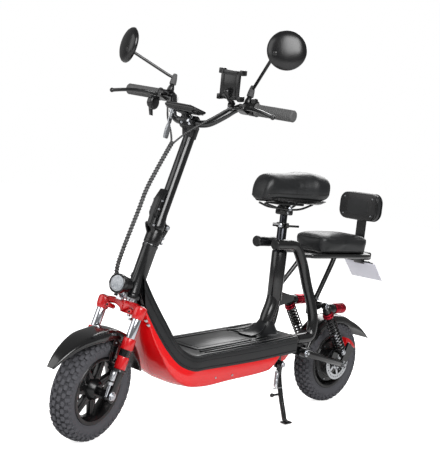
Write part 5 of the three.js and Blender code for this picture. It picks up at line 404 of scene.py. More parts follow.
class Workpiece:
    """One piece of the scene, put together from bmesh shapes drawn in millimetres."""

    def __init__(self, name: str, place: Matrix = HOME) -> None:
        """Starts an empty piece, whose shapes are drawn in the frame that place gives."""
        self.name = name
        self.place = place
        self.shape = bmesh.new()
        self.finishes: list[Finish] = []

    def take(
            self, shape: bmesh.types.BMesh, finish: Finish, soften: float = 0.0, crease: float = 42.0,
            outward: bool = True) -> None:
        """Adds a shape, with its edges softened and its faces smooth.

        Args:
            shape: The shape, which is used up.
            finish: What it is made of.
            soften: The width of the bevel on sharp edges.
            crease: The angle in degrees from which an edge counts as sharp.
            outward: Whether to turn its faces outwards.
        """
        limit = radians(crease)
        bmesh.ops.remove_doubles(shape, verts=shape.verts, dist=0.002)
        if outward:
            bmesh.ops.recalc_face_normals(shape, faces=shape.faces)
        if soften:
            sharp = [e for e in shape.edges if len(e.link_faces) == 2 and e.calc_face_angle(0) > radians(28)]
            bmesh.ops.bevel(
                shape, geom=sharp, offset=soften, affect="EDGES", segments=2, profile=0.5, material=-1)
        if finish not in self.finishes:
            self.finishes.append(finish)
        for face in shape.faces:
            face.smooth = True
            face.material_index = self.finishes.index(finish)
        for edge in shape.edges:
            edge.smooth = len(edge.link_faces) != 2 or edge.calc_face_angle(0) < limit
        bmesh.ops.transform(shape, matrix=self.place, verts=shape.verts)
        if self.place.determinant() < 0:
            bmesh.ops.reverse_faces(shape, faces=shape.faces)
        mesh = bpy.data.meshes.new("shape")
        shape.to_mesh(mesh)
        shape.free()
        self.shape.from_mesh(mesh)
        bpy.data.meshes.remove(mesh)

    def lathe(
            self, profile: Profile, finish: Finish, on: Matrix = HOME, steps: int = 40, soften: float = 0.0,
            ring: bool = False) -> None:
        """Adds a turned shape about Z.

        Args:
            profile: Radius and height pairs.
            finish: What it is made of.
            on: Where it stands.
            steps: The faces round it.
            soften: The width of the bevel on its sharp edges.
            ring: Whether the profile closes on itself.
        """
        shape = bmesh.new()
        verts = [shape.verts.new((radius, 0, height)) for radius, height in profile]
        pairs = list(zip(verts, verts[1:])) + ([(verts[-1], verts[0])] if ring else [])
        edges = [shape.edges.new(pair) for pair in pairs]
        bmesh.ops.spin(
            shape, geom=verts + edges, cent=(0, 0, 0), axis=(0, 0, 1), dvec=(0, 0, 0), angle=TURN,
            steps=steps, use_merge=True, use_duplicate=False)
        bmesh.ops.transform(shape, matrix=on, verts=shape.verts)
        self.take(shape, finish, soften)

    def drum(
            self, radius: float, low: float, high: float, finish: Finish, on: Matrix = HOME, steps: int = 40,
            soften: float = 0.0) -> None:
        """Adds a plain drum about Z."""
        self.lathe([(0, low), (radius, low), (radius, high), (0, high)], finish, on, steps, soften)

    def sleeve(
            self, bore: float, radius: float, low: float, high: float, finish: Finish, on: Matrix = HOME,
            steps: int = 40, soften: float = 0.0) -> None:
        """Adds a plain bored drum about Z."""
        self.lathe(
            [(bore, low), (radius, low), (radius, high), (bore, high)], finish, on, steps, soften, ring=True)

    def rod(
            self, start: Place, end: Place, radius: float, finish: Finish, sides: int = 24,
            taper: float = 0.0, soften: float = 0.6) -> None:
        """Adds a round bar between two points, with another radius at its end where taper gives one."""
        length = (Vector(end) - Vector(start)).length
        self.lathe(
            [(0, 0), (radius, 0), (taper or radius, length), (0, length)], finish, along(start, end), sides,
            soften)

    def surface(
            self, rows: Rows, finish: Finish, wall: float = 0.0, closed: bool = False, soften: float = 0.0,
            crease: float = 42.0) -> None:
        """Adds a surface through rows of points.

        Args:
            rows: The rows, each with as many points.
            finish: What it is made of.
            wall: The thickness that it gets behind it.
            closed: Whether each row closes on itself, and the ends are filled.
            soften: The width of the bevel on its sharp edges.
            crease: The angle from which an edge stays sharp.
        """
        shape = grid_through([[*row, row[0]] if closed else row for row in rows])
        if closed:
            bmesh.ops.remove_doubles(shape, verts=shape.verts, dist=0.002)
            bmesh.ops.holes_fill(shape, edges=[e for e in shape.edges if e.is_boundary], sides=0)
        if wall:
            bmesh.ops.solidify(shape, geom=shape.faces, thickness=wall)
        self.take(shape, finish, soften, crease, outward=closed or bool(wall))

    def tube(
            self, points: Line, radius: float, finish: Finish, sides: int = 20, fine: int = 8,
            taper: float = 0.0) -> None:
        """Adds a round tube along a smooth path.

        Args:
            points: The points that its middle passes.
            radius: Its radius.
            finish: What it is made of.
            sides: The faces round it.
            fine: The points for each stretch, or nothing for the points as they are.
            taper: Its radius at the end, where that differs.
        """
        path = curve_through(points, fine) if fine else [Vector(point) for point in points]
        shape = bmesh.new()
        bmesh.ops.create_circle(shape, cap_ends=True, segments=sides, radius=radius)
        edges = shape.edges[:]
        places = frames_along(path)
        widths = [blend(1, (taper or radius) / radius, i / (len(path) - 1)) for i in range(len(path))]
        held = [place @ Matrix.Scale(width, 4) for place, width in zip(places, widths)]
        bmesh.ops.transform(shape, matrix=held[0], verts=shape.verts)
        for before, after in zip(held, held[1:]):
            grown = bmesh.ops.extrude_edge_only(shape, edges=edges)
            edges = [
                part for part in grown["geom"] if isinstance(part, bmesh.types.BMEdge) and part.is_boundary]
            bmesh.ops.transform(shape, matrix=after @ before.inverted(), verts=moved_verts(grown))
        bmesh.ops.holes_fill(shape, edges=[e for e in shape.edges if e.is_boundary], sides=0)
        self.take(shape, finish)

    def slab(
            self, centre: Place, size: Place, finish: Finish, soften: float = 2.0,
            turn: Matrix = HOME) -> None:
        """Adds a block with soft edges, turned about its own middle."""
        shape = bmesh.new()
        bmesh.ops.create_cube(shape, size=1)
        bmesh.ops.scale(shape, vec=size, verts=shape.verts)
        bmesh.ops.transform(shape, matrix=Matrix.Translation(Vector(centre)) @ turn, verts=shape.verts)
        self.take(shape, finish, soften)

    def plate(
            self, outline: Profile, width: float, finish: Finish, middle: float = 0.0, soften: float = 1.0,
            on: Matrix = HOME) -> None:
        """Adds a plate from an outline in X and Z, as wide as width along Y about a middle."""
        self.prism([(x, middle - width / 2, z) for x, z in outline], (0, width, 0), finish, soften, on)

    def prism(self, points: Line, rise: Place, finish: Finish, soften: float, on: Matrix = HOME) -> None:
        """Adds a face through points, drawn out by a rise."""
        shape = bmesh.new()
        face = shape.faces.new([shape.verts.new(point) for point in points])
        grown = bmesh.ops.extrude_face_region(shape, geom=[face])
        bmesh.ops.translate(shape, vec=rise, verts=moved_verts(grown))
        bmesh.ops.transform(shape, matrix=on, verts=shape.verts)
        self.take(shape, finish, soften)

    def hoop(
            self, radius: float, low: float, rise: float, half: float, finish: Finish, on: Matrix = HOME,
            steps: int = 48) -> None:
        """Adds a raised line round a turned shape, from low to twice half above it."""
        self.lathe(
            [(radius, low), (radius + rise, low + half), (radius, low + 2 * half)], finish, on, steps,
            ring=True)

    def ball(self, centre: Place, radius: float, finish: Finish) -> None:
        """Adds a ball."""
        shape = bmesh.new()
        bmesh.ops.create_uvsphere(shape, u_segments=20, v_segments=12, radius=radius)
        bmesh.ops.translate(shape, vec=Vector(centre), verts=shape.verts)
        self.take(shape, finish)

    def bolt(self, at: Place, way: Place, radius: float, finish: Finish = ZINC) -> None:
        """Adds a socket screw's head standing at a point and facing a way."""
        height = radius * 0.9
        self.lathe(
            [(0, -height), (radius, -height), (radius, height * 0.6), (radius * 0.8, height),
             (radius * 0.48, height), (radius * 0.44, height * 0.3), (0, height * 0.3)], finish,
            along(at, Vector(at) + Vector(way)), 20)

    def bolts(self, x: float, half: float, z: float, radius: float, finish: Finish = ZINC) -> None:
        """Adds a screw's head on each side, facing outwards."""
        for side in BOTH:
            self.bolt((x, side * half, z), (0, side, 0), radius, finish)

    def nut(self, at: Place, way: Place, radius: float, height: float, finish: Finish = ZINC) -> None:
        """Adds a hexagonal nut over a domed end, standing at a point and facing a way."""
        place = along(at, Vector(at) + Vector(way))
        self.lathe(
            [(0, 0), (radius, 0), (radius, height * 0.85), (radius * 0.86, height), (0, height)], finish,
            place, 6, 0.5)
        self.lathe(
            [(0, 0), (radius * 1.15, 0), (radius * 1.15, height * 0.14), (0, height * 0.14)], finish, place,
            28)
        self.lathe(
            [(0, height), (radius * 0.5, height), (radius * 0.42, height * 1.3), (0, height * 1.36)], finish,
            place, 20)

    def coil(
            self, radius: float, wire: float, bottom: float, top: float, curls: int, finish: Finish,
            on: Matrix = HOME) -> None:
        """Adds a spring about Z: curls of wire with closed end turns."""
        count = curls * 20
        path = []
        for step in range(count + 1):
            share = step / count
            angle = share * curls * TURN
            path.append(on @ round_z(radius, angle, blend(bottom, top, share)))
        self.tube(path, wire, finish, sides=8, fine=0)

    def done(
            self, *nodes: str, body: str = "frame", slot: str = "black_paint",
            loose: bool = False) -> bpy.types.Object:
        """Makes the piece's object and hangs it on its body.

        Args:
            nodes: The CAD nodes that it stands for.
            body: The body that it rides on, where it stands for no node.
            slot: Not used.
            loose: Whether it is left off its body, for a piece that bends between two.
        Returns:
            The object.
        """
        bmesh.ops.scale(self.shape, vec=(MM, MM, MM), verts=self.shape.verts)
        mesh = bpy.data.meshes.new(self.name)
        self.shape.to_mesh(mesh)
        self.shape.free()
        piece = bpy.data.objects.new(self.name, mesh)
        bpy.context.scene.collection.objects.link(piece)
        for finish in self.finishes:
            mesh.materials.append(finish.material())
        if not loose:
            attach(piece, BODY_OF[nodes[0]] if nodes else body)
        if nodes:
            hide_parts(*nodes)
        LOG.info("%s: %d faces", self.name, len(mesh.polygons))
        return piece


def plain(node: str, finish: Finish) -> None:
    """Gives a CAD node that keeps its own shape a finish."""
    slots = frame["nodes"][node].data.materials
    slots.clear()
    slots.append(finish.material())


@dataclass
class Wheel:
    """A wheel about +Y: knobbly tyre, rim or hub motor, and brake disc."""

    place: Matrix
    bead: float = 93.0
    crown: float = 142.0
    pitches: int = 40
    spokes: int = 7
    nave_screws: int = 5
    cover_screws: int = 9
    disc_thick: float = 2.0
    disc_holes: int = 30
    disc_arms: int = 6

    def tyre(self, node: str) -> None:
        """The tyre: a round carcass with three rows of blocks on each side of the middle."""
        piece = Workpiece(f"{node}_tread", self.place)
        half = [
            (self.bead - 4, 20), (self.bead, 22.5), (98, 24.2), (102, 26.6), (110, 30), (119, 31.6),
            (127, 30.4), (133.6, 26.4), (138.4, 20.6), (141.2, 13), (self.crown, 0)]
        piece.lathe(both_sides(half, shared=True), TYRE_RUBBER, ACROSS, 96, ring=True)
        for ring, across in ((104.0, 27.6), (124.0, 31.3)):
            for side in BOTH:
                low = side * (across - 1.2)
                piece.lathe(
                    [(ring - 1, low), (ring, side * (across + 0.5)), (ring + 1, low)], TYRE_RUBBER, ACROSS,
                    96, ring=True)
        rows = (
            (7.5, 4, 143.7, (14.5, 11, 11), 0.0), (19.5, 20, 141.1, (13.5, 10, 11), 0.5),
            (26.6, 52, 134.6, (12, 13, 9.4), 0.0), (30.8, 78, 125.6, (7.4, 13, 4.4), 0.5))
        for pitch in range(self.pitches):
            for across, lean, reach, size, offset in rows:
                for side in BOTH:
                    angle = (pitch + offset + (0.25 if side < 0 else 0)) / self.pitches * TURN
                    self.block(piece, angle, side * across, side * radians(lean), reach, size)
        piece.done(node)

    def block(
            self, piece: Workpiece, angle: float, across: float, lean: float, reach: float,
            size: Place) -> None:
        """One tread block, leaning outwards on the shoulder."""
        turn = Matrix.Rotation(-angle, 4, "Y") @ shift(reach, across, 0) @ Matrix.Rotation(lean, 4, "Z")
        shape = bmesh.new()
        bmesh.ops.create_cube(shape, size=1)
        bmesh.ops.scale(shape, vec=(size[2], size[1], size[0]), verts=shape.verts)
        bmesh.ops.bevel(
            shape, geom=shape.edges, offset=1.3, affect="EDGES", segments=1, profile=0.5, material=-1)
        bmesh.ops.transform(shape, matrix=turn, verts=shape.verts)
        piece.take(shape, TYRE_RUBBER, outward=False)

    def rim_ring(self, piece: Workpiece) -> None:
        """The rim's ring with its rolled flanges."""
        half = [
            (92, 22.2), (98.5, 22.6), (99.4, 24.5), (98, 26.6), (94, 27), (88, 25.5), (84.5, 19), (79, 9)]
        piece.lathe(both_sides(half), CASTING, ACROSS, 72, ring=True)

    def spoked_rim(self, node: str) -> None:
        """The cast front rim: seven tapered spokes with a sunk middle, and a flared hub."""
        piece = Workpiece("front_rim_cast", self.place)
        self.rim_ring(piece)
        piece.lathe(
            [(6.8, -25), (21, -25), (26, -18), (33, -5), (33, 5), (26, 18), (21, 25), (6.8, 25)], CASTING,
            ACROSS, 48, soften=1.2, ring=True)
        piece.sleeve(6.8, 15.6, -40, 0, CASTING, ACROSS, 32, soften=0.8)
        for spoke in range(self.spokes):
            turn = Matrix.Rotation(spoke / self.spokes * TURN, 4, "Y")
            piece.plate([(14, 18), (8.6, 83), (-8.6, 83), (-14, 18)], 15, CASTING, soften=1.8, on=turn)
            for face in BOTH:
                piece.plate(
                    [(3.6, 36), (2.8, 76), (-2.8, 76), (-3.6, 36)], 1.6, CASTING, middle=face * 7.6,
                    soften=0.7, on=turn)
        for bolt in range(self.nave_screws):
            angle = bolt / self.nave_screws * TURN
            piece.bolt(round_y(19, angle, 25.4), (0, 1, 0), 2.6, CASTING)
        piece.rod((60, 0, 56), (52, 8, 48), 3, RUBBER, 12)  # the valve
        piece.done(node)

    def hub_motor(self, node: str) -> None:
        """The hub motor: stepped covers with a ring of screws, inside the rim."""
        piece = Workpiece("hub_motor_covers", self.place)
        self.rim_ring(piece)
        half = [
            (8.6, 33.6), (22, 33.6), (24, 31), (38, 30.5), (41, 28.6), (62, 25), (66, 22.4), (73, 20.8),
            (76, 16), (82, 9)]
        profile = [(radius, -side) for radius, side in half] + list(reversed(half))
        piece.lathe(profile, CASTING, ACROSS, 72, ring=True)
        piece.sleeve(8.6, 15.6, 0, 54, CASTING, ACROSS, 32, soften=0.8)
        for side in BOTH:
            for ring, across in ((50, 27.6), (58, 26.0)):
                low = side * (across - 2)
                piece.lathe(
                    [(ring - 1.4, low), (ring, side * (across + 0.9)), (ring + 1.4, low)], CASTING, ACROSS,
                    72, ring=True)
            for bolt in range(self.cover_screws):
                angle = (bolt + 0.3) / self.cover_screws * TURN
                piece.bolt(round_y(69.5, angle, side * 22.2), (0, side, 0), 2.7)
        piece.done(node)

    def disc(self, node: str, radius: float, middle: float) -> None:
        """The brake disc: a drilled ring on bent arms over a bored hub."""
        piece = Workpiece(f"{node}_drilled", self.place)
        thick, inner = self.disc_thick, radius * 0.7
        for cell in range(self.disc_holes):
            start, end = cell / self.disc_holes * TURN, (cell + 1) / self.disc_holes * TURN
            self.drilled_cell(piece, start, end, inner, radius, middle, thick, 2.9 if cell % 2 else 2.3)
        piece.sleeve(16, 23, middle - 1, middle + 1, STEEL, ACROSS, 40)
        for arm in range(self.disc_arms):
            turn = Matrix.Rotation(arm / self.disc_arms * TURN, 4, "Y")
            piece.plate(
                [(-7, 20), (4, 20), (12, inner + 1), (3, inner + 1)], thick, STEEL, middle=middle,
                soften=0.4, on=turn)
            angle = (arm + 0.5) / self.disc_arms * TURN
            outward = copysign(1, middle)
            piece.bolt(round_y(19.5, angle, middle + 1.2 * outward), (0, outward, 0), 2.2)
        piece.done(node)

    def drilled_cell(
            self, piece: Workpiece, start: float, end: float, inner: float, outer: float, middle: float,
            thick: float, hole: float) -> None:
        """One stretch of the disc's ring with its hole."""
        span = (start + end) / 2
        centre = round_y((inner + outer) / 2, span)
        count = 16
        rim = []
        for step in range(count):
            part = step / count * 4
            corner, share = int(part), part % 1
            ends = ((start, inner), (end, inner), (end, outer), (start, outer), (start, inner))
            angle = blend(ends[corner][0], ends[corner + 1][0], share)
            reach = blend(ends[corner][1], ends[corner + 1][1], share)
            rim.append(round_y(reach, angle))
        rows = []
        for y in (middle - thick / 2, middle + thick / 2):
            lift = Vector((0, y, 0))
            holes = [centre + (point - centre).normalized() * hole + lift for point in rim]
            edges = [point + lift for point in rim]
            rows.append((holes, edges))
        loop = [rows[0][0], rows[0][1], rows[1][1], rows[1][0], rows[0][0]]
        piece.take(grid_through([[*row, row[0]] for row in loop]), STEEL)


@dataclass
class Fork:
    """The sprung fork: red crown, chromed upper tubes, and lower legs with their dampers."""

    spacing: float = 64.0
    ahead: float = 32.0
    axle_ahead: float = 33.0
    leg_colour: Finish = RED_CASTING

    def crown(self) -> None:
        """The crown's bridge and clamps, with the upper tubes and the steerer."""
        piece = Workpiece("fork_crown_casting", STEERED)
        piece.lathe(
            [(0, 230), (18, 230), (22, 236), (26, 252), (26, 262), (20, 264.5), (0, 264.5)], self.leg_colour,
            soften=1.0)
        piece.rod((0, 0, 262), (0, 0, 280), 14, ZINC)
        for side in BOTH:
            y = side * self.spacing
            piece.lathe(
                [(0, 222), (15.8, 222), (16.6, 224), (18.6, 232), (19.6, 250), (18.4, 256), (14, 259.4),
                 (0, 259.4)], self.leg_colour, shift(self.ahead, y, 0), 40, soften=0.8)
            rows = []
            for step in range(13):
                share = step / 12
                wave = sin(share * pi)
                deep = blend(33, 26, share) * (1 - 0.12 * wave)
                tall = blend(30, 25, share) * (1 - 0.32 * wave)
                mid = Vector(
                    (blend(11, self.ahead, share), side * blend(2, self.spacing, share), 246.5 + 9 * wave))
                rows.append([mid + Vector((a, 0, u)) for a, u in rounded(deep, tall, 8, 4)])
            piece.surface(rows, self.leg_colour, closed=True)
            piece.rod((13, side * 40, 236), (45, side * 40, 236), 7, self.leg_colour, soften=1.2)
            piece.bolt((46, side * 40, 236), (1, 0, 0), 3, CASTING)
            piece.rod((self.ahead, y, 140), (self.ahead, y, 230), 13.5, HARD_CHROME, 48)
            piece.lathe([(0, 0), (13.8, 0), (11, 2.2), (0, 3.2)], ABS, shift(self.ahead, y, 259))
        piece.slab((53, 0, 262.5), (15, 19, 8), ZINC, 1.0)
        piece.done("fork_crown")

    def lower(self, label: str, side: int) -> None:
        """One lower leg, down to the axle."""
        piece = Workpiece(f"fork_lower_{label}_leg", STEERED @ mirrored(side))
        here = shift(self.ahead, self.spacing, 0)
        piece.lathe(
            [(13.9, 133), (17, 133), (18.5, 136), (18.5, 163), (17.4, 166), (14.2, 166)], self.leg_colour,
            here, 48, soften=0.6, ring=True)
        piece.drum(15.5, 110, 134, POWDER, here, 48)
        for fold in (118, 123, 128):
            piece.hoop(15, fold, 1.3, 1, POWDER, here)
        piece.lathe(
            [(0, 77), (16.5, 77), (16.9, 80), (16.9, 110), (16.2, 113), (0, 113)], self.leg_colour, here, 48,
            soften=0.8)
        piece.slab((self.ahead + 10, self.spacing, 73), (50, 32, 8), CASTING, 2.4)
        piece.plate(
            [(11, 70), (39, 70), (39, 20), (45, 2), (39, -14), (30, -20), (18, -20), (11, -10)], 14.6,
            CASTING, middle=self.spacing, soften=1.6)
        piece.slab((self.ahead + 12, self.spacing, -9), (27, 14, 7), CASTING, 1.6)
        damper = shift(self.ahead + 18, self.spacing, 0)
        piece.drum(4.4, -10, 30, HARD_CHROME, damper, 32)
        piece.lathe(
            [(0, 28), (7.4, 28), (8.7, 31), (8.7, 68), (7.8, 70), (0, 70)], ZINC, damper, 40, soften=0.5)
        piece.lathe([(8.4, 36), (9.1, 37), (9.1, 41), (8.4, 42)], POWDER, damper, 40, ring=True)
        piece.slab((self.ahead, self.spacing - 18.5, 95), (16, 6, 8), CASTING, 1.2)
        piece.bolt((self.ahead + 18, self.spacing + 16, 73), (0, 1, 0), 2.8)
        piece.done(f"fork_lower_{label}")

    def axle(self) -> None:
        """The front axle with its nuts."""
        piece = Workpiece("front_axle_set", STEERED)
        x = self.axle_ahead
        piece.rod((x, -71, 0), (x, 71, 0), 5.8, ZINC)
        for side in BOTH:
            piece.nut((x, side * 71.8, 0), (0, side, 0), 11.2, 7.5)
        for inner, outer in ((25.4, 56), (-43.2, -56)):
            piece.rod((x, inner, 0), (x, outer, 0), 10.6, CASTING)
        piece.done("front_axle")


@dataclass
class Mudguard:
    """A mudguard: a rounded U-shaped shell that follows the wheel and flares at one end."""

    name: str
    node: str
    place: Matrix
    start: float
    end: float
    radius: float
    tip: float
    half: float = 39.0
    skirt: float = 24.0
    wall: float = 2.8
    stations: int = 40

    @property
    def is_front(self) -> bool:
        """Whether this is the front one, which flares at its start."""
        return self.node == "front_fender"

    def reach(self, angle: float) -> float:
        """The outer radius at an angle in degrees."""
        if self.is_front:
            return self.radius + (self.tip - self.radius) * max(0.0, 1 - angle / 62) ** 1.3 * 1.25
        return self.radius + (self.tip - self.radius) * (max(0.0, angle - 118) / (self.end - 118)) ** 1.4

    def shell(self, piece: Workpiece) -> None:
        """The shell itself, with a rolled edge."""
        shares = [
            (1, 1), (0.985, 0.68), (0.95, 0.4), (0.88, 0.21), (0.76, 0.09), (0.56, 0.03), (0.3, 0.005),
            (0, 0)]
        section = shares + [(-across, drop) for across, drop in reversed(shares[:-1])]
        rise_at_start, rise_at_end = (2.6, 6) if self.is_front else (6, 4)
        rows = []
        for step in range(self.stations + 1):
            share = step / self.stations
            angle = blend(self.start, self.end, share)
            skirt = self.skirt * (0.16 + 0.84 * min(1.0, share * rise_at_start, (1 - share) * rise_at_end))
            reach = self.reach(angle)
            half = self.half * (min(1.0, 0.14 + share * 3.2) ** 0.6 if self.is_front else 1.0)
            turn = radians(angle)
            rows.append([round_y(reach - skirt * drop, turn, half * across) for across, drop in section])
        piece.surface(rows, GLOSS_BLACK, wall=self.wall)
        for side, end in ((1, 0), (-1, -1)):
            piece.tube([row[end] - Vector((0, side * 1.4, 0)) for row in rows], 1.9, GLOSS_BLACK, 10, 0)

    def front(self) -> None:
        """The front mudguard with its side brackets."""
        piece = Workpiece(self.name, self.place)
        self.shell(piece)
        for side in BOTH:
            piece.plate(
                [(-15, 139), (23, 155), (33, 147), (29, 102), (19, 86.5), (-7, 86.5), (-15, 94)][::-1], 3.2,
                ABS, middle=side * 37.6, soften=0.8)
            piece.plate(
                [(-9, 132), (20, 143), (26, 138), (23, 106), (15, 94), (-3, 94), (-9, 100)][::-1], 1.6,
                GLOSS_BLACK, middle=side * 39.6, soften=0.6)
            piece.bolt((20, side * 40, 142), (0, side, 0), 3.2)
            piece.bolt((2, side * 40, 96), (0, side, 0), 3.2)
            piece.rod((-1, side * 37.5, 95), (-1, side * 43.2, 95), 5.3, ABS)
        piece.done(self.node)

    def rear(self) -> None:
        """The rear mudguard with the bracket on the swing arm's cross tube."""
        piece = Workpiece(self.name, self.place)
        self.shell(piece)
        foot = (self.radius * cos(radians(self.start)), self.radius * sin(radians(self.start)))
        piece.plate(
            [(179, 57), (foot[0] + 6, 72), (foot[0] - 1.5, foot[1] + 28), (foot[0] - 1.5, foot[1] + 3),
             (foot[0] + 3, foot[1]), (179, 44)], 44, ABS, soften=1.4)
        for side in BOTH:
            piece.bolt((foot[0] + 7, side * 14, 64), (1, 0, 1), 3)
        piece.done(self.node)


@dataclass
class Headlight:
    """The headlight: finned body, black bezel and a lens over a ring of diodes."""

    radius: float = 28.0
    depth: float = 58.0
    fins: int = 5
    ring_diodes: int = 6

    def build(self) -> None:
        """Makes the lamp and its foot."""
        on = shift(91, 0, 299) @ spun(98, "Y")
        piece = Workpiece("headlight_lamp", STEERED)
        profile = [(0, -self.depth), (13, -self.depth), (17, -51)]
        for fin in range(self.fins):
            low = blend(-49, -17, fin / self.fins)
            reach = blend(20.5, 26.5, fin / self.fins)
            profile += [(reach, low), (reach, low + 3), (reach - 4, low + 3.4), (reach - 4, low + 6)]
        profile += [
            (27.6, -15), (self.radius, -12), (self.radius, 0.6), (26.6, 1.6), (25, 1.2), (24.4, -2), (0, -2)]
        piece.lathe(profile, CASTING, on, 56)
        piece.lathe([(23.6, -1.5), (27.6, 1.4), (25.6, 3.2), (22.6, 0.6)], ABS, on, 56, ring=True)
        piece.lathe([(0, -2), (24, -2), (23.8, -0.2), (18, 1.4), (9, 2.6), (0, 3)], LAMP_LENS, on, 56)
        for diode in range(self.ring_diodes + 1):
            angle = diode / self.ring_diodes * TURN
            spread = 0 if diode == self.ring_diodes else 13.5
            at = on @ shift(*round_z(spread, angle, 1.2 if spread else 2.2))
            piece.lathe([(0, 0), (5.4, 0), (4.8, 1.2), (2.6, 1.5), (0, 0.6)], LAMP_LENS, at, 20)
        piece.plate([(42, 282.5), (28, 266.6), (44.5, 266.6), (70, 282.5)][::-1], 19.5, ZINC, soften=1.2)
        piece.bolts(50, 10, 276, 3.4)
        piece.done("headlight")


@dataclass
class Stem:
    """The folding stem: clamp base, hinge, tube and lever."""

    tube_radius: float = 17.5
    collar_radius: float = 24.0
    ear: float = 7.0
    hinge: tuple = (-34, 505)
    lever_pivot: tuple = (39, 492)

    def base(self) -> None:
        """The clamp on the steerer with its hinge ears and pinch bolts."""
        (hinge_x, hinge_z), (lever_x, lever_z) = self.hinge, self.lever_pivot
        piece = Workpiece("stem_clamp", STEERED)
        piece.lathe(
            [(14.4, 441.6), (22, 441.6), (self.collar_radius, 445), (self.collar_radius, 479), (22.5, 484),
             (20.8, 486), (14.4, 486)], CASTING, steps=56, soften=0.8, ring=True)
        for line in (452, 470):
            piece.hoop(self.collar_radius - 0.6, line, 1.1, 1.2, CASTING, steps=56)
        ears = [
            (-41, 505), (-34, 514), (-25.6, 512), (-24.6, 485.7), (-14.4, 485.7), (-14.4, 457), (-27.5, 457),
            (-41, 494.5)]
        for side in BOTH:
            piece.plate(ears[::-1], self.ear, CASTING, middle=side * 11, soften=1.4)
            piece.plate(
                [(17, 463), (39, 481), (45.3, 488), (45.3, 497.5), (26.6, 496), (25, 485.7), (17, 485.7)],
                4.9, CASTING, middle=side * 9.9, soften=1.0)
            for height in (470, 454):
                piece.bolt((-27.5, side * 14.5, height), (0, side, 0), 4.2)
            piece.nut((hinge_x, side * 14.4, hinge_z), (0, side, 0), 7, 4)
        piece.rod((hinge_x, -15, hinge_z), (hinge_x, 15, hinge_z), 3.8, ZINC)
        piece.rod((lever_x, -12, lever_z), (lever_x, 12, lever_z), 2.8, ZINC)
        piece.bolts(lever_x, 12.4, lever_z, 4)
        piece.done("stem_base")

    def upper(self) -> None:
        """The stem's tube, knuckle, bar clamp and the display's bed."""
        piece = Workpiece("stem_upper", STEERED)
        piece.lathe(
            [(0, 486.7), (21.7, 486.7), (21.7, 498), (self.tube_radius, 534), (self.tube_radius, 808),
             (0, 812)], POWDER, steps=56, soften=0.9)
        hinge_x, hinge_z = self.hinge
        piece.rod((hinge_x, -7.2, hinge_z), (hinge_x, 7.2, hinge_z), 9.4, CASTING)
        piece.plate([(-34, 513.4), (-27, 501), (-14, 487.2), (-14, 528)][::-1], 14.4, CASTING, soften=1.2)
        piece.plate([(10, 512), (21, 515.5), (20.2, 592), (10, 602)], 7, POWDER, soften=1.0)
        piece.rod((24, -24, 818), (24, 24, 818), 20.8, CASTING, 40, soften=1.6)
        piece.plate(
            [(-15.6, 777), (17.4, 777), (35, 801.5), (24, 829), (-15.6, 815.5)][::-1], 31, CASTING,
            soften=2.4)
        for side in BOTH:
            for height, lift in ((826, 0.3), (808, -0.3)):
                piece.bolt((41.5, side * 14, height), (1, 0, lift), 4)
        piece.slab((65.8, 0, 829.4), (33, 31, 5), CASTING, 1.0, spun(DISPLAY_TILT_DEG, "Y"))
        piece.plate([(24, 807), (35, 807), (73, 829), (55, 829), (24, 834)][::-1], 19, CASTING, soften=1.2)
        piece.slab((47, 11, 818), (10, 8, 16), ZINC, 1.0)
        piece.done("stem_tube")

    def lever(self) -> None:
        """The fold lever: a cast blade with a raised spine and two screws on each side."""
        piece = Workpiece("fold_lever_blade", STEERED)
        core = [
            (32.5, 492), (39, 485.5), (45.5, 492), (47.4, 525), (45.5, 570), (31.6, 604), (24.6, 601.6),
            (36.5, 559), (37.8, 509)]
        piece.plate(core, 14.4, CASTING, soften=1.6)
        piece.plate(
            [(37.8, 513), (47, 525), (45.2, 570), (31.4, 603.6), (25, 601.2), (36.6, 559)], 26, CASTING,
            soften=2.2)
        for height, ahead in ((540, 41.5), (566, 40)):
            piece.bolts(ahead, 13.2, height, 3.4)
        piece.done("fold_lever")


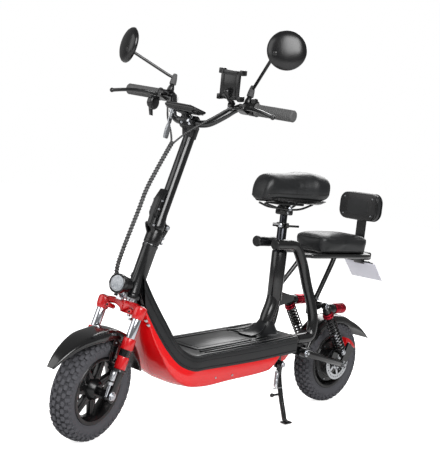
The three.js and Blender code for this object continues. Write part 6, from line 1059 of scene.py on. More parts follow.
@dataclass
class Cockpit:
    """Everything on the handlebar."""

    bar_radius: float = 11.0
    back: float = -26.0
    height: float = 905.0
    half: float = 296.0
    lock: tuple = (13.2, -34)
    holder_foot: tuple = (-9.4, 100, 894.5)

    def bar_path(self) -> list[Place]:
        """The bent bar's middle, from the right end to the left one."""
        shares = (
            (0, 0, 0), (0.09, 0, 0), (0.14, 0.04, 0.01), (0.21, 0.18, 0.12), (0.31, 0.5, 0.52),
            (0.37, 0.8, 0.86), (0.4, 0.975, 0.985), (0.42, 1, 1), (0.44, 1, 1), (1, 1, 1))
        left = [(24 - 50 * back, self.half * out, 818 + 87 * up) for out, back, up in shares]
        return [(x, -y, z) for x, y, z in reversed(left[1:])] + left

    def bar(self) -> None:
        """The handlebar's tube."""
        piece = Workpiece("handlebar_tube", STEERED)
        piece.tube(self.bar_path(), self.bar_radius, POWDER, 28, 6)
        piece.done("handlebar")

    def grip(self, label: str, side: int) -> None:
        """A rubber grip: an inner flange, rows of ribs and a closed end."""
        piece = Workpiece(f"grip_{label}_sleeve", STEERED @ mirrored(side))
        on = along((self.back, 174, self.height), (self.back, 200, self.height))
        profile = [(11.4, 0), (20.2, 0), (20.4, 2), (19.6, 4.4), (17, 7)]
        for rib in range(16):
            start = 9 + rib * 6.6
            profile += [
                (17, start), (17.3, start + 1.2), (17.3, start + 3.4), (16.2, start + 4.4),
                (16.2, start + 5.8)]
        profile += [(17, 116), (17.2, 122), (15, 125), (0, 125.2), (0, 122.4), (11.4, 122.4)]
        piece.lathe(profile, RUBBER, on, 36, ring=True)
        piece.done(f"grip_{label}")

    def brake_lever(self, label: str, side: int) -> None:
        """A forged brake lever that sweeps out beside the grip and ends in a ball."""
        piece = Workpiece(f"brake_lever_{label}_blade", STEERED @ mirrored(side))
        pivot = Vector((8, 150, 891))
        shares = ((0, 0, 0), (0.1, 0.08, 0), (0.3, 0.4, 0.16), (0.6, 0.78, 0.5), (1, 1, 1))
        line = curve_through(
            [pivot + Vector((57 * ahead, 135 * out, -30 * down)) for out, ahead, down in shares], 7)
        places = frames_along(line)
        rows = []
        for i, place in enumerate(places):
            share = i / (len(places) - 1)
            wide, tall = blend(7.4, 10.8, min(1.0, share * 3)), blend(7.2, 9.4, min(1.0, share * 3))
            rows.append([place @ Vector((a, u, 0)) for a, u in rounded(tall, wide, 3, 3)])
        piece.surface(rows, POWDER, closed=True)
        piece.rod(pivot - Vector((0, 0, 3.6)), pivot + Vector((0, 0, 3.6)), 6.8, POWDER, soften=0.8)
        piece.ball(line[-1], 7.2, POWDER)
        piece.done(f"brake_lever_{label}")

    def mirror(self, label: str, side: int) -> None:
        """A round mirror on its bent stem, with a domed back."""
        out, up = (260.8, 1059.8) if side > 0 else (282.5, 1012.6)
        piece = Workpiece(f"mirror_{label}_head", STEERED @ mirrored(side))
        base = Vector((-20.9, 140, 944.1))
        on = shift(70, out, up) @ spun(31, "Z") @ spun(98.3, "Y")
        socket = on @ Vector((20, -28, 7))
        bend = base + Vector((0, 0, 15))
        piece.tube([base, bend, bend.lerp(socket, 0.14), bend.lerp(socket, 0.5), socket], 4.8, POWDER, 20, 8)
        piece.lathe(
            [(0, -4), (10.2, -4), (10.6, 0), (9.6, 12), (7, 26), (5.6, 30), (0, 30)], RUBBER,
            along(base, base + Vector((0.1, 0, 1))), 28, soften=0.6)
        piece.lathe(
            [(0, -7.2), (52, -7.2), (53.6, -8.6), (56, -6), (56.4, -2), (54.6, 2.6), (50, 7), (42, 11),
             (30, 14.2), (16, 15.8), (0, 16.2)], ABS, on, 64)
        piece.drum(51.6, -8, -7, MIRROR_GLASS, on, 64)
        piece.ball(socket, 9, ABS)
        piece.done(f"mirror_{label}")

    def display(self) -> None:
        """The display: a rounded case, a dark screen and the lock underneath."""
        piece = Workpiece("display_case", DISPLAY)
        rows = []
        for share, height in (
                (0.74, -10), (0.9, -6), (0.97, -2.4), (1, 1), (0.99, 3.6), (0.95, 5.4), (0.88, 6)):
            rows.append([Vector((x, y, height)) for x, y in rounded(66 * share, 112 * share, 9, 5)])
        piece.surface(rows, ABS, closed=True)
        piece.slab((0, -6.7, 7), (61, 88, 4.6), ABS, 2.0)
        piece.slab((0, -6.7, 8.7), (48, 70, 2), SCREEN_GLASS, 0.8)
        for height in (-4.4, -7):
            piece.slab((0, 0, height), (60, 96, 0.8), CASTING, 0.2)
        x, y = self.lock
        piece.rod((x, y, -6), (x, y, -20), 8, ZINC, 32, soften=0.8)
        piece.done("display")

    def key(self) -> None:
        """The key in its lock, with a fob."""
        x, y = self.lock
        piece = Workpiece("ignition_key_and_fob", DISPLAY)
        piece.rod((x, y, -20.6), (x, y, -38), 4, ZINC_ALLOY, 20)
        piece.slab((x, y, -44), (17, 3.4, 16), ZINC, 1.0)
        rows = []
        for wide, down in (
                (0.3, 0), (0.62, 0.07), (0.8, 0.16), (1, 0.42), (1.02, 0.7), (0.98, 0.88), (0.8, 1)):
            ring = rounded(21 * wide, 7.2 * min(1, wide * 1.1), 3, 4)
            rows.append([Vector((x + ahead, y + across, -51 - 46 * down)) for ahead, across in ring])
        piece.surface(rows, ZINC_ALLOY, closed=True)
        piece.done("ignition_key")

    def phone_holder(self) -> None:
        """The phone holder: an open frame with four hooks, on a ball post."""
        on = shift(38, 100, 946) @ spun(-64, "Y")
        piece = Workpiece("phone_holder_frame", STEERED @ on)
        for across in BOTH:
            piece.slab((0, across * 26, 0), (84, 13, 8.6), ABS, 2.2)
            piece.slab((across * 35, 0, 0), (14, 60, 8.6), ABS, 2.2)
            for up in BOTH:
                piece.slab((up * 37.4, across * 35.4, 8), (16, 12, 24), ABS, 2.2)
                piece.slab((up * 37.4, across * 32.4, 19), (14, 8, 3.4), ZINC, 1.2)
            slant = spun(across * 34, "Z")
            piece.slab((0, 0, 3.4), (88, 10, 3), ABS, 1.2, slant)
        piece.slab((0, 0, -0.6), (62, 46, 5.4), ABS, 2.0)
        piece.rod((-16.8, 0, 0), (-16.8, 0, -19.8), 8.1, ABS)
        piece.place = STEERED
        x, y, z = self.holder_foot
        piece.rod((x, y - 6, z - 1), (x, y + 6, z + 3), 16.5, ABS, soften=1.2)
        piece.rod((x, y, z + 11), (47, y, 919), 8.6, ABS, soften=1.0)
        piece.ball((44, y, 921), 10.5, ABS)
        piece.bolt((x + 15, y, z - 8), (1, 0, -0.4), 4)
        piece.done("phone_holder")

    def cables(self) -> None:
        """The cable bundle in its spiral wrap, and its two branches to the brake levers."""
        bundle = [
            (60, -8, 738), (79, -2, 699), (94, -3, 637), (106, -4, 574), (108, -4, 508), (106, -8, 449),
            (92, -20, 392), (66, -36, 340), (38, -40, 300), (29, -37, 280), (27, -36, 267.6)]
        left = [
            (66, -6, 726), (58, 22, 770), (48, 58, 812), (32, 88, 850), (18, 101, 874), (9.6, 108, 885.8),
            (8.66, 113.6, 887)]
        right = [
            (66, -8, 726), (56, -16, 742), (46, -34, 768), (42, -66, 812), (28, -92, 852),
            (9.6, -108, 885.8), (8.66, -113.6, 887)]
        piece = Workpiece("cable_bundle_wrap", STEERED)
        piece.tube(bundle, 5.4, RUBBER, 16, 8)
        self.wrap(piece, bundle, 5.9, 1.5, 9.5)
        for branch in (left, right):
            piece.tube(branch, 2.5, RUBBER, 12, 8)
            self.wrap(piece, branch[:5], 2.6, 0.8, 6.0)
        bundle_piece = piece.done("cable_bundle", loose=True)
        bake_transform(bundle_piece)

    def wrap(self, piece: Workpiece, points: Line, radius: float, wire: float, pitch: float) -> None:
        """Winds a band round a path.

        Args:
            piece: The piece that it joins.
            points: The path's points.
            radius: The radius of the winding.
            wire: Half the band's thickness.
            pitch: The run of one turn.
        """
        path = curve_through(points, 14)
        places = frames_along(path)
        run = 0.0
        wound = []
        for i, place in enumerate(places[:-1]):
            step = (path[i + 1] - path[i]).length
            parts = max(1, round(step / pitch * 12))
            for part in range(parts):
                share = part / parts
                angle = (run + step * share) / pitch * TURN
                wound.append(place @ round_z(radius, angle, step * share))
            run += step
        piece.tube(wound, wire, SPIRAL_WRAP, 6, 0)

    def clusters(self) -> None:
        """The small screws and caps on the control clusters, over their CAD shapes."""
        for label, side in SIDES:
            piece = Workpiece(f"control_screws_{label}", STEERED @ mirrored(side))
            on = along((self.back, 132, self.height), (self.back, 152, self.height))
            piece.lathe(
                [(11.2, 0), (17.4, 0), (17.9, 2), (17.9, 18), (17.4, 20), (11.2, 20)], CASTING, on, 36,
                ring=True)
            for out in (137, 147):
                piece.bolt((self.back + 18, out, self.height - 3), (1, 0, 0), 3)
            piece.lathe(
                [(0, 0), (10.6, 0), (10.8, 8), (5.2, 25.8), (0, 26)], ABS, shift(-20.9, 140, 918), 28,
                soften=0.8)
            if side > 0:
                pod = along((self.back, 152, self.height), (self.back, 170, self.height))
                piece.lathe(
                    [(11.3, 0), (18.6, 0), (19.4, 1.6), (19.4, 16), (18.6, 17.6), (11.3, 17.6)], ABS, pod,
                    36, ring=True)
            else:
                centre = Vector((16, 152, 861))
                piece.lathe(
                    [(0, -4), (18, -4), (21.6, -1), (22.6, 3), (22.6, 9.6), (0, 9.6)], ABS,
                    along(centre, centre + Vector((0, 1, 0))), 40, soften=0.6)
            piece.done(body="stem", slot="black_plastic")


@dataclass
class Chassis:
    """The welded frame's visible tubes, drawn over the CAD frame, and the side loops."""

    seat_x: float = -202.0
    loop_front: float = -132.0
    loop_foot: float = -226.0
    loop_back: float = -310.0
    loop_in: float = 42.0
    loop_out: float = 93.0
    loop_top: float = 571.0
    loop_low: float = 263.0

    def head(self) -> None:
        """The head tube with its rolled cups."""
        piece = Workpiece("head_tube", STRAIGHT)
        piece.lathe(
            [(18, 275), (26.4, 275), (26.6, 277), (26.6, 286), (25.4, 288), (22.4, 292), (22.4, 430),
             (23.8, 433), (23.8, 440), (18, 440)], POWDER, steps=56, soften=0.8, ring=True)
        piece.done()

    def seat_tube(self) -> None:
        """The bent seat tube, its telescopic sleeve, the collar and the knob."""
        piece = Workpiece("seat_tube")
        piece.tube(
            [(-175, 0, 236), (-175, 0, 311), (-195, 0, 367), (-202, 0, 410), (-202, 0, 545)], 23.8, POWDER,
            40, 8)
        upright = shift(self.seat_x, 0, 0)
        piece.lathe(
            [(23, 379), (24.8, 379), (25.4, 381), (25.4, 541), (24.6, 543), (23, 543)], POWDER, upright, 48,
            ring=True)
        piece.lathe(
            [(12.9, 522), (25.2, 534), (25.2, 543), (17.8, 552), (16.3, 556), (16.3, 622), (12.9, 622)],
            BLACK_CHROME, upright, 48, soften=0.8, ring=True)
        piece.lathe(
            [(12.9, 623.6), (20.8, 623.6), (21.2, 626), (21.2, 638), (20.8, 640.4), (12.9, 640.4)], CASTING,
            upright, 48, soften=0.8, ring=True)
        piece.rod((-186, 4, 632), (-172, 16, 632), 6.6, ZINC, 20, soften=1.0)
        piece.done()

    def loop_path(self) -> list[Place]:
        """The left loop's middle."""
        bow = (
            (0, 0, 0), (0.28, 0.02, 0), (0.528, 0.06, 0.01), (0.742, 0.16, 0.18), (0.871, 0.45, 0.44),
            (0.955, 0.75, 0.64), (0.995, 0.95, 0.84), (0.93, 1, 0.975))
        foot = ((0.3, 1, 0.998), (0.12, 1, 1), (0, 1, 1))
        shares = [(self.loop_front, *row) for row in bow] + [(self.loop_foot, *row) for row in foot]
        return [
            (blend(front, self.loop_back, back), blend(self.loop_in, self.loop_out, out),
             blend(self.loop_top, self.loop_low, down)) for front, back, out, down in shares]

    def loop(self, label: str, side: int) -> None:
        """A side loop's tube with its end cap and the shock's upper bolt."""
        piece = Workpiece(f"side_loop_{label}_tube", mirrored(side))
        piece.tube(self.loop_path(), 17.6, POWDER, 32, 8)
        piece.lathe(
            [(0, 0), (18.4, 0), (18.6, 6), (17.6, 9.4), (15.4, 11), (0, 11)], ABS,
            shift(-137, 42, 571) @ spun(90, "Y"), 40, soften=0.6)
        piece.nut((-368, 97, 368), (0, 1, 0), 8.6, 4.8)
        piece.bolt((-318, 73, 366), (0, 1, 0), 4)
        piece.done()

    def stand_bracket(self) -> None:
        """The stand's bracket bolts, the red gusset behind it and the swing arm's pivot caps."""
        piece = Workpiece("frame_fasteners")
        piece.nut((-151, 117.5, 188), (0, 1, 0), 7.6, 4.6)
        for x, z in ((-128, 218), (-140, 205)):
            piece.bolt((x, 95.5, z), (0, 1, 0), 3.4)
        piece.plate(
            [(-160, 228), (-208, 231), (-207, 214), (-190, 196), (-172, 188), (-162, 192)], 4, RED_ENAMEL,
            middle=88, soften=1.0)
        piece.bolt((-186, 90.5, 214), (0, 1, 0), 3)
        for side in BOTH:
            piece.nut((-275, side * 109, 215), (0, side, 0), 10.5, 6)
        piece.done()


@dataclass
class Bodywork:
    """The deck shell and the red side panels, from one table of stations."""

    front_x: float = 399.0
    rear_x: float = -216.0
    half: float = 110.0
    low: float = 150.0
    high: float = 471.0
    hump_x: float = -175.0
    stations: tuple = (
        ((1, 0.273, 1), (0.976, 0.318, 0.695), (0.972, 0.327, 0.66), (0.998, 0.127, 0.732)),
        ((0.946, 0.345, 0.822), (0.914, 0.455, 0.489), (0.93, 0.482, 0.436), (0.967, 0.136, 0.536)),
        ((0.881, 0.545, 0.598), (0.865, 0.682, 0.324), (0.893, 0.673, 0.274), (0.925, 0.145, 0.327)),
        ((0.824, 0.864, 0.38), (0.813, 0.864, 0.212), (0.849, 0.818, 0.125), (0.881, 0.155, 0.156)),
        ((0.733, 0.982, 0.29), (0.74, 1, 0.159), (0.779, 0.973, 0.025), (0.829, 0.218, 0.04)),
        ((0.652, 1, 0.299), (0.663, 1, 0.162), (0.668, 1, 0.003), (0.685, 0.564, -0.031)),
        ((0.481, 1, 0.318), (0.481, 1, 0.174), (0.481, 1, 0.031), (0.481, 0.655, 0.006)),
        ((0.302, 1, 0.34), (0.302, 1, 0.19), (0.302, 1, 0.056), (0.302, 0.655, 0.031)),
        ((0.169, 1, 0.36), (0.169, 1, 0.209), (0.218, 1, 0.075), (0.218, 0.655, 0.05)),
        ((0.127, 1, 0.368), (0.127, 1, 0.215), (0.195, 1, 0.087), (0.195, 0.655, 0.062)),
        ((0, 1, 0.389), (0, 1, 0.234)),
    )

    def point(self, shares: Place) -> Vector:
        """A station's point from its shares."""
        along_share, out, up = shares
        return Vector(
            (blend(self.rear_x, self.front_x, along_share), self.half * out, blend(self.low, self.high, up)))

    def line(self, column: int, fine: int = 7) -> list[Vector]:
        """A smooth edge line along the stations."""
        return curve_through([self.point(row[column]) for row in self.stations if len(row) > column], fine)

    def top_at(self, x: float) -> float:
        """The deck's height at x."""
        return blend(243, 275, (235 - x) / 451)

    def deck(self) -> None:
        """The deck shell: side bands with beads, the deck plate and its raised tread."""
        piece = Workpiece("deck_shell_pressing")
        uppers, lowers = self.line(0), self.line(1)
        bulge = ((0, 0), (0.06, -1.2), (0.3, -2), (0.55, -2.3), (0.8, -2), (0.95, -1.2), (1, -0.4))
        rows = []
        for i, (upper, lower) in enumerate(zip(uppers, lowers)):
            depth = max(0.0, min(1.0, (i - 10) / 8))
            band = [lower.lerp(upper, up) - Vector((0, inward * depth, 0)) for up, inward in bulge]
            edge = [
                upper + Vector((0, -1.8, 1.6)), upper + Vector((0, -5, 2.5)), upper + Vector((0, -12, 2.5))]
            left = band + [point for point in edge if point.y > 0]
            right = [Vector((point.x, -point.y, point.z)) for point in reversed(left)]
            rows.append(left + right)
        piece.surface(rows, DECK_COAT, wall=3.2)
        for side in BOTH:
            for share, bead in ((0.1, 1.7), (0.6, 1.5), (0.93, 2.4)):
                path = [
                    lower.lerp(upper, share) + Vector((0, 1.7, 0)) for upper, lower in zip(uppers, lowers)]
                piece.tube([Vector((p.x, side * p.y, p.z)) for p in path[::2]], bead, DECK_COAT, 10, 0)
        self.tread(piece)
        self.hump(piece)
        piece.done("deck_shell")

    def pad(self, piece: Workpiece, outline: Profile, rise: float = 2.4) -> None:
        """A raised pad of the deck's tread, from an outline in X and Y."""
        piece.prism([(x, y, self.top_at(x) + 1.6) for x, y in outline], (0, 0, rise + 0.9), DECK_COAT, 1.1)

    def tread(self, piece: Workpiece) -> None:
        """The tread: two bars and a wedge on each side, and a middle panel with an inset."""
        outer = [(190, 99), (160, 101), (-205, 101), (-205, 92), (160, 92), (186, 91)]
        inner = [(196, 84), (-60, 84), (-110, 74), (-110, 66), (-58, 76), (194, 76)]
        wedge = [(-70, 60), (-100, 30), (-108, 34), (-112, 56)]
        for side in BOTH:
            for outline, way in ((outer, side), (inner, side), (wedge, -side)):
                self.pad(piece, [(x, side * y) for x, y in outline][::way])
        self.pad(
            piece, [(190, -58), (194, 0), (190, 58), (180, 66), (-44, 66), (-52, 58), (-52, -58), (-44, -66),
             (180, -66)], 2.0)
        self.pad(piece, [(176, -50), (179, 0), (176, 50), (-34, 50), (-34, -50)], 3.2)

    def hump(self, piece: Workpiece) -> None:
        """The moulded hump round the seat tube's foot, drawn out forwards to a point."""
        base = self.top_at(self.hump_x) - 1.6
        rows = []
        for step in range(11):
            share = step / 10
            row = []
            for part in range(48):
                angle = part / 48 * TURN
                ahead = max(0.0, cos(angle))
                foot = 46 + 62 * ahead ** 3 + 22 * abs(sin(angle)) ** 2
                reach = blend(foot, 25.4, share ** 0.8)
                row.append(
                    Vector((self.hump_x + reach * cos(angle), reach * sin(angle), base + 40 * share ** 1.9)))
            rows.append(row)
        piece.surface(rows, DECK_COAT, closed=True, crease=60)
        for side in BOTH:
            piece.tube(
                [(-50, side * 52, base + 3), (-92, side * 42, base + 5), (-128, side * 30, base + 13),
                 (-150, side * 24, base + 26)], 2.6, DECK_COAT, 12, 6)

    def panel(self, label: str, side: int) -> None:
        """A red side panel with its rounded belly, crease and screws."""
        piece = Workpiece(f"body_panel_{label}_skin", mirrored(side))
        lowers, creases, bellies, uppers = self.line(1), self.line(2), self.line(3), self.line(0)
        rows = []
        for upper, lower, crease, belly in zip(uppers, lowers, creases, bellies):
            edge = lower + (crease - lower).normalized() * 1.6
            swell = 2.6 * (upper.y / self.half)
            turned = edge + Vector((0, -5.0, 1.0))
            first, second = edge.lerp(crease, 0.3), edge.lerp(crease, 0.62)
            first.y += swell * 0.8
            second.y += swell
            near, after = edge.lerp(crease, 0.9), crease.lerp(belly, 0.1)
            round_off = crease.lerp((near + after) / 2, 0.45)
            middle = crease.lerp(belly, 0.5) - Vector((0, 0, 0.8))
            rows.append(
                [turned, edge, first, second, near, round_off, after, middle, belly,
                 Vector((belly.x, 0.3, belly.z))])
        piece.surface(rows, RED_ENAMEL, wall=2.6, crease=55)
        for x, z in ((149, 172), (78, 174)):
            piece.bolt((x, 111.6, z), (0, 1, 0), 3.6)
        for along_share, out, up in ((0.962, 0.395, 0.56), (0.975, 0.37, 0.6)):
            spot = self.point((along_share, out, up))
            piece.bolt(spot, (0.3, 1, -0.1), 4.4)
        piece.done(f"body_panel_{label}")


@dataclass
class SeatParts:
    """The saddle on its post."""

    seat_x: float = -202.0
    nose_x: float = -62.0
    length: float = 276.0
    nose_half: float = 47.0
    back_half: float = 93.0
    bottom: float = 710.0
    height: float = 104.0
    around: int = 48

    def post(self) -> None:
        """The seat post in black chrome, with the saddle's clamp and rails."""
        piece = Workpiece("seat_post_and_clamp")
        x = self.seat_x
        piece.rod((x, 0, 452), (x, 0, 690), 12.6, BLACK_CHROME, 48)
        piece.lathe(
            [(0, 672), (13, 672), (19, 682), (19, 694), (13, 699), (0, 699)], CASTING, shift(x, 0, 0), 40,
            soften=1.0)
        piece.rod((x, -24, 689), (x, 24, 689), 8.4, CASTING, 28, soften=1.0)
        for side in BOTH:
            piece.nut((x, side * 24, 689), (0, side, 0), 7, 5)
            piece.tube(
                [(x + 112, side * 12, 701.7), (x + 52, side * 21.6, 689), (x - 52, side * 21.6, 689),
                 (x - 105, side * 31, 708)], 3.6, POWDER, 16, 8)
        piece.slab((x, 0, 704.5), (134, 52, 8), CASTING, 1.2)
        piece.slab((x, 0, 695), (30, 28, 19), CASTING, 2.4)
        piece.slab((x, 0, 675.5), (42, 46, 18), CASTING, 5.0)
        for side in BOTH:
            piece.nut((x + 8, side * 22, 675.5), (0, side, 0), 5.4, 4)
        piece.done("seat_post")

    def outline(self) -> list[tuple[float, float, float, float]]:
        """The saddle's stations: back share, half width, bottom and top heights."""
        table = (
            (0, 0.4, 0.03, 0.34), (0.025, 0.52, 0.01, 0.56), (0.07, 0.62, 0, 0.74), (0.14, 0.7, 0, 0.845),
            (0.26, 0.74, 0, 0.865), (0.42, 0.84, 0, 0.88), (0.56, 1.04, 0, 0.915), (0.7, 1.38, 0, 0.96),
            (0.82, 1.62, 0.02, 0.995), (0.91, 1.64, 0.07, 0.99), (0.97, 1.4, 0.18, 0.92),
            (1, 0.9, 0.36, 0.8))
        nose, neck, flare = self.nose_half, 0.72, 0.94
        return [
            (back, nose * wide / neck if wide < neck else blend(nose, self.back_half, (wide - neck) / flare),
             low, top) for back, wide, low, top in table]

    def cover_rows(self) -> Rings:
        """The saddle cover's rings, from the nose to the back."""
        held = curve_through([(back, half, 0) for back, half, _, _ in self.outline()], 4)
        heights = curve_through([(back, low, top) for back, _, low, top in self.outline()], 4)
        rows = []
        for (back, half, _), (_, low, top) in zip(held, heights):
            bottom, crest = self.height * low, self.height * top
            seat = blend(bottom, crest, 0.42)
            row = []
            for step in range(self.around):
                angle = step / self.around * TURN
                across, up = cos(angle), sin(angle)
                wide = copysign(abs(across) ** 0.62, across) * (1 if up >= 0 else 1 - 0.14 * abs(up))
                rise = (crest - seat) * abs(up) ** 0.7 if up > 0 else -(seat - bottom) * abs(up) ** 0.5
                row.append(
                    Vector((self.nose_x - self.length * back, half * wide, self.bottom + seat + rise)))
            rows.append(row)
        return rows

    def saddle(self) -> None:
        """The padded saddle: a swollen cover over a moulded base, with a welt along the seam."""
        piece = Workpiece("saddle_cover")
        rows = self.cover_rows()
        middle = Vector((-208, 0, self.bottom + 52))
        small = [
            [middle + Vector(((p.x - middle.x) * 0.99, (p.y - middle.y) * 0.98, (p.z - middle.z) * 0.97))
             for p in row] for row in rows]
        piece.surface(small, SEAT_LEATHER, closed=True)
        cover = piece.done("saddle")
        inflate(cover, 3.0, 3.0)
        trim = Workpiece("saddle_welt")
        held = [(row[0], row[self.around // 2]) for row in rows[3:-2]]
        for ends in (0, 1):
            points = [pair[ends] - Vector((0, 0, 10)) for pair in held]
            middles = [Vector((point.x, 0, point.z)) for point in points]
            trim.tube(seam_on(cover, points, middles), 1.5, WELT, 10, 0)
        pan = [
            [middle + Vector(((p.x - middle.x) * 0.93, (p.y - middle.y) * 0.9, 0)) for p in row]
            for row in rows[2:-1]]
        half = self.around // 2
        rise = [15 * abs(cos(step / self.around * TURN)) ** 3 for step in range(half, self.around)]
        shell = [
            [Vector((p.x, p.y, self.bottom - 0.4 + up)) for p, up in zip(row[half:], rise)] for row in pan]
        trim.surface(shell, ABS, wall=2.0)
        trim.done(body="seat", slot="saddle_leather")

    def clamp(self) -> None:
        """The quick-release lever."""
        piece = Workpiece("seat_clamp_blade")
        pivot = Vector((-195.6, 27, 632))
        rows = []
        for step in range(13):
            share = step / 12
            point = pivot + Vector((-48 * share, 2.5 * (1 + 2.2 * share * share), 0))
            rows.append([point + Vector((0, a, u)) for a, u in rounded(blend(6.5, 4.6, share), 7.8, 2, 3)])
        piece.surface(rows, POWDER, closed=True)
        piece.rod(pivot - Vector((0, 0, 4)), pivot + Vector((0, 0, 4)), 6.6, POWDER, soften=0.8)
        piece.done("seat_clamp_lever")


def inflate(piece: bpy.types.Object, pressure: float, cap_mm: float, voxel_mm: float = 5.0) -> None:
    """Swells a cushion's cover like a stuffed one, with cloth under pressure.

    Args:
        piece: The cushion, whose mesh is replaced.
        pressure: The cloth's inner pressure.
        cap_mm: The most that a point may move.
        voxel_mm: The size of the cloth's cells.
    """
    scene = bpy.context.scene
    remesh = piece.modifiers.new("even", "REMESH")
    remesh.mode = "VOXEL"
    remesh.voxel_size = voxel_mm * MM
    settle(piece)
    start = [vert.co.copy() for vert in piece.data.vertices]
    cloth = piece.modifiers.new("stuffing", "CLOTH")
    cloth.settings.use_pressure = True
    cloth.settings.uniform_pressure_force = pressure
    cloth.settings.quality = 5
    cloth.settings.tension_stiffness = 18
    cloth.settings.compression_stiffness = 18
    cloth.settings.effector_weights.gravity = 0
    for number in range(1, CLOTH_FRAMES + 1):
        scene.frame_set(number)
    settle(piece)
    for vert, before in zip(piece.data.vertices, start):
        move = vert.co - before
        if move.length > cap_mm * MM:
            vert.co = before + move.normalized() * cap_mm * MM
    relaxed = bmesh.new()
    relaxed.from_mesh(piece.data)
    for _ in range(4):
        bmesh.ops.smooth_vert(
            relaxed, verts=relaxed.verts, factor=0.5, use_axis_x=True, use_axis_y=True, use_axis_z=True)
    relaxed.to_mesh(piece.data)
    relaxed.free()
    finer = piece.modifiers.new("finer", "SUBSURF")
    finer.levels = 1
    finer.render_levels = 1
    settle(piece)
    scene.frame_set(1)
    for face in piece.data.polygons:
        face.use_smooth = True


def seam_on(cover: bpy.types.Object, points: Line, middles: Line) -> list[Vector]:
    """Finds a seam on a cover, where lines from outside meet it on their way in.

    Args:
        cover: The cover.
        points: Points near the seam, in millimetres.
        middles: The point inside the cover that each line runs to.
    Returns:
        The seam's points in millimetres.
    """
    tree = BVHTree.FromPolygons(
        [vert.co for vert in cover.data.vertices], [face.vertices for face in cover.data.polygons])
    found = []
    for point, middle in zip(points, middles):
        inward = (Vector(middle) - Vector(point)).normalized()
        start = Vector(point) - inward * 60
        hit = tree.ray_cast(start * MM, inward, 0.3)[0]
        found.append(hit / MM if hit else Vector(point))
    return found


def settle(piece: bpy.types.Object) -> None:
    """Applies a piece's modifiers."""
    graph = bpy.context.evaluated_depsgraph_get()
    mesh = bpy.data.meshes.new_from_object(piece.evaluated_get(graph))
    before = piece.data
    piece.modifiers.clear()
    piece.data = mesh
    if before.users == 0:
        bpy.data.meshes.remove(before)


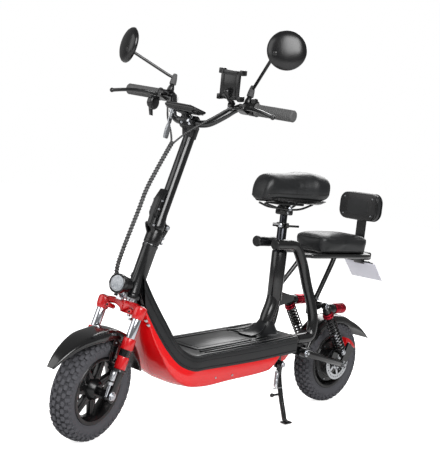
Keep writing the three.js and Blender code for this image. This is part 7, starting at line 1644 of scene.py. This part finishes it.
@dataclass
class RearSeat:
    """The rack with its cushion, backrest, tail lamp and plate."""

    rack_z: float = 538.0
    half: float = 66.0
    rear: float = -637.0
    bend: float = 33.0
    tube_radius: float = 8.3
    lamp: tuple = (-653.3, 532.0)
    lamp_size: tuple = (42.0, 52.0, 30.0)

    def rack(self) -> None:
        """The rack's rails, stays and cross bars, over the CAD rack."""
        piece = Workpiece("rack_tubes")
        z, half = self.rack_z, self.half
        left = [
            (-290, 54), (-298, half), (-455, half), (self.rear + self.bend, half), (self.rear + 10, 56),
            (self.rear, self.bend)]
        rail = [(x, y, z) for x, y in left] + [(x, -y, z) for x, y in reversed(left)]
        piece.tube(rail, self.tube_radius, POWDER, 24, 8)
        for side in BOTH:
            piece.tube(
                [(-417, side * half, z), (-395, side * 70.8, 505.9), (-307, side * 90, 392)],
                self.tube_radius, POWDER, 24, 6)
            piece.bolt((-311, side * 98, 396), (0, side, 0), 4)
        for x in (-380, -475, -570):
            piece.rod((x, -half, z), (x, half, z), 5.8, POWDER)
        for side in BOTH:
            for z in (689, 716):
                piece.bolt((-638.6, side * 10, z), (-1, 0, 0), 4.4)
        piece.done()

    def cushion_rows(self, length: float, width: float, thick: float, crown: float, corner: float) -> Rings:
        """A cushion's rings from its underside to its crown, about the origin."""
        levels = (
            (0.9, 0), (0.965, 0.03), (0.98, 0.1), (0.972, 0.3), (0.985, 0.5), (1, 0.68), (0.992, 0.8),
            (0.955, 0.9), (0.87, 0.96), (0.72, 1), (0.5, 1), (0.25, 1), (0.06, 1))
        rows = []
        for scale, up in levels:
            row = []
            for x, y in rounded(length, width, min(length, width) * corner, 7):
                px, py = x * scale, y * scale
                dome = crown * (1 - (px * 2 / length) ** 2) * (1 - (py * 2 / width) ** 2)
                row.append(Vector((px, py, thick * up + (dome if up >= 0.9 else 0))))
            rows.append(row)
        return rows

    def pad(self, node: str, place: Matrix, size: Place, crown: float, corner: float) -> None:
        """A stuffed pad with its welt, standing on its place."""
        length, width, thick = size
        piece = Workpiece(f"{node}_cover", place)
        rows = self.cushion_rows(length, width, thick, crown, corner)
        piece.surface(
            [[Vector((p.x * 0.985, p.y * 0.98, p.z * 0.98 + 0.6)) for p in row] for row in rows],
            SEAT_LEATHER, closed=True)
        cover = piece.done(node)
        inflate(cover, 3.0, 2.5)
        trim = Workpiece(f"{node}_welt")
        outline = rounded(length, width, min(length, width) * corner, 7)
        for height in (thick * 0.84, thick * 0.12):
            points = [place @ Vector((x, y, height)) for x, y in outline]
            loop = seam_on(cover, points, [place @ Vector((x * 0.4, y * 0.4, height)) for x, y in outline])
            trim.tube([*loop, loop[0]], 1.5, WELT, 10, 0)
        if node == "backrest_pad":
            trim.place = place
            face = thick + 3.4
            board = ((0.8, -2.2), (0.9, -1.8), (0.965, 0), (0.985, 3), (0.97, 5))
            cover_plate = (
                (0.93, thick - 3), (0.94, face - 1.4), (0.925, face), (0.88, face + 0.4), (0.3, face + 0.6))
            for rings in (board, cover_plate):
                trim.surface(
                    [[Vector((x * wide, y * wide, height)) for x, y in outline] for wide, height in rings],
                    ABS, closed=True)
            for across in BOTH:
                for up in BOTH:
                    trim.bolt((up * 31, across * 62, face + 0.8), (0, 0, 1), 2.6, ZINC)
        trim.done(slot="saddle_leather")

    def pads(self) -> None:
        """The rear cushion and the backrest."""
        self.pad("rear_cushion", shift(-474, 0, 546.3), (266, 144, 60), 9, 0.2)
        upright = shift(-632, 0, 713.5) @ spun(90, "Y")
        self.pad("backrest_pad", upright, (104, 178, 28), 3, 0.34)

    def tail(self) -> None:
        """The tail lamp: a black case with a red lens."""
        piece = Workpiece("tail_lamp_case")
        (foot, middle), (depth, width, height) = self.lamp, self.lamp_size
        case = ((0, 0.7), (0.06, 0.9), (0.16, 0.99), (0.6, 1), (0.78, 0.94))
        lens = ((0.7, 0.9), (0.86, 0.84), (0.96, 0.7), (1, 0.5))
        for rings, corner, finish in ((case, 8, ABS), (lens, 7, RED_ACRYLIC)):
            rows = []
            for back, wide in rings:
                ring = rounded(height * wide, width * wide, corner, 5)
                rows.append([Vector((foot - depth * back, y, middle + z)) for z, y in ring])
            piece.surface(rows, finish, closed=True)
        piece.slab((-648, 0, 538), (20, 30, 7.6), CASTING, 1.0)
        piece.done("tail_lamp")

    def plate(self) -> None:
        """The plate's bracket with the bare plate on it."""
        piece = Workpiece("plate_bracket_sheet")
        piece.plate(
            [(-648, 529.6), (-630, 529.6), (-630, 523.6), (-645.6, 504), (-660, 501.6), (-656.4, 513)][::-1],
            39, POWDER, soften=1.0)
        run = Vector((-56, 0, -61)).normalized()
        off = Vector((-0.737, 0, 0.676))
        turn = Matrix(((-run.x, 0, off.x), (0, 1, 0), (-run.z, 0, off.z))).to_4x4()
        middle = Vector((-682, 0, 479.5)) - off * 1.6
        piece.slab((-656, 0, 508), (12, 118, 3), POWDER, 0.8, turn)
        piece.slab(Vector((-654, 0, 508)) + off * 3.2, (9, 92, 5), ABS, 1.4, turn)
        piece.slab(middle - off * 0.4, (84, 140, 1.6), WHITE_SHEET, 0.5, turn)
        for side in BOTH:
            piece.bolt(Vector((-655, side * 36, 508)) + off * 5.6, off, 3.2, POWDER)
        piece.done("plate_bracket")


@dataclass
class Stand:
    """The side stand and its spring."""

    pivot: tuple = (-151.0, 104.0, 188.0)
    line_y: float = 121.5

    def leg(self) -> None:
        """The forged leg with its flattened foot and the stop pin."""
        piece = Workpiece("kickstand_forging")
        x, y, z = self.pivot
        piece.tube(
            [(x, y, z - 6), (x, y, z - 34), (x + 1.5, 123.3, 87.2), (x + 2.6, 146, 30), (-148.6, 150, 18),
             (-156, 151, 9)], 8.6, POWDER, 28, 8, taper=7.4)
        piece.rod((x, y - 8.5, z), (x, y + 8.5, z), 11.6, POWDER, 32, soften=1.0)
        piece.slab((-160, 150, 5.4), (34, 24, 6.4), POWDER, 2.6)
        peg = 92.6
        piece.rod((x, self.line_y, peg), (x + 41, self.line_y, peg), 3.6, POWDER, 16)
        piece.ball((x + 43, self.line_y, peg), 7, ABS)
        piece.rod((x, self.line_y, 114.5), (-111, self.line_y, 114.5), 1.7, ZINC, 12)
        piece.done("kickstand_leg")

    def spring(self) -> None:
        """The return spring between its two hooks."""
        piece = Workpiece("kickstand_spring_coil")
        x, y = -120, self.line_y
        piece.coil(6, 1.5, 121, 169, 13, ZINC, shift(x, y, 0))
        for low in (116, 168):
            piece.rod((x, y, low), (x, y, low + 6), 1.4, ZINC, 10)
        piece.done("kickstand_spring")


@dataclass
class RearSuspension:
    """The swing arm and the twin shocks with their red tanks."""

    pivot: tuple = (-275.0, 96.0, 215.0)
    axle: tuple = (-520.0, 76.0, 150.0)
    top: tuple = (-368.0, 88.0, 368.0)
    bottom: tuple = (-490.0, 88.0, 200.0)
    spring: tuple = (25.4, 158.6)
    spring_keep: float = 0.824
    cap_turn: float = 2.2

    def arm(self) -> None:
        """The swing arm's tubes and bosses, over the CAD arm."""
        piece = Workpiece("swing_arm_tubes")
        start = Vector(self.pivot)
        stop = start.lerp(Vector(self.axle), 0.97)
        for side in BOTH:
            flip = mirrored(side)
            piece.rod(flip @ start, flip @ stop, 13.3, POWDER, 36, taper=11.2)
            piece.rod(
                flip @ (start - Vector((0, 11.4, 0))), flip @ (start + Vector((0, 11.4, 0))), 15.2, POWDER,
                40, soften=1.2)
            piece.nut(flip @ Vector((-520, 80.4, 150)), (0, side, 0), 11.4, 8.4)
            piece.nut(flip @ Vector((-490, 97.6, 200)), (0, side, 0), 8.6, 5)
        piece.done(body="swing")

    def calliper(self) -> None:
        """The rear calliper's casting over the disc, with its bolts."""
        x, _, z = self.axle
        piece = Workpiece("rear_calliper_casting")
        outer = [(x + 96 * cos(a), z + 96 * sin(a)) for a in (radians(v) for v in range(106, 147, 8))]
        inner = [(x + 62 * cos(a), z + 62 * sin(a)) for a in (radians(v) for v in range(142, 105, -9))]
        piece.plate((outer + inner)[::-1], 25, RED_CASTING, middle=54.5, soften=3.0)
        for angle in (114, 138):
            way = radians(angle)
            piece.bolt((x + 79 * cos(way), 68, z + 79 * sin(way)), (0, 1, 0), 4.4)
        x, z = x + 72 * cos(self.cap_turn), z + 72 * sin(self.cap_turn)
        piece.rod((x, 66, z), (x, 70, z), 11, CASTING, 28, soften=1.2)
        piece.done("rear_calliper")

    def shock(self, label: str, side: int) -> None:
        """One shock: body with collars and tank, spring, and rod."""
        run = Vector(self.top) - Vector(self.bottom)
        length = run.length
        on = mirrored(side) @ along(self.bottom, self.top)
        lean = atan2(run.x, run.z)
        body = Workpiece(f"shock_body_{label}_can", on)
        body.drum(10.4, 87, 166, POWDER, steps=36)
        body.lathe(
            [(10, 162), (19, 162), (19.6, 163.2), (19.6, 168.4), (19, 169.6), (10, 169.6)], RED_ANODISED,
            steps=48, soften=0.6, ring=True)
        body.lathe(
            [(10, 171), (17, 171), (17.4, 172.4), (17.4, 176.6), (16.6, 178), (10, 178)], RED_ANODISED,
            steps=48, soften=0.5, ring=True)
        body.lathe(
            [(0, 176), (13.4, 178), (13.4, 194), (8, 199), (8, 205), (0, 205)], CASTING, steps=40,
            soften=0.8)
        for low in (181, 185, 189):
            body.hoop(13, low, 1.2, 1, CASTING, steps=40)
        body.rod((0, -8, length), (0, 8, length), 11.2, CASTING, 36, soften=0.9)
        upright = shift(0, 0, length - 12) @ Matrix.Rotation(-lean, 4, "Y")
        tank = upright @ shift(-13, 0, 0) @ spun(-90, "Y")
        body.lathe([(0, -4), (12, -4), (15.6, 4), (15.6, 30), (0, 30)], CASTING, tank, 40, soften=1.2)
        body.lathe(
            [(0, 28), (17, 28), (18, 31), (18, 50), (16.6, 52), (16.6, 55), (18, 57), (18, 76), (14, 83),
             (0, 84)], RED_ANODISED, tank, 44, soften=0.6)
        body.done(f"shock_body_{label}")
        coil = Workpiece(f"shock_coil_{label}_wire", on)
        low, high = self.spring
        coil.coil(16.5, 3, low, high, 10, POWDER)
        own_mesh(coil.done(f"shock_coil_{label}"))
        rod = Workpiece(f"shock_rod_{label}_rod", on)
        rod.rod((0, 0, 6), (0, 0, 100), 6, HARD_CHROME, 28)
        rod.lathe(
            [(0, 2), (8, 2), (8, 9), (10.4, 12.6), (19.4, 19.2), (19.4, 22), (9.2, 22), (9.2, 25), (0, 25)],
            CASTING, steps=44, soften=0.6)
        rod.rod((0, -8, 0), (0, 8, 0), 11.2, CASTING, 36, soften=0.9)
        rod.done(f"shock_rod_{label}")


@dataclass
class PhotoCamera:
    """The camera at the photograph's viewing angle."""

    azimuth: float = 44.66
    elevation: float = 4.33
    roll: float = -6.34
    distance: float = 2789.2
    target: tuple = (88.2, 0.0, 611.1)
    focal_px: float = 895.6
    long_side_px: float = 458.0

    def build(self) -> None:
        """Makes the camera and sets it as the scene's."""
        a, e, r = (radians(v) for v in (self.azimuth, self.elevation, self.roll))
        back = Vector((sin(a) * cos(e), cos(a) * cos(e), sin(e)))
        right = (-back).cross(Vector((0, 0, 1))).normalized()
        down = (-back).cross(right)
        turned_right = right * cos(r) + down * sin(r)
        turned_down = down * cos(r) - right * sin(r)
        data = bpy.data.cameras.new("photo_camera")
        data.sensor_width = 36
        data.lens = self.focal_px / self.long_side_px * 36
        data.clip_start, data.clip_end = 0.05, 60
        camera = bpy.data.objects.new("photo_camera", data)
        bpy.context.scene.collection.objects.link(camera)
        spot = (Vector(self.target) + back * self.distance) * MM
        turn = Matrix((turned_right, -turned_down, back)).transposed().to_4x4()
        camera.matrix_world = Matrix.Translation(spot) @ turn
        bpy.context.scene.camera = camera


@dataclass
class Studio:
    """The floor, the world and the lamps."""

    floor_m: float = 24.0

    def build(self) -> None:
        """Makes the floor, the world and three soft lamps."""
        shape = bmesh.new()
        bmesh.ops.create_grid(shape, x_segments=1, y_segments=1, size=self.floor_m / 2)
        mesh = bpy.data.meshes.new("studio_floor")
        shape.to_mesh(mesh)
        shape.free()
        floor = bpy.data.objects.new("studio_floor", mesh)
        bpy.context.scene.collection.objects.link(floor)
        floor.location.z = -0.0012
        mesh.materials.append(self.floor_paint())
        self.world()
        self.lamp("key_softbox", (1.6, 3.2, 3.0), 2.6, 200)
        self.lamp("fill_softbox", (3.4, -1.2, 2.2), 3.4, 70)
        self.lamp("back_softbox", (-3.0, -1.6, 2.8), 2.6, 90)

    def floor_paint(self) -> bpy.types.Material:
        """White floor paint that looks white to the camera and keeps the shadow."""
        made = bpy.data.materials.new("white_floor_paint")
        made.use_nodes = True
        tree = made.node_tree
        shader = tree.nodes["Principled BSDF"]
        shader.inputs["Base Color"].default_value = linear("#f4f4f4")
        shader.inputs["Roughness"].default_value = 0.9
        rays = add_node(tree, "ShaderNodeLightPath").outputs
        level = add_node(tree, "ShaderNodeMath", {"operation": "MULTIPLY"})
        tree.links.new(rays["Is Camera Ray"], level.inputs[0])
        level.inputs[1].default_value = 0.8
        shader.inputs["Emission Color"].default_value = (1, 1, 1, 1)
        tree.links.new(level.outputs[0], shader.inputs["Emission Strength"])
        return made

    def world(self) -> None:
        """An even white surround, seen as white and dimmer as a light."""
        world = bpy.data.worlds.new("white_surround")
        bpy.context.scene.world = world
        world.use_nodes = True
        tree = world.node_tree
        ground = tree.nodes["Background"]
        ground.inputs["Color"].default_value = (1, 1, 1, 1)
        rays = add_node(tree, "ShaderNodeLightPath").outputs
        clear = add_node(tree, "ShaderNodeMath", {"operation": "MAXIMUM"})
        tree.links.new(rays["Is Camera Ray"], clear.inputs[0])
        tree.links.new(rays["Is Transmission Ray"], clear.inputs[1])
        strength = add_node(
            tree, "ShaderNodeMapRange", {"To Min": 0.25, "To Max": 1.0}, {"Value": clear.outputs[0]})
        tree.links.new(strength.outputs["Result"], ground.inputs["Strength"])

    def lamp(self, name: str, at: Place, size: float, power: float) -> None:
        """A square soft lamp aimed at the scooter's middle."""
        data = bpy.data.lights.new(name, "AREA")
        data.size = size
        data.energy = power
        lamp = bpy.data.objects.new(name, data)
        bpy.context.scene.collection.objects.link(lamp)
        way = Vector((0, 0, 0.5)) - Vector(at)
        lamp.location = at
        lamp.rotation_mode = "QUATERNION"
        lamp.rotation_quaternion = way.to_track_quat("-Z", "Y")


# The CAD nodes that keep their own shape, and their finishes.
KEPT_SHAPES = {
    "main_frame": POWDER, "side_loop_left": POWDER, "side_loop_right": POWDER,
    "rack_frame": POWDER, "swing_arm": POWDER, "front_calliper": CASTING,
    "left_control": ABS, "right_control": ABS, "throttle_paddle": ABS,
    "horn_button": ABS, "battery_pack": SHRINK_WRAP, "motor_controller": ZINC_ALLOY,
    "head_bearing_lower": STEEL, "head_bearing_upper": STEEL,
}


def main() -> None:
    """Builds the camera, the scooter and the studio."""
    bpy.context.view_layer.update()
    PhotoCamera().build()
    front = Wheel(FRONT_HUB)
    front.tyre("front_tyre")
    front.spoked_rim("front_rim")
    front.disc("front_disc", 58, -38)
    rear = Wheel(REAR_HUB)
    rear.tyre("rear_tyre")
    rear.hub_motor("hub_motor")
    rear.disc("rear_disc", 60, 53)
    fork = Fork()
    fork.crown()
    fork.axle()
    Mudguard("front_mudguard", "front_fender", FRONT_HUB, start=8, end=150, radius=178, tip=212).front()
    Mudguard("rear_mudguard", "rear_fender", REAR_HUB, start=16, end=158, radius=169, tip=207).rear()
    Headlight().build()
    stem = Stem()
    stem.base()
    stem.upper()
    stem.lever()
    cockpit = Cockpit()
    cockpit.bar()
    cockpit.display()
    cockpit.key()
    cockpit.phone_holder()
    cockpit.cables()
    cockpit.clusters()
    chassis = Chassis()
    chassis.head()
    chassis.seat_tube()
    chassis.stand_bracket()
    body = Bodywork()
    body.deck()
    suspension = RearSuspension()
    suspension.arm()
    suspension.calliper()
    for label, side in SIDES:
        fork.lower(label, side)
        cockpit.grip(label, side)
        cockpit.brake_lever(label, side)
        cockpit.mirror(label, side)
        chassis.loop(label, side)
        body.panel(label, side)
        suspension.shock(label, side)
    seat = SeatParts()
    seat.post()
    seat.saddle()
    seat.clamp()
    rack = RearSeat()
    rack.rack()
    rack.pads()
    rack.tail()
    rack.plate()
    stand = Stand()
    stand.leg()
    stand.spring()
    for node, finish in KEPT_SHAPES.items():
        plain(node, finish)
    Studio().build()
    bpy.context.scene.view_settings.view_transform = "Standard"


if __name__ == "__main__":
    main()
